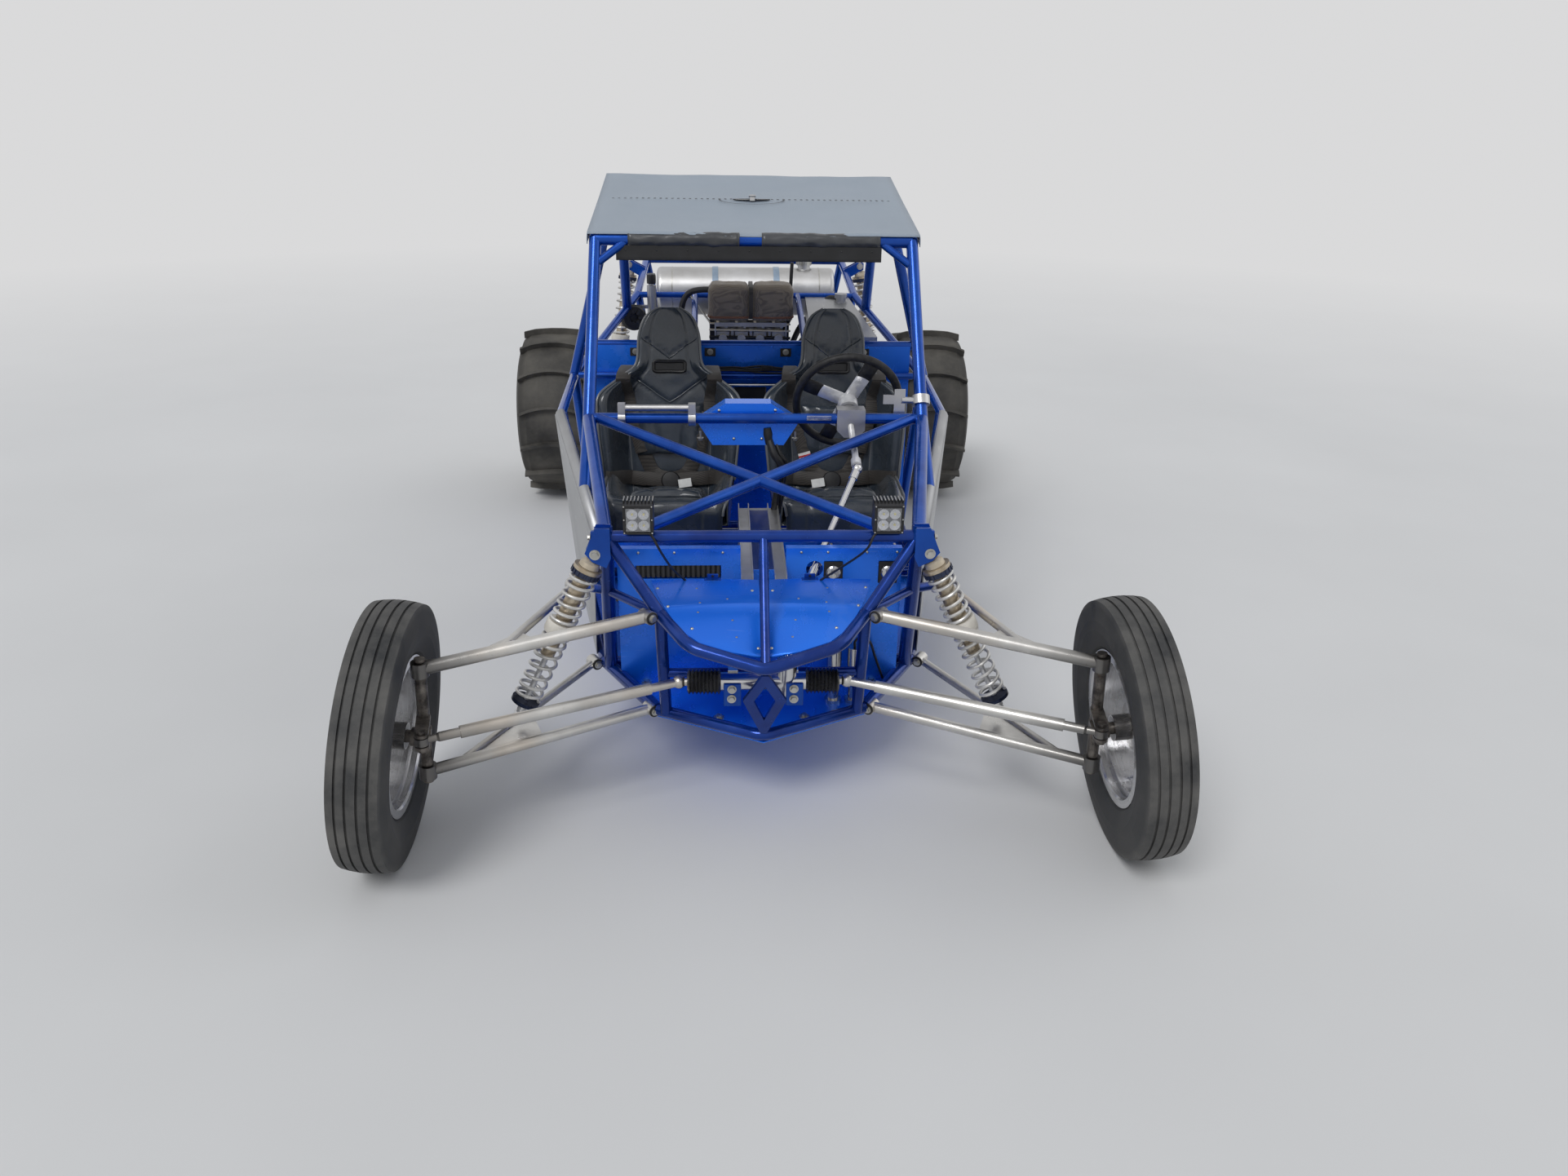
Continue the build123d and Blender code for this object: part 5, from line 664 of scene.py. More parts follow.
def curve_points(points, per_span=6, closed=False):
    """Points on a smooth curve through the given points."""
    points = [Vector(p) for p in points]
    count = len(points)
    found = []
    for i in range(count if closed else count - 1):
        if closed:
            a, b, c, d = (points[(i + k) % count] for k in (-1, 0, 1, 2))
        else:
            a, b, c, d = (points[min(max(i + k, 0), count - 1)] for k in (-1, 0, 1, 2))
        for k in range(per_span):
            t = k / per_span
            bend = (2 * a - 5 * b + 4 * c - d) * t * t + (3 * b - a - 3 * c + d) * t ** 3
            found.append(0.5 * (2 * b + (c - a) * t + bend))
    if not closed:
        found.append(points[-1])
    return found


def apply_modifiers(piece):
    """Replaces the mesh by the one that its modifiers give."""
    graph = bpy.context.evaluated_depsgraph_get()
    made = bpy.data.meshes.new_from_object(piece.evaluated_get(graph))
    old = piece.data
    piece.modifiers.clear()
    piece.data = made
    bpy.data.meshes.remove(old)


def thicken(piece, thickness, offset=-1.0):
    """Gives a sheet its thickness."""
    solid = piece.modifiers.new("thick", "SOLIDIFY")
    solid.thickness = thickness
    solid.offset = offset
    apply_modifiers(piece)


def button_head(shape, at, normal, radius, height, mark=0):
    """A rivet or button head."""
    profile = [(-height, radius), (0, radius), (height * 0.6, radius * 0.8), (height, radius * 0.4)]
    shape.lathe(at, normal, profile, 10, mark)


def hex_head(shape, at, normal, radius, height, mark=0):
    """A hexagon bolt head with its washer."""
    washer = radius * 0.18
    shape.disc(at, normal, radius * 1.35, washer, 16, mark)
    shape.lathe(at + Vector(normal).normalized() * washer, normal, [(0, radius), (height, radius * 0.96)], 6, mark)


def hose(shape, points, radius, mark=0, sides=10):
    """A fixed hose or wire on a smooth line through a few points."""
    shape.tube(curve_points(points, 8), radius, sides, mark=mark)


def turn_to(up, along):
    """A rotation whose Z is up and whose Y runs as nearly along as it can."""
    z = Vector(up).normalized()
    y = (Vector(along) - z * Vector(along).dot(z)).normalized()
    return Matrix((y.cross(z), y, z)).transposed()


# Coil-over springs. Each is a helix between two seats on its damper's axis.
SPRING_R = 0.0331
WIRE_R = 0.0047
COIL_STEPS = 28
LOWER_SEAT = 0.052
# The adjusting ring under a damper's cap: its teeth, and where it begins and ends along the damper.
RING_TEETH = 18
RING_FROM, RING_TO = 0.0545, 0.068
RING_R = 0.0375
RING_BORE = 0.023
# The pale spacer between a damper's two springs: distance along the damper and radius.
SPACER_HALF = 0.017
SPACER_PROFILE = (
    (-SPACER_HALF, 0.022), (-SPACER_HALF, 0.038), (-0.012, 0.0395), (0.012, 0.0395), (SPACER_HALF, 0.038),
    (SPACER_HALF, 0.022),
)
# The cap over a damper's neck.
CAP_PROFILE = ((0.0215, 0.0125), (0.0245, 0.018), (0.03, 0.025), (0.0432, 0.0275), (0.0432, 0.011))


def helix(shape, start, unit, length, turns):
    """A coil with closed ends."""
    helper = unit.cross(BACK).normalized()
    other = unit.cross(helper)
    steps = int(turns * COIL_STEPS)
    points = []
    for i in range(steps + 1):
        share = i / steps
        eased = share - 0.03 * sin(2 * pi * share)
        along = unit * (WIRE_R + (length - 2 * WIRE_R) * eased)
        points.append(start + along + polar(helper, other, 2 * pi * i / COIL_STEPS) * SPRING_R)
    shape.tube(points, WIRE_R, 8)


def coil_springs(name, node, top, foot, upper_turns, lower_turns):
    """Both sides' springs with their adjusting rings, caps and spacers."""
    length = (foot - top).length
    split = SPLIT * length
    coils = Shape()
    for side in SIDES:
        start = flip(top, side)
        unit = (flip(foot, side) - start).normalized()
        helix(coils, start + unit * RING_TO, unit, split - SPACER_HALF - RING_TO, upper_turns)
        helix(coils, start + unit * (split + SPACER_HALF), unit, length - LOWER_SEAT - split - SPACER_HALF, lower_turns)
        ring = [(RING_FROM, RING_BORE), (RING_FROM, RING_R), (RING_TO, RING_R), (RING_TO, RING_BORE)]
        coils.lathe(start, unit, ring, 36, mark=1)
        helper = unit.cross(BACK).normalized()
        for k in range(RING_TEETH):
            out = polar(helper, unit.cross(helper), 2 * pi * k / RING_TEETH)
            tooth = start + unit * ((RING_FROM + RING_TO) / 2) + out * (RING_R + 0.0006)
            coils.box(tooth, (0.006, RING_TO - RING_FROM, 0.0036), turn_to(out, unit), mark=1)
        coils.lathe(start, unit, CAP_PROFILE, 28, mark=2)
        coils.lathe(start + unit * split, unit, SPACER_PROFILE, 32, mark=3)
    piece = coils.piece(name, "spring ring cap cream", "spring_silver")
    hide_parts(node)


coil_springs("coils_front", "springs_front", FRONT_SHOCK_TOP, FRONT_SHOCK_FOOT, 5.5, 7.0)
coil_springs("coils_rear", "springs_rear", REAR_SHOCK_TOP, REAR_SHOCK_FOOT, 8.5, 10.0)


# Seats: a padded bucket swept along its side profile, with loose pads let into it.
SEAT_X = 0.29
# Columns: distance behind the front axle, height, half width, side height, thickness.
SEAT_STATIONS = (
    (1.006, 0.500, 0.184, 0.002, 0.040),
    (1.012, 0.574, 0.188, 0.003, 0.060),
    (1.060, 0.600, 0.204, 0.010, 0.100),
    (1.240, 0.542, 0.214, 0.058, 0.100),
    (1.390, 0.490, 0.222, 0.100, 0.090),
    (1.462, 0.510, 0.226, 0.116, 0.080),
    (1.488, 0.600, 0.234, 0.124, 0.055),
    (1.514, 0.740, 0.246, 0.120, 0.055),
    (1.534, 0.830, 0.241, 0.108, 0.055),
    (1.546, 0.890, 0.172, 0.054, 0.055),
    (1.556, 0.935, 0.117, 0.022, 0.055),
    (1.577, 1.035, 0.105, 0.009, 0.052),
    (1.593, 1.095, 0.080, 0.004, 0.046),
    (1.602, 1.124, 0.036, 0.000, 0.036),
)
SEAT_LAST = len(SEAT_STATIONS) - 1
# The station at the foot of the back, and the share of the length from which seams are sewn.
BACK_FROM = 5
SEWN_FROM = 0.45
SEAT_ACROSS = 40
SEAT_STEPS = 8
SLOT_HALF = 0.056
SLOT_LOW, SLOT_HIGH = 0.912, 0.946
HARNESS_BACK = 1.698
HARNESS_Z = 0.862
# Sewn lines on the back: each is a V given by its half width, the height of its ends and its point.
SEAT_VEES = ((0.098, 1.022, 0.958), (0.15, 0.905, 0.8))
SEAM_HALF = 0.011
SEAM_DEPTH = 0.007
PAD_RISE = 0.006
# Pads: name, first and last part of the seat's length, half width share, thickness.
PADS = (("base", 0.165, 0.37, 0.62, 0.02), ("back", 0.47, 0.59, 0.52, 0.016))
PAD_LONG, PAD_ACROSS = 26, 16
# The pads' swelling: frames of simulation, pressure, furthest move and the size of the mesh.
SWELL_FRAMES = 16
SWELL_PRESSURE = 3.0
SWELL_CAP = 0.01
SWELL_VOXEL = 0.006


def seam_depth(x, z):
    """How far the vinyl is drawn in near a V seam; the panels between the seams stand proud."""
    depth = 0.0
    above = []
    for half, high, low in SEAT_VEES:
        seam = low + (high - low) * abs(x) / half
        above.append(z > seam)
        if abs(x) < half:
            depth = max(depth, SEAM_DEPTH * (1 - min(1.0, abs(z - seam) / SEAM_HALF)))
    proud = above[0] or above[1] and abs(x) < SEAT_VEES[1][0]
    return depth - (PAD_RISE if proud else 0.0)


def seat_rows(side):
    """Rows of front and back points of the seat, and the normal along each row."""
    spine = curve_points([Vector(station[:3]) for station in SEAT_STATIONS], SEAT_STEPS)
    extra = curve_points([Vector((*station[3:], 0)) for station in SEAT_STATIONS], SEAT_STEPS)
    rows_front, rows_back, normals = [], [], []
    for i, (station, more) in enumerate(zip(spine, extra)):
        ahead, behind = spine[min(i + 1, len(spine) - 1)], spine[max(i - 1, 0)]
        along = Vector((0, ahead.x - behind.x, ahead.y - behind.y)).normalized()
        normal = LEFT.cross(along).normalized()
        centre = front(side * SEAT_X, station.x, station.y)
        row_front, row_back = [], []
        part = i / (SEAT_LAST * SEAT_STEPS)
        for j in range(SEAT_ACROSS + 1):
            u = 2 * j / SEAT_ACROSS - 1
            lift = max(0.0, more.x) * smooth_step(0.62, 0.92, abs(u))
            roll = 0.01 * (1 - smooth_step(0.9, 1.0, abs(u)))
            seam = -0.006 * max(0.0, 1 - abs(abs(u) - 0.6) / 0.035)
            crease = noise.noise(Vector((u * 2.2, part * 14, side * 3.0))) * 0.0035
            base = shift(centre, u * station.z)
            sewn = seam_depth(u * station.z, station.y) if part > SEWN_FROM else 0.0
            row_front.append(base + normal * (lift + roll + seam + crease - sewn - 0.008))
            row_back.append(base + normal * (lift * 0.9 - more.y))
        rows_front.append(row_front)
        rows_back.append(row_back)
        normals.append(normal)
    return rows_front, rows_back, normals


def part_at(height):
    """The share of the seat's length at a height on its back."""
    for i in range(BACK_FROM, SEAT_LAST):
        low, high = SEAT_STATIONS[i][1], SEAT_STATIONS[i + 1][1]
        if height <= high:
            return (i + (height - low) / (high - low)) / SEAT_LAST
    return 1.0


def half_at(height):
    """The seat's half width at a height on its back."""
    place = part_at(height) * SEAT_LAST
    i = min(int(place), SEAT_LAST - 1)
    return mix(SEAT_STATIONS[i][2], SEAT_STATIONS[i + 1][2], place - i)


class SeatFace:
    """The seat's front face: places on it are its part, from 0 at the lip to 1 at the head, and u across it."""

    def __init__(self, rows, normals):
        self.rows = rows
        self.normals = normals

    def normal(self, part):
        """The face's direction."""
        return self.normals[int(part * (len(self.rows) - 1))]

    def at(self, part, u, rise=0.0):
        """A point on the face."""
        i = min(part, 0.9999) * (len(self.rows) - 1)
        j = (u + 1) / 2 * SEAT_ACROSS
        low_i, low_j = int(i), min(int(j), SEAT_ACROSS - 1)
        first, second = (mix(row[low_j], row[low_j + 1], j - low_j) for row in self.rows[low_i:low_i + 2])
        return mix(first, second, i - low_i) + self.normals[low_i] * rise

    def back(self, x, height, rise=0.0):
        """A point on the back at a distance from its middle and a height."""
        return self.at(part_at(height), x / half_at(height), rise)


def inflate(piece):
    """Swells a closed pad with the cloth simulation, no point moving further than the cap."""
    remesh = piece.modifiers.new("even", "REMESH")
    remesh.mode = "VOXEL"
    remesh.voxel_size = SWELL_VOXEL
    apply_modifiers(piece)
    still = [v.co.copy() for v in piece.data.vertices]
    cloth = piece.modifiers.new("swell", "CLOTH")
    cloth.settings.use_pressure = True
    cloth.settings.uniform_pressure_force = SWELL_PRESSURE
    cloth.settings.effector_weights.gravity = 0
    cloth.settings.quality = 4
    cloth.collision_settings.use_collision = False
    cloth.point_cache.frame_start, cloth.point_cache.frame_end = 1, SWELL_FRAMES
    scene = bpy.context.scene
    for step in range(1, SWELL_FRAMES + 1):
        scene.frame_set(step)
    apply_modifiers(piece)
    scene.frame_set(1)
    for vertex, home in zip(piece.data.vertices, still):
        moved = vertex.co - home
        if moved.length > SWELL_CAP:
            vertex.co = home + moved * (SWELL_CAP / moved.length)


def build_pad(first, last, half, thick, face):
    """A sewn pad that lies on the seat between two rows, pinched along its channels."""
    rows = []
    for i in range(PAD_LONG + 1):
        part = mix(first, last, i / PAD_LONG)
        end = 2 * i / PAD_LONG - 1
        top_row, low_row = [], []
        for j in range(PAD_ACROSS + 1):
            u = 2 * j / PAD_ACROSS - 1
            body = max(0.0, 1 - max(abs(end), abs(u)) ** 6) ** 0.5
            channel = 1 - 0.75 * max(0.0, 1 - abs(abs(u) - 0.45 - 0.12 * end) / 0.1)
            place = half * u * (1 - 0.05 * end * end)
            top_row.append(face.at(part, place, 0.002 + thick * (0.15 + 0.85 * body * channel)))
            low_row.append(face.at(part, place, -0.002))
        rows.append(top_row + low_row[::-1])
    pad = Shape()
    pad.grid(rows, closed_cols=True, caps=True)
    return pad


def ribbon(shape, points, width, faces_up, mark=0):
    """A flat strap through points, its face given at each point."""
    thick = 0.0016
    rows = []
    for i, point in enumerate(points):
        along = (points[min(i + 1, len(points) - 1)] - points[max(i - 1, 0)]).normalized()
        up = (faces_up[i] - along * faces_up[i].dot(along)).normalized()
        across = along.cross(up) * (width / 2)
        lift = up * thick
        rows.append([point - across, point - across * 0.9 + lift, point + across * 0.9 + lift, point + across, point])
    shape.grid(rows, closed_cols=True, mark=mark, caps=True)


# A shoulder strap on the back: height and distance from the middle.
SHOULDER = ((0.885, 0.16), (0.83, 0.15), (0.76, 0.135), (0.69, 0.115), (0.62, 0.09), (0.565, 0.06))
STRAP_WIDTH = 0.05
SLIDE_STEP = 26
LAP_STEPS = 16
# On each shoulder strap: the slide and its bar, and the loose tail with its end tab and mark.
SLIDE_SIZE, SLIDE_BAR = (0.06, 0.04, 0.007), (0.046, 0.008, 0.005)
TAIL_WIDTH = 0.044
TAIL_STEPS = (0.0, 0.04, 0.08, 0.125)
TAB_SIZE, TAB_MARK = (TAIL_WIDTH, 0.024, 0.004), (TAIL_WIDTH, 0.006, 0.004)
BUCKLE_PROFILE = ((-0.012, 0.03), (0.004, 0.034), (0.01, 0.03), (0.012, 0.012))
TONGUE_SIZE = (0.03, 0.046, 0.012)


def build_harness(side, face):
    """Shoulder straps from the slots to a lap buckle, lap straps, adjusters and end tabs."""
    straps = Shape()
    buckle_at = face.at(0.405, 0.0, 0.026)
    for hand in SIDES:
        over = front(side * SEAT_X + hand * 0.15, 1.578, 0.921)
        line = [front(over.x, HARNESS_BACK - 0.014, HARNESS_Z + 0.01), shift(over, 0, 0.05, -0.014), over]
        ups = [UP, UP, Vector((0, -0.7, 0.75))]
        for height, across in SHOULDER:
            line.append(face.back(hand * across, height, 0.007))
            ups.append(face.normal(part_at(height)))
        line.append(shift(buckle_at, hand * 0.016, 0, 0.008))
        ups.append(face.normal(0.43))
        fine, fine_ups = curve_points(line, 5), curve_points(ups, 5)
        ribbon(straps, fine, STRAP_WIDTH, fine_ups)
        slide, out = fine[SLIDE_STEP], fine_ups[SLIDE_STEP].normalized()
        way = (fine[SLIDE_STEP + 2] - fine[SLIDE_STEP - 2]).normalized()
        turn = turn_to(out, way)
        straps.box(slide + out * 0.006, SLIDE_SIZE, turn, mark=1, chamfer=0.0015)
        straps.box(slide + out * 0.0085, SLIDE_BAR, turn, mark=4)
        tail = [slide + out * 0.01 + way * step for step in TAIL_STEPS]
        ribbon(straps, tail, TAIL_WIDTH, [out, out, shift(out, 0.25 * hand).normalized(), out])
        if hand == -side:
            tab = tail[-1] + way * (TAB_SIZE[1] / 2)
            straps.box(tab + out * 0.002, TAB_SIZE, turn, mark=2)
            if side == 1:
                straps.box(tab + out * 0.0035, TAB_MARK, turn, mark=3)
        lap, lap_ups = [], []
        for i in range(LAP_STEPS + 1):
            share = i / LAP_STEPS
            part = 0.425 - 0.02 * share
            lap.append(face.at(part, hand * 0.97 * (1 - share), 0.006 + 0.022 * share))
            lap_ups.append(shift(face.normal(part), -hand * 0.5 * (1 - share)).normalized())
        ribbon(straps, lap, STRAP_WIDTH, lap_ups)
    out = face.normal(0.41)
    straps.lathe(buckle_at, out, BUCKLE_PROFILE, 20, mark=1)
    tongue = shift(buckle_at + out * 0.011, -side * 0.052, -0.02, -0.004)
    straps.box(tongue, TONGUE_SIZE, turn_to(out, (1, 0.4, 0)), mark=2)
    straps.piece("harness_" + SIDE_NAMES[side], "web plastic white red zinc", "black_vinyl", auto=40)


def build_seat_trim(side, face, backs):
    """Piping, sewn lines and the framed harness slot of one seat, its opening a dark sheet of painted shade."""
    trim = Shape()
    for column in (0, SEAT_ACROSS):
        edge = [row[column] + (row[column] - back[column]).normalized() * 0.0015 for row, back in zip(face.rows, backs)]
        trim.tube(edge[6:], 0.0046, 8)
    for u in (-0.6, 0.6):
        trim.tube([face.at(0.08 + 0.53 * k / 50, u, -0.001) for k in range(51)], 0.0026, 6)
    for half, high, low in SEAT_VEES:
        for hand in SIDES:
            seam = [face.back(hand * half * k / 12, mix(low, high, k / 12), 0.0012) for k in range(13)]
            trim.tube(seam, 0.0026, 6, mark=3)
    centre = (SLOT_LOW + SLOT_HIGH) / 2
    loop = ((0.9, SLOT_LOW), (1.0, centre), (0.9, SLOT_HIGH), (0, SLOT_HIGH), (-0.9, SLOT_HIGH), (-1.0, centre),
            (-0.9, SLOT_LOW), (0, SLOT_LOW))
    ring = [face.back(x * SLOT_HALF, z, 0.004) for x, z in loop]
    trim.tube(curve_points(ring, 5, closed=True), 0.006, 8, closed=True, mark=1)
    # A dark rubber sheet inside the ring stands for the slot's opening: painted shade.
    slot_shade_sheet = [[face.back(x * SLOT_HALF * 0.93, z, 0.0018) for x in (-1, -0.5, 0, 0.5, 1)]
              for z in (SLOT_LOW + 0.003, centre, SLOT_HIGH - 0.003)]
    trim.grid(slot_shade_sheet, mark=2)
    trim.piece("seat_trim_" + SIDE_NAMES[side], "piping plastic rubber vinyl", "black_vinyl")


def copy_across(original, name):
    """The left seat's pad again on the right seat."""
    mesh = original.data.copy()
    for vertex in mesh.vertices:
        vertex.co.x -= 2 * SEAT_X
    piece = link_object(name, mesh)
    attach(piece, "chassis")
    return piece


def build_seats():
    """Both seats: shells, pads swelled once and copied across, trim and harness."""
    swelled = {}
    for side in SIDES:
        rows, backs, normals = seat_rows(side)
        face = SeatFace(rows, normals)
        shell = Shape()
        shell.grid([a + b[::-1] for a, b in zip(rows, backs)], closed_cols=True, caps=True)
        seat = shell.piece("seat_shell_" + SIDE_NAMES[side], "vinyl", "black_vinyl", auto=0)
        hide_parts("seat_" + SIDE_NAMES[side])
        build_seat_trim(side, face, backs)
        for name, *measures in PADS:
            title = "seat_pad_" + name + "_" + SIDE_NAMES[side]
            if side == 1:
                piece = build_pad(*measures, face).piece(title, "vinyl", "black_vinyl", auto=0)
                inflate(piece)
                swelled[name] = piece
            else:
                piece = copy_across(swelled[name], title)
            for polygon in piece.data.polygons:
                polygon.use_smooth = True
        build_harness(side, face)


build_seats()


# Roof cover: cloth stretched over the roof tubes, with its hem turned down.
ROOF_FRONT = front(0.497, 1.214, 1.402)
ROOF_MIDDLE = front(0.49, 1.62, 1.464)
ROOF_REAR = front(0.478, 1.96, 1.52)
TUBE_R = 0.019          # the roof tubes
COVER_HALF = 0.519
COVER_ACROSS = 40
COVER_LIFT = 0.004


def build_roof():
    """One continuous sheet from the front wrap to the rear hem."""
    # The line from front to rear: distance back, height, and how far the cloth sags in its middle.
    line = [(ROOF_FRONT.y - 0.015, ROOF_FRONT.z + TUBE_R * 0.66 + COVER_LIFT, 0.0),
            (ROOF_FRONT.y - 0.009, ROOF_FRONT.z + TUBE_R + 0.002, 0.0)]
    for start, end, steps in ((ROOF_FRONT, ROOF_MIDDLE, 30), (ROOF_MIDDLE, ROOF_REAR, 26)):
        for i in range(steps):
            at = mix(start, end, i / steps)
            line.append((at.y, at.z + TUBE_R + COVER_LIFT, -0.008 * sin(pi * i / steps)))
    line += [(ROOF_REAR.y + back, ROOF_REAR.z + up, 0.0) for back, up in (
        (0, TUBE_R + COVER_LIFT), (0.013, TUBE_R), (TUBE_R + 0.002, 0.004), (TUBE_R + 0.002, -0.012))]
    rows = []
    for y, z, sag in line:
        row = []
        for j in range(COVER_ACROSS + 1):
            u = 2 * j / COVER_ACROSS - 1
            x = u * COVER_HALF
            flutter = noise.noise(Vector((x * 3.1, y * 4.0, 0.3))) * 0.004
            flutter += noise.noise(Vector((x * 9, y * 14, 2.0))) * 0.0014
            inner = 1 - smooth_step(0.78, 0.9, abs(u))
            row.append(Vector((x, y, z + (sag + flutter - 0.003 * (1 - u * u)) * inner)))
        left, right = ([Vector((side * (COVER_HALF + 0.001), end.y, end.z - drop)) for drop in (0.012, 0.03)]
                       for side, end in ((-1, row[0]), (1, row[-1])))
        rows.append(left[::-1] + row + right)
    sheet = Shape()
    sheet.grid(rows)
    cover = sheet.piece("roof_sheet", "roof", "roof_cloth", auto=0)
    thicken(cover, 0.0022, 1.0)
    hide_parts("roof_cover")


build_roof()


# Lamps: square pods with fins, a bezel, four bowls behind a clear cover.
LAMP_X = 0.318
LAMP_FINS = 9
LAMP_FIN_PITCH = 0.073 / 8
BOWL_X = 0.0145
BOWL_PROFILE = ((0.0, 0.0138), (0.0026, 0.0138), (0.0026, 0.0128), (0.0006, 0.004))
LAMP_FACE, LAMP_COVER = (0.062, 0.001, 0.062), (0.061, 0.0008, 0.061)
LAMP_SCREW = 0.035
BAR_MIDDLE = front(0, 0.235, 0.78)
BAR_END_X = 0.405


def build_lamps():
    """Bezel, bowls and emitters, and a clear cover, let into each pod's sunk face."""
    faces, lens = Shape(), Shape()
    for side in SIDES:
        face = shift(BAR_MIDDLE, side * LAMP_X, -0.0465, 0.062)
        faces.box(shift(face, 0, 0.0005), LAMP_FACE)
        for x in (-BOWL_X, BOWL_X):
            for z in (-BOWL_X, BOWL_X):
                bowl = shift(face, x, 0, z)
                faces.lathe(bowl, AHEAD, BOWL_PROFILE, 20, mark=1)
                faces.lathe(bowl, AHEAD, [(0.0004, 0.0034), (0.0024, 0.003)], 8, mark=3)
        for x in (-LAMP_SCREW, LAMP_SCREW):
            for z in (-LAMP_SCREW, 0, LAMP_SCREW):
                button_head(faces, shift(face, x, -0.0035, z), AHEAD, 0.0022, 0.0012, mark=2)
        lens.box(shift(face, 0, -0.0032), LAMP_COVER)
        for x in (-0.012, 0.012):
            hex_head(faces, shift(face, x, 0.052, -0.044), UP, 0.0045, 0.00315, mark=2)
        for fin in range(LAMP_FINS):
            x = (fin - (LAMP_FINS - 1) / 2) * LAMP_FIN_PITCH
            faces.box(shift(face, x, 0.034, 0.0456), (0.0032, 0.034, 0.001), mark=2)
    faces.piece("lamp_faces", "plastic alloy zinc chip", "black_plastic")
    lens.piece("lamp_lenses", "lens", "black_plastic", smooth=False)


build_lamps()


# Air filters: two cloth covers drawn over their boxes by a hem, with a strap between them.
FILTER_X = 0.015
FILTER_OFF = 0.0885
FILTER_HALF = 0.085
FILTER_RING = 56
FILTER_LEVELS = 16
CLOSING_LEVELS = 5
FILTER_LOW, FILTER_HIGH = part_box("air_filters")
FILTER_Y = (FILTER_LOW.y + FILTER_HIGH.y) / 2


def squared(value):
    """Bends a circle's sine or cosine towards a rounded square."""
    return abs(value) ** 0.36 * (1 if value >= 0 else -1)


def filter_cover(side):
    """One cloth cover with a gathered foot and a soft, sagging crown."""
    half_y = (FILTER_HIGH.y - FILTER_LOW.y) / 2 - 0.004
    centre = Vector((FILTER_X + side * FILTER_OFF, FILTER_Y, 0))
    rows = []
    for i in range(FILTER_LEVELS + CLOSING_LEVELS):
        share = min(1.0, i / FILTER_LEVELS)
        closing = max(0, i - FILTER_LEVELS) / CLOSING_LEVELS
        z = FILTER_LOW.z + 0.003 + (FILTER_HIGH.z - FILTER_LOW.z - 0.01) * share
        tuck = 0.93 + 0.07 * smooth_step(0, 0.16, share)
        reach = tuck * (1 - 0.16 * smooth_step(0.8, 1.0, share) ** 2) * (1 - closing)
        row = []
        for k in range(FILTER_RING):
            angle = 2 * pi * k / FILTER_RING
            x, y = squared(cos(angle)), squared(sin(angle))
            place = shift(centre, x * FILTER_HALF * reach, y * half_y * reach, z)
            fold = noise.noise(place * 30) * 0.0045 + noise.noise(place * 85) * 0.0018
            pleat = 0.0022 * sin(angle * 22) * (1 - smooth_step(0.05, 0.3, share))
            place += Vector((x, y, 0)) * (fold + pleat) * (1 - closing)
            if closing:
                place.z += 0.004 * (1 - (2 * closing - 0.6) ** 2) + fold * 0.6
            row.append(place)
        rows.append(row)
    return rows


def build_filters():
    """Both covers with their hems, seams and the strap."""
    low, high = FILTER_LOW, FILTER_HIGH
    trim = Shape()
    for side in SIDES:
        rows = filter_cover(side)
        sock = Shape()
        sock.grid(rows, closed_cols=True, caps=True)
        piece = sock.piece("filter_cover_" + SIDE_NAMES[side], "filter", "filter_cloth", auto=0)
        if side == 1:
            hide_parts("air_filters")
        hem = []
        for point in rows[1]:
            inside = Vector((FILTER_X + side * FILTER_OFF, FILTER_Y, point.z))
            hem.append(shift(point + (point - inside).normalized() * 0.001, 0, 0, 0.004))
        trim.tube(hem, 0.0052, 6, closed=True)
        trim.tube([shift(row[14], 0, 0.001) for row in rows[:-2]], 0.0016, 5)
    front_half = [(low.y - 0.0005, low.z + 0.01), (low.y - 0.0005, high.z - 0.03), (low.y + 0.02, high.z - 0.008)]
    rear_half = [(2 * FILTER_Y - y, z) for y, z in front_half[::-1]]
    strap = [Vector((FILTER_X, y, z)) for y, z in front_half + [(FILTER_Y, high.z - 0.002)] + rear_half]
    centre = Vector((FILTER_X, FILTER_Y, (low.z + high.z) / 2))
    line = curve_points(strap, 5)
    ribbon(trim, line, 0.016, [(point - centre).normalized() for point in line], mark=1)
    trim.piece("filter_trim", "filter_hem web", "filter_cloth")


build_filters()


# Hood: two sheets, flat behind and falling to the nose in front, let in under the hoop.
HOOD_SHEET = 0.003
# Columns: centre edge's distance back and height, outer edge's half width, distance back and height.
HOOD_ROWS = (
    (0.355, 0.6073, 0.300, 0.355, 0.6073),
    (0.290, 0.6073, 0.287, 0.290, 0.6073),
    (0.225, 0.6073, 0.268, 0.210, 0.6073),
    (0.195, 0.6040, 0.258, 0.180, 0.6060),
    (0.160, 0.5900, 0.243, 0.152, 0.5960),
    (0.115, 0.5680, 0.210, 0.096, 0.5760),
    (0.075, 0.5490, 0.166, 0.058, 0.5610),
    (0.050, 0.5370, 0.085, 0.036, 0.5440),
    (0.036, 0.5300, 0.014, 0.034, 0.5310),
)
HOOD_SPLIT = 0.008
HOOD_ACROSS = 14
# Screws and rivets: across from 0 at the spine to 1 at the edge, and row along HOOD_ROWS.
HOOD_SCREWS = ((0.07, 1.2), (0.08, 6.6), (0.97, 0.9), (0.86, 4.9), (0.96, 3.0))
HOOD_RIVETS = ((0.33, 2.0), (0.33, 4.4), (0.62, 2.6), (0.6, 1.0), (0.36, 5.6), (0.68, 3.8))


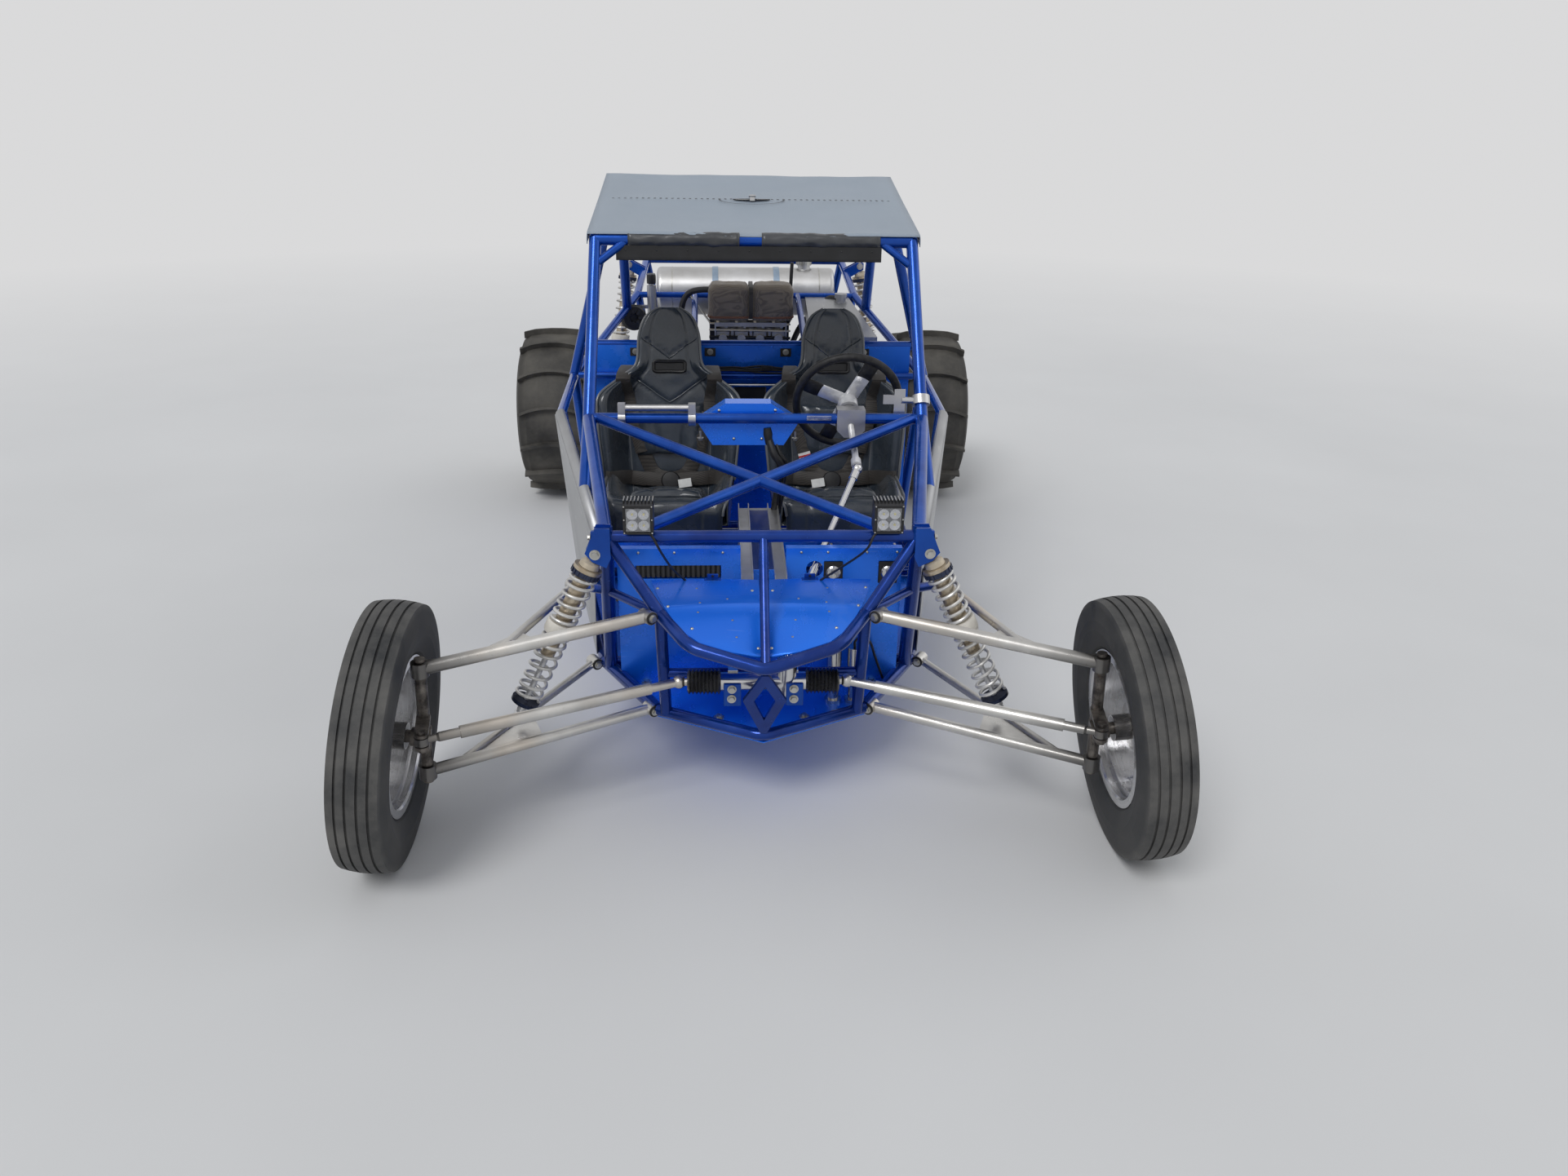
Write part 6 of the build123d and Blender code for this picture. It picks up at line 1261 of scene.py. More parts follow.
def hood_point(across, row):
    """A point on the hood's left sheet."""
    i = min(int(row), len(HOOD_ROWS) - 2)
    s0, z0, x1, s1, z1 = [mix(a, b, row - i) for a, b in zip(HOOD_ROWS[i], HOOD_ROWS[i + 1])]
    crown = 0.003 * sin(pi * across)
    return front(mix(HOOD_SPLIT, x1, across), mix(s0, s1, across), mix(z0, z1, across) + crown)


def build_hood():
    """Both sheets, their screws and rivets, and the two clips at the back."""
    sheets, screws = Shape(), Shape()
    for side in SIDES:
        rows = []
        for i in range((len(HOOD_ROWS) - 1) * 3 + 1):
            top = [flip(hood_point(j / HOOD_ACROSS, i / 3), side) for j in range(HOOD_ACROSS + 1)]
            rows.append(top + [shift(point, 0, 0, -HOOD_SHEET) for point in reversed(top)])
        sheets.grid(rows, closed_cols=True, caps=True)
        for place in HOOD_SCREWS:
            button_head(screws, flip(hood_point(*place), side), (0, -0.25, 1), 0.0048, 0.003)
        for place in HOOD_RIVETS:
            rivet = shift(flip(hood_point(*place), side), 0, 0, -0.0006)
            screws.lathe(rivet, UP, [(0, 0.0034), (0.0016, 0.0028)], 10, mark=1)
        clip = front(side * 0.133, 0.352, 0.609)
        screws.box(clip, (0.046, 0.02, 0.004), mark=2, chamfer=0.001)
        screws.box(shift(clip, 0, 0.008, 0.006), (0.03, 0.005, 0.016), mark=2, chamfer=0.001)
        screws.lathe(shift(clip, 0, 0.0055, 0.008), AHEAD, [(0, 0.004), (0.003, 0.003)], 10, mark=3)
    piece = sheets.piece("hood_sheets", "panel", "panel_blue", auto=30)
    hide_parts("hood_panels")
    screws.piece("hood_fixings", "zinc sheet candy plastic", "panel_blue")


build_hood()


# Fixings: bolts and rivets on the frame, floor, firewall, pod, bulkhead and arms.
TOWER_FACE = 0.0194
# Hexagon heads: radius and height.
TOWER_HEX, ARM_HEX, FLOOR_HEX = (0.0105, 0.0095), (0.0085, 0.007), (0.008, 0.006)
LEG_HEX, RACK_HEX, CLAMP_HEX = (0.0075, 0.007), (0.009, 0.008), (0.007, 0.006)
# The front arms' bushes on the frame, upper and then lower: their leading and trailing ends.
ARM_PIVOTS = (
    (front(0.3, 0.15, 0.592), front(0.515, 0.4, 0.575)),
    (front(0.305, 0.262, 0.262), front(0.487, 0.545, 0.265)),
)
BUSH_HALF = 0.02
BUSH_R = 0.018
FLOOR_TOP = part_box("floor_pan")[1].z
POD_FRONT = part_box("dash_pod")[0].y - 0.0002
RACK_PLATE_BACK = 0.124
# Places of bolts and rivets: floor (across, back), firewall (x), pod (x, z), pod's legs (x), bulkhead (across)
# and rack plate (across, up).
FLOOR_BOLTS = ((0.118, 0.236), (0.328, 0.444), (0.4, 0.62), (0.46, 1.05), (0.47, 1.42))
WALL_BOLTS = (-0.42, -0.147, 0.131, 0.42)
POD_RIVETS = ((-0.114, 0.935), (0.058, 0.936), (-0.069, 0.846), (0.017, 0.846))
POD_LEGS = (-0.172, 0.121)
BULKHEAD_RIVETS = (-0.34, -0.24, -0.105, 0.115, 0.19, 0.3, 0.385)
RACK_BOLTS = ((-0.083, 0.394), (-0.084, 0.366), (0.08, 0.394), (0.08, 0.364))


def build_fixings():
    """The bolts and rivets, and the plates and caps that clamp the rack and the lamp bar."""
    bolts = Shape()
    for side in SIDES:
        for eye in (FRONT_SHOCK_TOP, REAR_SHOCK_TOP):
            for level in SIDES:
                hex_head(bolts, shift(flip(eye, side), 0, level * TOWER_FACE), BACK * level, *TOWER_HEX)
        for lead, trail in ARM_PIVOTS:
            axis = (flip(trail, side) - flip(lead, side)).normalized()
            for pivot in (flip(lead, side), flip(trail, side)):
                for out in (axis, -axis):
                    end = pivot + out * (BUSH_HALF + 0.0002)
                    bolts.disc(end, out, BUSH_R * 0.92, 0.002, 18, mark=1)
                    hex_head(bolts, end + out * 0.002, out, *ARM_HEX)
        for across, back in FLOOR_BOLTS:
            foot = front(side * across, back, FLOOR_TOP)
            bolts.disc(foot, UP, 0.015, 0.0016, 18)
            hex_head(bolts, shift(foot, 0, 0, 0.0016), UP, *FLOOR_HEX)
    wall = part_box("firewall")[0].y
    for x in WALL_BOLTS:
        bolts.box((x, wall - 0.002, 0.943), (0.04, 0.004, 0.03), mark=1, chamfer=0.001)
        hex_head(bolts, Vector((x, wall - 0.004, 0.945)), AHEAD, *ARM_HEX)
    for x, z in POD_RIVETS:
        button_head(bolts, Vector((x, POD_FRONT, z)), AHEAD, 0.0052, 0.003)
    for x in POD_LEGS:
        leg = Vector((x, POD_FRONT + 0.012, 0.866))
        bolts.disc(leg, -UP, 0.004, 0.026, 10)
        hex_head(bolts, shift(leg, 0, 0, -0.02), -UP, *LEG_HEX)
    for x in BULKHEAD_RIVETS:
        button_head(bolts, front(x, 0.4495, 0.65), AHEAD, 0.0042, 0.0025)
    for x, z in RACK_BOLTS:
        hex_head(bolts, front(x, RACK_PLATE_BACK - 0.0035, z), AHEAD, *RACK_HEX)
    bolts.piece("bolts", "zinc iron", "bare_steel")

    plates = Shape()
    for side in SIDES:
        plates.box(front(side * 0.082, RACK_PLATE_BACK, 0.376), (0.046, 0.006, 0.066), chamfer=0.0015)
        cap = shift(BAR_MIDDLE, side * BAR_END_X)
        plates.tube([shift(cap, side * 0.004, -0.004, -0.01), shift(cap, side * 0.006, 0.002, 0.026)], 0.024, 20)
        plates.box(shift(cap, side * 0.026, -0.022, 0.004), (0.02, 0.014, 0.04), chamfer=0.002)
        hex_head(plates, shift(cap, side * 0.037, -0.022, 0.006), LEFT * side, *CLAMP_HEX, mark=1)
    plates.piece("clamp_plates", "candy zinc", "frame_blue")


build_fixings()


# Dash: the loom from the pod to the floor, dials, switches and the tab on the bar.
DIAL_X = (-0.075, 0.025)
DIAL_PROFILE = ((0, 0.034), (0.006, 0.036), (0.01, 0.034), (0.01, 0.03), (0.007, 0.029))
DIAL_MARKS = 9
SWITCH_X = (-0.145, 0.088)
SWITCH_PROFILE = ((0, 0.008), (0.006, 0.008), (0.007, 0.003), (0.022, 0.0022), (0.024, 0.0035))
# The loom from below the pod to the floor: across, back, up.
LOOM = ((0.056, 0.895, 0.8), (0.076, 0.9, 0.765), (0.072, 0.94, 0.7), (0.064, 0.955, 0.62),
        (0.048, 0.96, 0.53), (0.046, 0.99, 0.42), (0.052, 1.02, FLOOR_TOP + 0.014))


def build_dash():
    """The loom with its ties, two dials with switches beside them, and the tab."""
    wires = Shape()
    pod_low = POD_FRONT + 0.02
    wires.lathe((0.034, pod_low - 0.014, 0.88), (0.1, -0.1, -1), [(0, 0.013), (0.02, 0.015), (0.052, 0.01)], 16)
    loom = [Vector((0.04, pod_low - 0.018, 0.842))] + [front(*place) for place in LOOM]
    hose(wires, loom, 0.0115)
    hose(wires, [shift(point, 0.018, 0.012) for point in loom], 0.0065)
    for behind, at, ahead in zip(loom[1:5], loom[2:6], loom[3:7]):
        way = (ahead - behind).normalized()
        wires.disc(at - way * 0.004, way, 0.0128, 0.008, 14, mark=1)
    wires.piece("dash_loom", "rubber plastic", "black_rubber")

    dials = Shape()
    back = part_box("dash_pod")[1].y
    for x in DIAL_X:
        at = Vector((x, back - 0.004, 0.893))
        dials.lathe(at, BACK, DIAL_PROFILE, 32)
        dials.lathe(shift(at, 0, 0.0066), BACK, [(0, 0.0288), (0.0004, 0.0286)], 32, mark=1)
        for k in range(DIAL_MARKS):
            turn = 260 * k / (DIAL_MARKS - 1) - 130
            out = polar(UP, LEFT, radians(turn)) * 0.024
            dials.box(shift(at + out, 0, 0.0074), (0.0016, 0.0006, 0.005), spin(turn, "Y"), mark=2)
        dials.box(shift(at, 0.006, 0.0078, 0.007), (0.0016, 0.0008, 0.026), spin(40, "Y"), mark=3)
    for x in SWITCH_X:
        dials.lathe((x, back - 0.003, 0.905), BACK, SWITCH_PROFILE, 12)
    dials.piece("dash_dials", "alloy plastic white red", "panel_blue")

    tab = Shape()
    tab.box(front(0.19, 0.8765, 0.921), (0.075, 0.002, 0.014), chamfer=0.0005)
    tab.piece("bar_tab", "chrome", "polished")


build_dash()


# Steering wheel: a moulded grip, three flat spokes with sleeved ends, hub screws and the column.
WHEEL_R = 0.16
GRIP_R = 0.013
RIM_STEPS = 96
SPOKE_ANGLES = (63, 155, 246)
SPOKE_SIZE, SLEEVE_SIZE = (0.043, 0.128, 0.006), (0.047, 0.052, 0.011)
# Dimples in a spoke: distance from the centre, and section.
SPOKE_DIMPLES = (0.047, 0.066, 0.084)
DIMPLE_PROFILE = ((0, 0.0065), (0.0005, 0.0062), (0.0006, 0.0045))
HUB_R = 0.03
HUB_SCREWS = 6
# Bands round the hub: distance along the column, and section.
HUB_BANDS = (0.012, 0.04)
BAND_PROFILE = ((0, HUB_R), (0, HUB_R + 0.0012), (0.004, HUB_R + 0.0012), (0.004, HUB_R))
COLUMN_PROFILE = (
    (-0.008, 0.0), (-0.008, 0.026), (-0.004, 0.03), (0.046, 0.03), (0.046, 0.01), (0.3067, 0.01), (0.3067, 0.015),
    (0.3327, 0.015), (0.3327, 0.0),
)


def build_wheel():
    """The wheel in its own plane, square to the column."""
    wheel = Shape()
    up = LEFT.cross(COLUMN) * (1 if LEFT.cross(COLUMN).z > 0 else -1)

    def at(angle, reach, off=0.0):
        """A point of the wheel at an angle and distance from its centre, towards the column's foot by off."""
        return WHEEL_CENTRE + polar(LEFT, up, angle) * reach + COLUMN * off

    wheel.tube([at(2 * pi * k / RIM_STEPS, WHEEL_R) for k in range(RIM_STEPS)], GRIP_R, 18, closed=True)
    for angle in map(radians, SPOKE_ANGLES):
        turn = turn_to(COLUMN, polar(LEFT, up, angle))
        wheel.box(at(angle, 0.088), SPOKE_SIZE, turn, chamfer=0.0012)
        wheel.box(at(angle, 0.125), SLEEVE_SIZE, turn, chamfer=0.004)
        for reach in SPOKE_DIMPLES:
            wheel.lathe(at(angle, reach, 0.0028), COLUMN, DIMPLE_PROFILE, 16)
    wheel.lathe(WHEEL_CENTRE, COLUMN, COLUMN_PROFILE, 36)
    for k in range(HUB_SCREWS):
        hex_head(wheel, at(2 * pi * (k + 0.5) / HUB_SCREWS, 0.019, -0.008), -COLUMN, 0.0036, 0.003)
    for off in HUB_BANDS:
        wheel.lathe(WHEEL_CENTRE + COLUMN * off, COLUMN, BAND_PROFILE, 36)
    piece = wheel.piece("wheel_rim", "wheel", "polished", body="steering_wheel", auto=40)
    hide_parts("steering_wheel")


build_wheel()


# Behind the seats: the harness bar between the hip tubes, its anchor rod and the wiring over it.
HARNESS_HALF = 0.628
ROD_HALF = 0.2
WIRES = 5
WIRE_POINTS = 8


def build_harness_bar():
    """The bar with the rod below it on two tabs, five wires over it and two plugs."""
    bar = Shape()
    bar.tube([front(x, HARNESS_BACK, HARNESS_Z) for x in (-HARNESS_HALF, HARNESS_HALF)], 0.0125, 20)
    bar.tube([front(x, HARNESS_BACK - 0.006, 0.828) for x in (-ROD_HALF, ROD_HALF)], 0.0075, 14, mark=1)
    for x in (-0.185, 0.185):
        bar.box(front(x, HARNESS_BACK - 0.003, 0.846), (0.016, 0.01, 0.044), chamfer=0.002)
    bar.piece("harness_bar", "candy alloy", "frame_blue")
    wires = Shape()
    for k in range(WIRES):
        drift = [noise.noise(Vector((k * 3.7, i * 0.9, 0.5))) for i in range(WIRE_POINTS)]
        line = [front(0.085 * i - 0.3, HARNESS_BACK - 0.014 + 0.004 * swing, 0.88 + 0.012 * rise + 0.004 * k)
                for i, (swing, rise) in enumerate(zip(drift[::-1], drift))]
        hose(wires, line, 0.003 + 0.0008 * (k % 3), sides=6)
    wires.box(front(0.06, HARNESS_BACK - 0.012, 0.892), (0.045, 0.022, 0.018), mark=1, chamfer=0.003)
    wires.box(front(0.0, HARNESS_BACK + 0.008, 0.79), (0.12, 0.016, 0.06), mark=1, chamfer=0.004)
    wires.piece("rear_wiring", "rubber plastic", "black_rubber")


build_harness_bar()


# Lamp wires, hydraulic lines, and the boots and vent on the bulkhead.
LINE_X = (0.205, 0.262)
# A hydraulic line: across from its start, back, up.
LINE = ((0, 0.33, 0.414), (0, 0.326, 0.432), (0.02, 0.345, 0.44), (0.05, 0.385, 0.4), (0.07, 0.42, 0.34),
        (0.1, 0.436, FLOOR_TOP + 0.008))
BOOT_X = (0.206, 0.361)
BOOT_PROFILE = ((0, 0.0205), (0.0025, 0.0205), (0.006, 0.0165), (0.0065, 0.006), (0.018, 0.0045))
VENT_RIBS = 17


def build_front_lines():
    """Wires from the lamps, lines to the floor, the boots and the ribbed vent."""
    lines = Shape()
    for side, end in ((-1, front(-0.205, 0.35, 0.607)), (1, front(0.16, 0.345, 0.607))):
        start = shift(BAR_MIDDLE, side * (LAMP_X - 0.012), 0.004, 0.022)
        hose(lines, [start, shift(start, -side * 0.022, -0.022, -0.018), shift(start, -side * 0.04, -0.012, -0.06),
                     shift(mix(start, end, 0.62), 0, 0, -0.016), shift(end, side * 0.008, -0.006, 0.01), end],
             0.0032, sides=8)
    for x in LINE_X:
        hose(lines, [front(x + across, back, up) for across, back, up in LINE], 0.0038, sides=8)
    lines.piece("front_lines", "rubber", "black_rubber")

    guards = Shape()
    for x in BOOT_X:
        guards.box(front(x, 0.4478, 0.59), (0.054, 0.0038, 0.066), chamfer=0.0018)
        guards.lathe(front(x, 0.446, 0.59), AHEAD, BOOT_PROFILE, 28, mark=1)
    for k in range(VENT_RIBS):
        guards.box(front(0.014 * k - 0.342, 0.457, 0.592), (0.0075, 0.006, 0.036), mark=2)
    guards.box(front(-0.23, 0.4615, 0.592), (0.236, 0.002, 0.038))
    guards.piece("pedal_guards", "rubber alloy bellows", "black_rubber")


build_front_lines()


# Body sides: the sheet's edge rolled over the hip tube, with rivets along it.
SIDE_NOSE = mix(shift(BAR_MIDDLE, BAR_END_X), front(0.434, 0.514, 0.265), 0.16)
SIDE_HIP = front(0.64, 1.26, 0.832)
EDGE_R = 0.0196
EDGE_STEPS = 10
EDGE_RIVETS = 15


def build_side_trim():
    """The rolled edge on both sides."""
    edges = Shape()
    for side in SIDES:
        start, end = (flip(mix(SIDE_NOSE, SIDE_HIP, share), side) for share in (0.12, 0.995))
        way = (end - start).normalized()
        out = (LEFT * side - way * way.x * side).normalized()
        up = way.cross(out) * (1 if way.cross(out).z > 0 else -1)
        rows = []
        for k in range(EDGE_STEPS + 1):
            ring = polar(out, up, radians(190 * k / EDGE_STEPS - 70)) * EDGE_R
            rows.append([start + ring, end + ring])
        edges.grid(rows)
        for k in range(EDGE_RIVETS):
            at = mix(start, end, (k + 0.5) / EDGE_RIVETS) + out * (EDGE_R + 0.0001) - up * 0.004
            button_head(edges, at, out, 0.004, 0.0022, mark=1)
    thicken(edges.piece("side_edges", "sheet zinc", "bare_sheet", auto=50), 0.0012)


build_side_trim()


# Roof: the dark wrap round the front tube, its latch, the fold and the stitched line.
WRAP_SPANS = ((-0.395, -0.048), (0.022, 0.395))
WRAP_LONG, WRAP_ROUND = 32, 17
STITCH = (0.0014, 0.0012)
# Stitches in the arc behind the front tube, and in each line over the middle tube, with that line's half length.
ARC_STITCHES, LINE_STITCHES = 40, 47
LINE_HALF = 0.47
VISOR_RIVETS = 8
SLIT = ((-0.062, 0.0), (-0.03, -0.009), (0.0, -0.013), (0.03, -0.009), (0.062, 0.0), (0.03, 0.009), (0.0, 0.012),
        (-0.03, 0.009))
# The visor's section: distance behind the front tube and height.
VISOR = ((-0.0175, 1.386), (-0.0175, 1.352), (-0.0183, 1.3435), (-0.017, 1.3405), (-0.01, 1.341),
         (-0.0125, 1.347), (-0.0125, 1.38))


def build_wrap():
    """The wrap in two lengths, rucked round the tube."""
    wrap = Shape()
    for first, last in WRAP_SPANS:
        rows = []
        for i in range(WRAP_LONG + 1):
            x = mix(first, last, i / WRAP_LONG)
            row = []
            for k in range(WRAP_ROUND + 1):
                angle = radians(88 + 232 * k / WRAP_ROUND)
                ruck = noise.noise(Vector((x * 26, angle * 1.6, first))) * 0.0034
                ruck += noise.noise(Vector((x * 90, angle * 2.2, first))) * 0.0012
                reach = TUBE_R + 0.0042 + ruck
                row.append(Vector((x, ROOF_FRONT.y + cos(angle) * reach, ROOF_FRONT.z + sin(angle) * reach)))
            rows.append(row)
        wrap.grid(rows)
    piece = wrap.piece("roof_wrap", "wrap", "roof_cloth", auto=0)
    thicken(piece, 0.0015)


def build_stitches():
    """The stitched lines and the latch in its slit."""
    trim = Shape()
    top = ROOF_MIDDLE.z + TUBE_R
    length = ROOF_MIDDLE.y - ROOF_FRONT.y
    for k in range(ARC_STITCHES + 1):
        angle = pi * k / ARC_STITCHES
        back = length - 0.006 - 0.05 * sin(angle)
        share = back / length
        up = mix(ROOF_FRONT.z, ROOF_MIDDLE.z, share) + TUBE_R + 0.0075 - 0.007 * sin(pi * share)
        trim.box((0.11 * cos(angle), ROOF_FRONT.y + back, up), (0.006, *STITCH))
    for k in range(LINE_STITCHES + 1):
        for offset in (-0.009, 0.009):
            x = 2 * LINE_HALF * k / LINE_STITCHES - LINE_HALF
            trim.box((x, ROOF_MIDDLE.y + offset, top + 0.007), (0.008, *STITCH))
    latch = Vector((0.0, ROOF_MIDDLE.y - 0.004, top + 0.0065))
    rim = curve_points([shift(latch, x, y) for x, y in SLIT], 4, closed=True)
    trim.tube(rim, 0.0022, 6, closed=True, mark=2)
    half = len(rim) // 2
    trim.grid([rim[:half + 1], [rim[0]] + rim[half:][::-1]], mark=3)
    trim.box(shift(latch, 0.002, 0.0, 0.01), (0.024, 0.046, 0.005), spin(-12, "X"), mark=1, chamfer=0.0015)
    trim.box(shift(latch, 0.002, -0.018, 0.004), (0.018, 0.006, 0.014), mark=1, chamfer=0.001)
    button_head(trim, shift(latch, 0.002, 0.004, 0.013), (0, -0.2, 1), 0.0042, 0.003, mark=1)
    trim.piece("roof_stitches", "piping alloy wrap candy", "roof_cloth")


def build_visor():
    """The visor strip under the front tube, with its rivets."""
    strip = Shape()
    low, high = (corner.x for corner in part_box("roof_visor"))
    rows = [[Vector((x, ROOF_FRONT.y + y, z)) for y, z in VISOR] for x in (low, low / 2, 0.0, high / 2, high)]
    strip.grid(rows, closed_cols=True, caps=True)
    for k in range(VISOR_RIVETS + 1):
        x = mix(low + 0.03, high - 0.03, k / VISOR_RIVETS)
        button_head(strip, Vector((x, ROOF_FRONT.y - 0.0171, 1.372)), AHEAD, 0.003, 0.0015)
    piece = strip.piece("visor_strip", "plastic", "black_plastic", auto=30)
    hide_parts("roof_visor")


build_wrap()
build_stitches()
build_visor()


# Engine bay: hoses, plug leads, throttle linkage, bolts and clamps.
CARB_X = (-0.099, -0.023, 0.053, 0.129)
CARB_AHEAD = 0.715
# Hoses: radius, then points as across, ahead of the rear axle, up.
HOSES = (
    (0.0125, (-0.08, 0.7, 1.06), (-0.16, 0.69, 1.072), (-0.23, 0.68, 1.06), (-0.262, 0.68, 1.02),
     (-0.268, 0.68, 0.95), (-0.23, 0.69, 0.87), (-0.19, 0.7, 0.8)),
    (0.012, (0.392, 0.64, 1.02), (0.35, 0.62, 1.03), (0.29, 0.64, 0.985), (0.225, 0.67, 0.92),
     (0.185, 0.69, 0.84)),
    (0.0095, (0.3, 0.74, 0.935), (0.24, 0.76, 0.9), (0.19, 0.76, 0.82), (0.176, 0.74, 0.745)),
)
SMALL_HOSES = (
    (0.009, (-0.392, 0.655, 0.975), (-0.392, 0.62, 0.93), (-0.33, 0.6, 0.86), (-0.21, 0.6, 0.8)),
    (0.0055, (0.1, 0.43, 0.935), (0.1, 0.5, 0.9), (0.13, 0.57, 0.9), (0.129, 0.66, 0.905)),
    (0.0075, (0.165, 0.69, 0.93), (0.183, 0.64, 0.95), (0.186, 0.605, 1.0), (0.186, 0.598, 1.08),
     (0.19, 0.596, 1.17)),
)
BREATHER_CAP = ((0, 0.011), (0, 0.0182), (0.01, 0.019), (0.03, 0.019), (0.0395, 0.0165), (0.0395, 0.0))
FAN_PROFILE = ((0, 0.052), (0.028, 0.052), (0.034, 0.044), (0.034, 0.02), (0.02, 0.016))
FAN_BLADES = 7
# The throttle linkage: height, distance ahead of the rear axle, radius, mark.
RODS = ((0.922, 0.76, 0.0042, 3), (0.893, 0.764, 0.006, 2), (0.948, 0.756, 0.004, 3), (0.866, 0.77, 0.012, 2))
# Clamps on each carburettor: height and radius.
CARB_CLAMPS = ((0.815, 0.0275), (0.905, 0.0265), (0.955, 0.0275))
# Levers between the carburettors: across. Bolts on the head: across, and ahead of the rear axle.
LEVER_X = (-0.06, 0.016, 0.092)
HEAD_BOLTS_X = (-0.165, -0.085, 0.0, 0.085, 0.165)
HEAD_BOLTS_AHEAD = (0.575, 0.785)
# Bolt circles on the engine's ends: side, distance ahead, height, radius, count.
BOLT_CIRCLES = ((1, 0.7, 0.44, 0.082, 8), (-1, 0.69, 0.43, 0.057, 6))


def build_engine_hoses():
    """Hoses, plug leads with their caps, the breather's cap and the fan on the right."""
    hoses = Shape()
    for radius, *points in HOSES:
        hose(hoses, [rear(*point) for point in points], radius)
    for i, x in enumerate(CARB_X):
        lead = [rear(x, 0.64, 0.812), rear(x - 0.004, 0.615, 0.84), rear(x - 0.02, 0.59, 0.842),
                rear(0.02 * i - 0.1, 0.555, 0.8), rear(-0.14, 0.545, 0.72)]
        hose(hoses, lead, 0.0038, sides=8)
        hoses.lathe(rear(x, 0.64, 0.806), UP, [(0, 0.009), (0.018, 0.009), (0.024, 0.005)], 12)
    for radius, *points in SMALL_HOSES:
        hose(hoses, [rear(*point) for point in points], radius)
    hoses.lathe(rear(-0.392, 0.655, 1.0895), UP, BREATHER_CAP, 24, mark=1)
    hoses.lathe(rear(-0.47, 0.7, 0.96), (0.3, -1, 0.1), FAN_PROFILE, 28, mark=1)
    for k in range(FAN_BLADES):
        turn = 360 * k / FAN_BLADES
        out = polar(LEFT, UP, radians(turn)) * 0.026
        hoses.box(rear(-0.46, 0.734, 0.9634) + out, (0.02, 0.002, 0.01), spin(-turn, "Y"), mark=1)
    hoses.piece("engine_hoses", "rubber plastic", "black_rubber")


def build_engine_fixings():
    """Clamps and bolts on the carburettors, the linkage across them, and the engine's bolts."""
    metal = Shape()
    for x in CARB_X:
        for up, reach in CARB_CLAMPS:
            metal.disc(rear(x, CARB_AHEAD, up), UP, reach, 0.008, 20, mark=3)
        hex_head(metal, rear(x - 0.014, CARB_AHEAD + 0.028, 0.902), (0, -1, 0.1), 0.0075, 0.008)
        hex_head(metal, rear(x + 0.014, CARB_AHEAD + 0.026, 0.93), (0, -1, 0.1), 0.0045, 0.006)
        metal.lathe(rear(x + 0.004, CARB_AHEAD + 0.03, 0.88), AHEAD, [(0, 0.012), (0.01, 0.012), (0.014, 0.006)], 14,
                    mark=2)
        metal.box(rear(x, CARB_AHEAD + 0.034, 0.968), (0.044, 0.012, 0.01), mark=3, chamfer=0.002)
        metal.lathe(rear(x - 0.02, CARB_AHEAD + 0.04, 0.944), UP, [(0, 0.0075), (0.012, 0.0075), (0.018, 0.0045)], 12,
                    mark=3)
        button_head(metal, rear(x + 0.018, CARB_AHEAD + 0.066, 0.869), (0, -1, 0.3), 0.009, 0.006, mark=3)
    for up, ahead, radius, mark in RODS:
        metal.tube([rear(-0.155, ahead, up), rear(0.178, ahead, up - 0.004)], radius, 12, mark=mark)
    for x in LEVER_X:
        metal.box(rear(x, 0.752, 0.912), (0.014, 0.008, 0.034), mark=1, chamfer=0.002)
        metal.box(rear(x, 0.72, 0.88), (0.034, 0.01, 0.12), mark=1, chamfer=0.002)
        metal.lathe(rear(x, 0.73, 0.87), AHEAD, [(0, 0.011), (0.02, 0.011), (0.024, 0.006)], 14)
    metal.box(rear(0.011, 0.69, 0.9), (0.33, 0.006, 0.1), mark=2, chamfer=0.001)
    metal.tube([rear(-0.238, 0.672, 1.052), rear(-0.15, 0.735, 0.945)], 0.0042, 8)
    for x in HEAD_BOLTS_X:
        for ahead in HEAD_BOLTS_AHEAD:
            hex_head(metal, rear(x, ahead, 0.8102), UP, 0.0065, 0.006)
    low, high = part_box("engine")
    for side, ahead, up, reach, count in BOLT_CIRCLES:
        centre = rear(high.x if side == 1 else low.x, ahead, up)
        for k in range(count):
            out = polar(BACK, UP, 2 * pi * k / count) * reach
            hex_head(metal, centre + out, LEFT * side, 0.0048, 0.005)
    metal.piece("engine_fixings", "zinc carb plastic brass", "bare_steel")


build_engine_hoses()
build_engine_fixings()


# Fuel tank: strap buckles, welded seams and the filler's knurled cap.
TANK = rear(0, 0.43, 1.025)
TANK_R = 0.1
STRAP_X = 0.13
# The seam near each end of the tank: distance along the tank and radius.
TANK_SEAM_X = 0.313
TANK_SEAM = ((-0.0035, 0.099), (-0.002, 0.101), (0.002, 0.101), (0.0035, 0.099))
FILLER_X = 0.25
FILLER_CAP = ((-0.015, 0.0312), (-0.015, 0.033), (0.001, 0.033), (0.003, 0.03), (0.004, 0.018), (0.01, 0.016),
              (0.011, 0.0))
KNURLS = 16


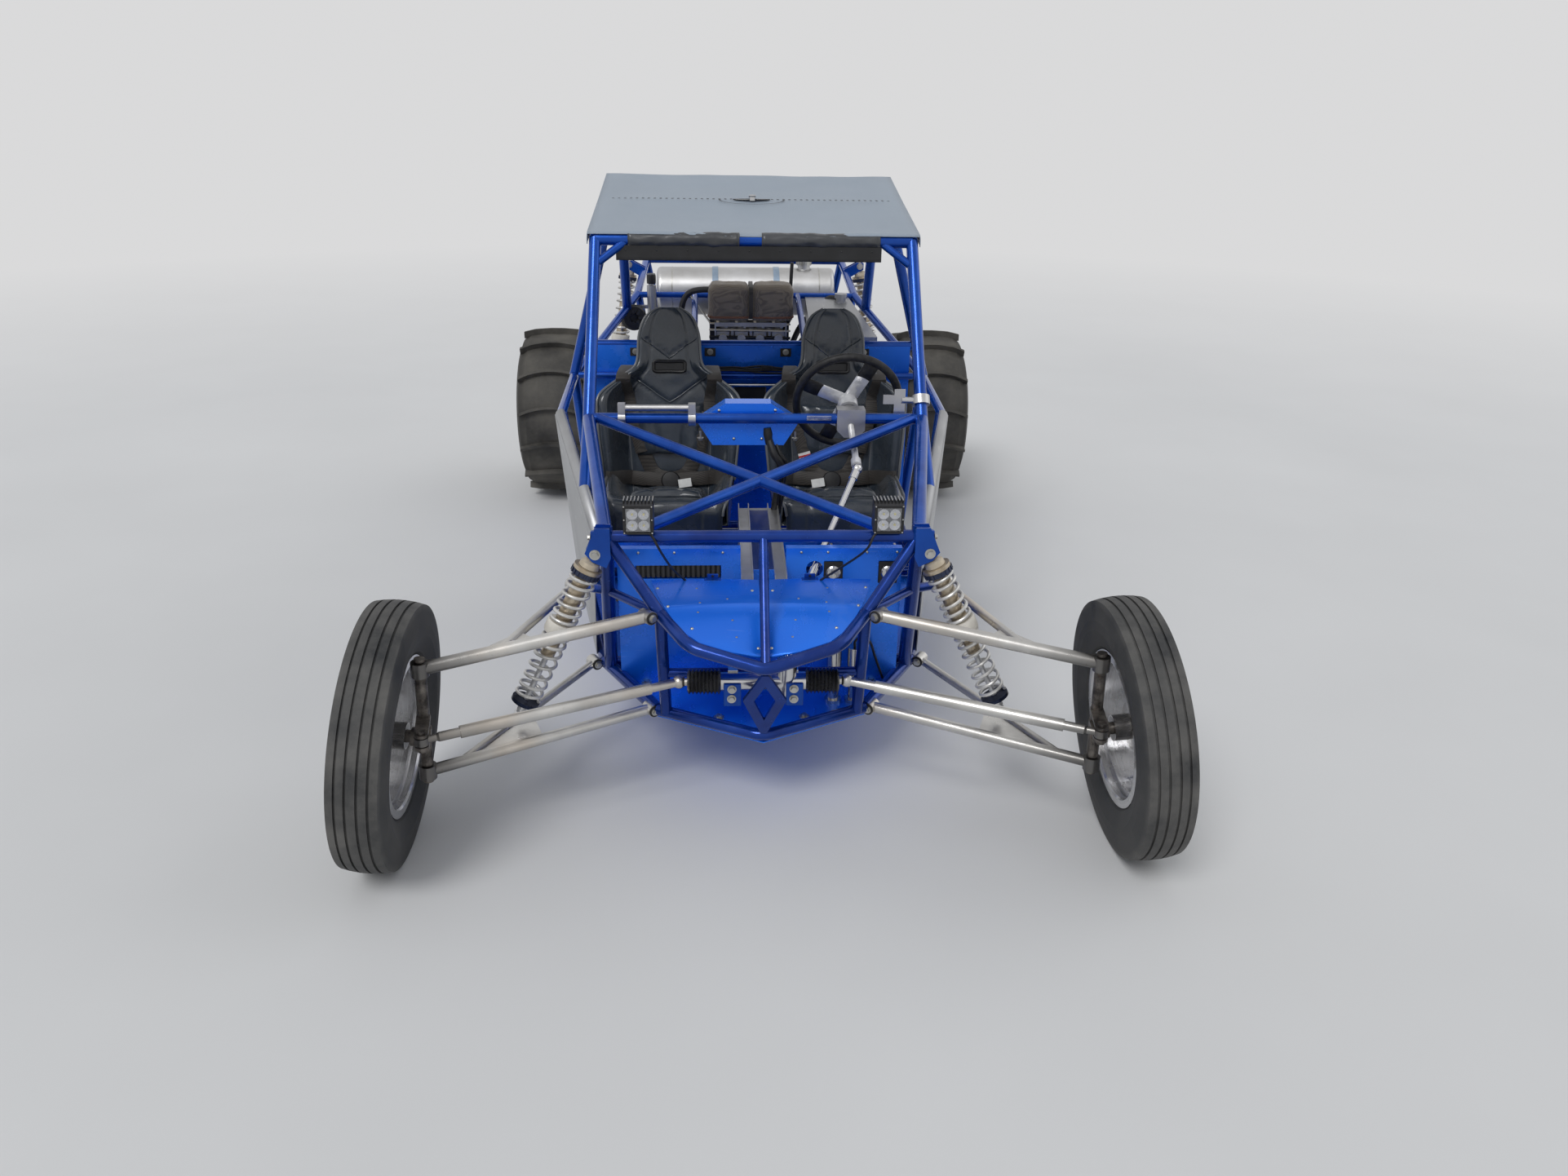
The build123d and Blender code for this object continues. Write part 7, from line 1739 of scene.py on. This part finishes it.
def build_tank_trim():
    """The tank's small fittings."""
    trim = Shape()
    for side in SIDES:
        at = shift(TANK, side * STRAP_X, -TANK_R * 0.8, -TANK_R * 0.66)
        trim.box(at, (0.03, 0.018, 0.016), spin(40, "X"), chamfer=0.002)
        hex_head(trim, shift(at, 0, -0.01, -0.008), (0, -0.76, -0.65), 0.0065, 0.01)
        trim.lathe(shift(TANK, side * TANK_SEAM_X), LEFT, TANK_SEAM, 48)
    cap = Vector((FILLER_X, TANK.y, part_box("fuel_tank")[1].z))
    trim.lathe(cap, UP, FILLER_CAP, 32)
    for k in range(KNURLS):
        turn = 360 * k / KNURLS
        out = polar(LEFT, BACK, radians(turn)) * 0.0332
        trim.box(shift(cap + out, 0, 0, -0.007), (0.002, 0.0036, 0.014), spin(turn, "Z"))
    trim.piece("tank_fixings", "zinc", "bare_steel")


build_tank_trim()


# Floor, lights and camera.
BACKDROP = (0.7, 0.7, 0.705, 1)
FLOOR_HALF = 90.0
# Lights: name, direction, angle, power.
SUNS = (
    ("key_light", (0.45, 0.75, -1.0), 24.0, 1.25),
    ("fill_light", (-0.9, -0.2, -0.55), 50.0, 0.35),
)


def seen_directly(nodes, links):
    """1 for camera, mirror and glass rays, 0 for the rays that light the object."""
    path = nodes.new("ShaderNodeLightPath")
    total = path.outputs["Is Camera Ray"]
    for extra in ("Is Glossy Ray", "Is Transmission Ray"):
        most = nodes.new("ShaderNodeMath")
        most.operation = "MAXIMUM"
        links.new(total, most.inputs[0])
        links.new(path.outputs[extra], most.inputs[1])
        total = most.outputs[0]
    return total


def mix_shaders(tree, share, first, second, output):
    """Mixes two shaders into the tree's output."""
    both = tree.nodes.new("ShaderNodeMixShader")
    for source, target in zip((share, first, second), both.inputs):
        tree.links.new(source, target)
    tree.links.new(both.outputs[0], tree.nodes[output].inputs["Surface"])


def build_floor():
    """A pale floor that fades into the backdrop."""
    f = Finish("studio_floor")
    f.finish(f.mottle((0.8, 3.0), 0.3, 0.7, (0.66, 0.66, 0.66), (0.69, 0.69, 0.69)), 0.9)
    far = f.span(f.vector("LENGTH", 1, i0=f.place), 4.5, 11.0)
    share = f.times(far, seen_directly(f.tree.nodes, f.tree.links))
    glow = f.node("Emission", Color=BACKDROP)
    mix_shaders(f.tree, share, f.shader.outputs[0], glow, "Material Output")
    mesh = bpy.data.meshes.new("studio_floor")
    corners = [(x * FLOOR_HALF, y * FLOOR_HALF, 0) for x, y in ((-1, -1), (1, -1), (1, 1), (-1, 1))]
    mesh.from_pydata(corners, [], [(0, 1, 2, 3)])
    mesh.materials.append(f.material)
    ground = link_object("studio_floor", mesh)
    ground.location.z = -0.0005


def build_lights():
    """A soft sky that the camera sees as the backdrop, and two broad suns."""
    world = bpy.data.worlds.new("studio")
    bpy.context.scene.world = world
    world.use_nodes = True
    nodes, links = world.node_tree.nodes, world.node_tree.links
    lit = nodes["Background"]
    lit.inputs["Color"].default_value = (0.93, 0.96, 1.0, 1)
    lit.inputs["Strength"].default_value = 0.52
    seen = nodes.new("ShaderNodeBackground")
    seen.inputs["Color"].default_value = BACKDROP
    mix_shaders(world.node_tree, seen_directly(nodes, links), lit.outputs[0], seen.outputs[0], "World Output")
    for name, direction, angle, power in SUNS:
        lamp = bpy.data.lights.new(name, "SUN")
        lamp.angle = radians(angle)
        lamp.energy = power
        link_object(name, lamp).rotation_euler = Vector(direction).to_track_quat("-Z", "Y").to_euler()


# The photo's camera, solved from the frame's points.
CAMERA_AT = (-0.107, -4.174, 1.863)
CAMERA_YAW = 0.0565
CAMERA_PITCH = 0.4035
CAMERA_ROLL = -0.0171
FOCAL_PIXELS = 1455
PHOTO_WIDTH = 1922
SENSOR = 36.0


def build_camera():
    """The camera that the photo was taken with."""
    level = Vector((sin(CAMERA_YAW), cos(CAMERA_YAW), 0))
    ahead = polar(level, -UP, CAMERA_PITCH)
    right = Vector((cos(CAMERA_YAW), -sin(CAMERA_YAW), 0))
    down = ahead.cross(right)
    right, down = polar(right, down, CAMERA_ROLL), polar(down, -right, CAMERA_ROLL)
    data = bpy.data.cameras.new("photo_camera")
    data.sensor_width = SENSOR
    data.sensor_fit = "HORIZONTAL"
    data.lens = FOCAL_PIXELS / PHOTO_WIDTH * SENSOR
    data.clip_end = 300
    camera = link_object("photo_camera", data)
    camera.matrix_world = Matrix.Translation(CAMERA_AT) @ Matrix((right, -down, -ahead)).transposed().to_4x4()
    bpy.context.scene.camera = camera
    bpy.context.scene.view_settings.view_transform = "Standard"


build_floor()
build_lights()
build_camera()
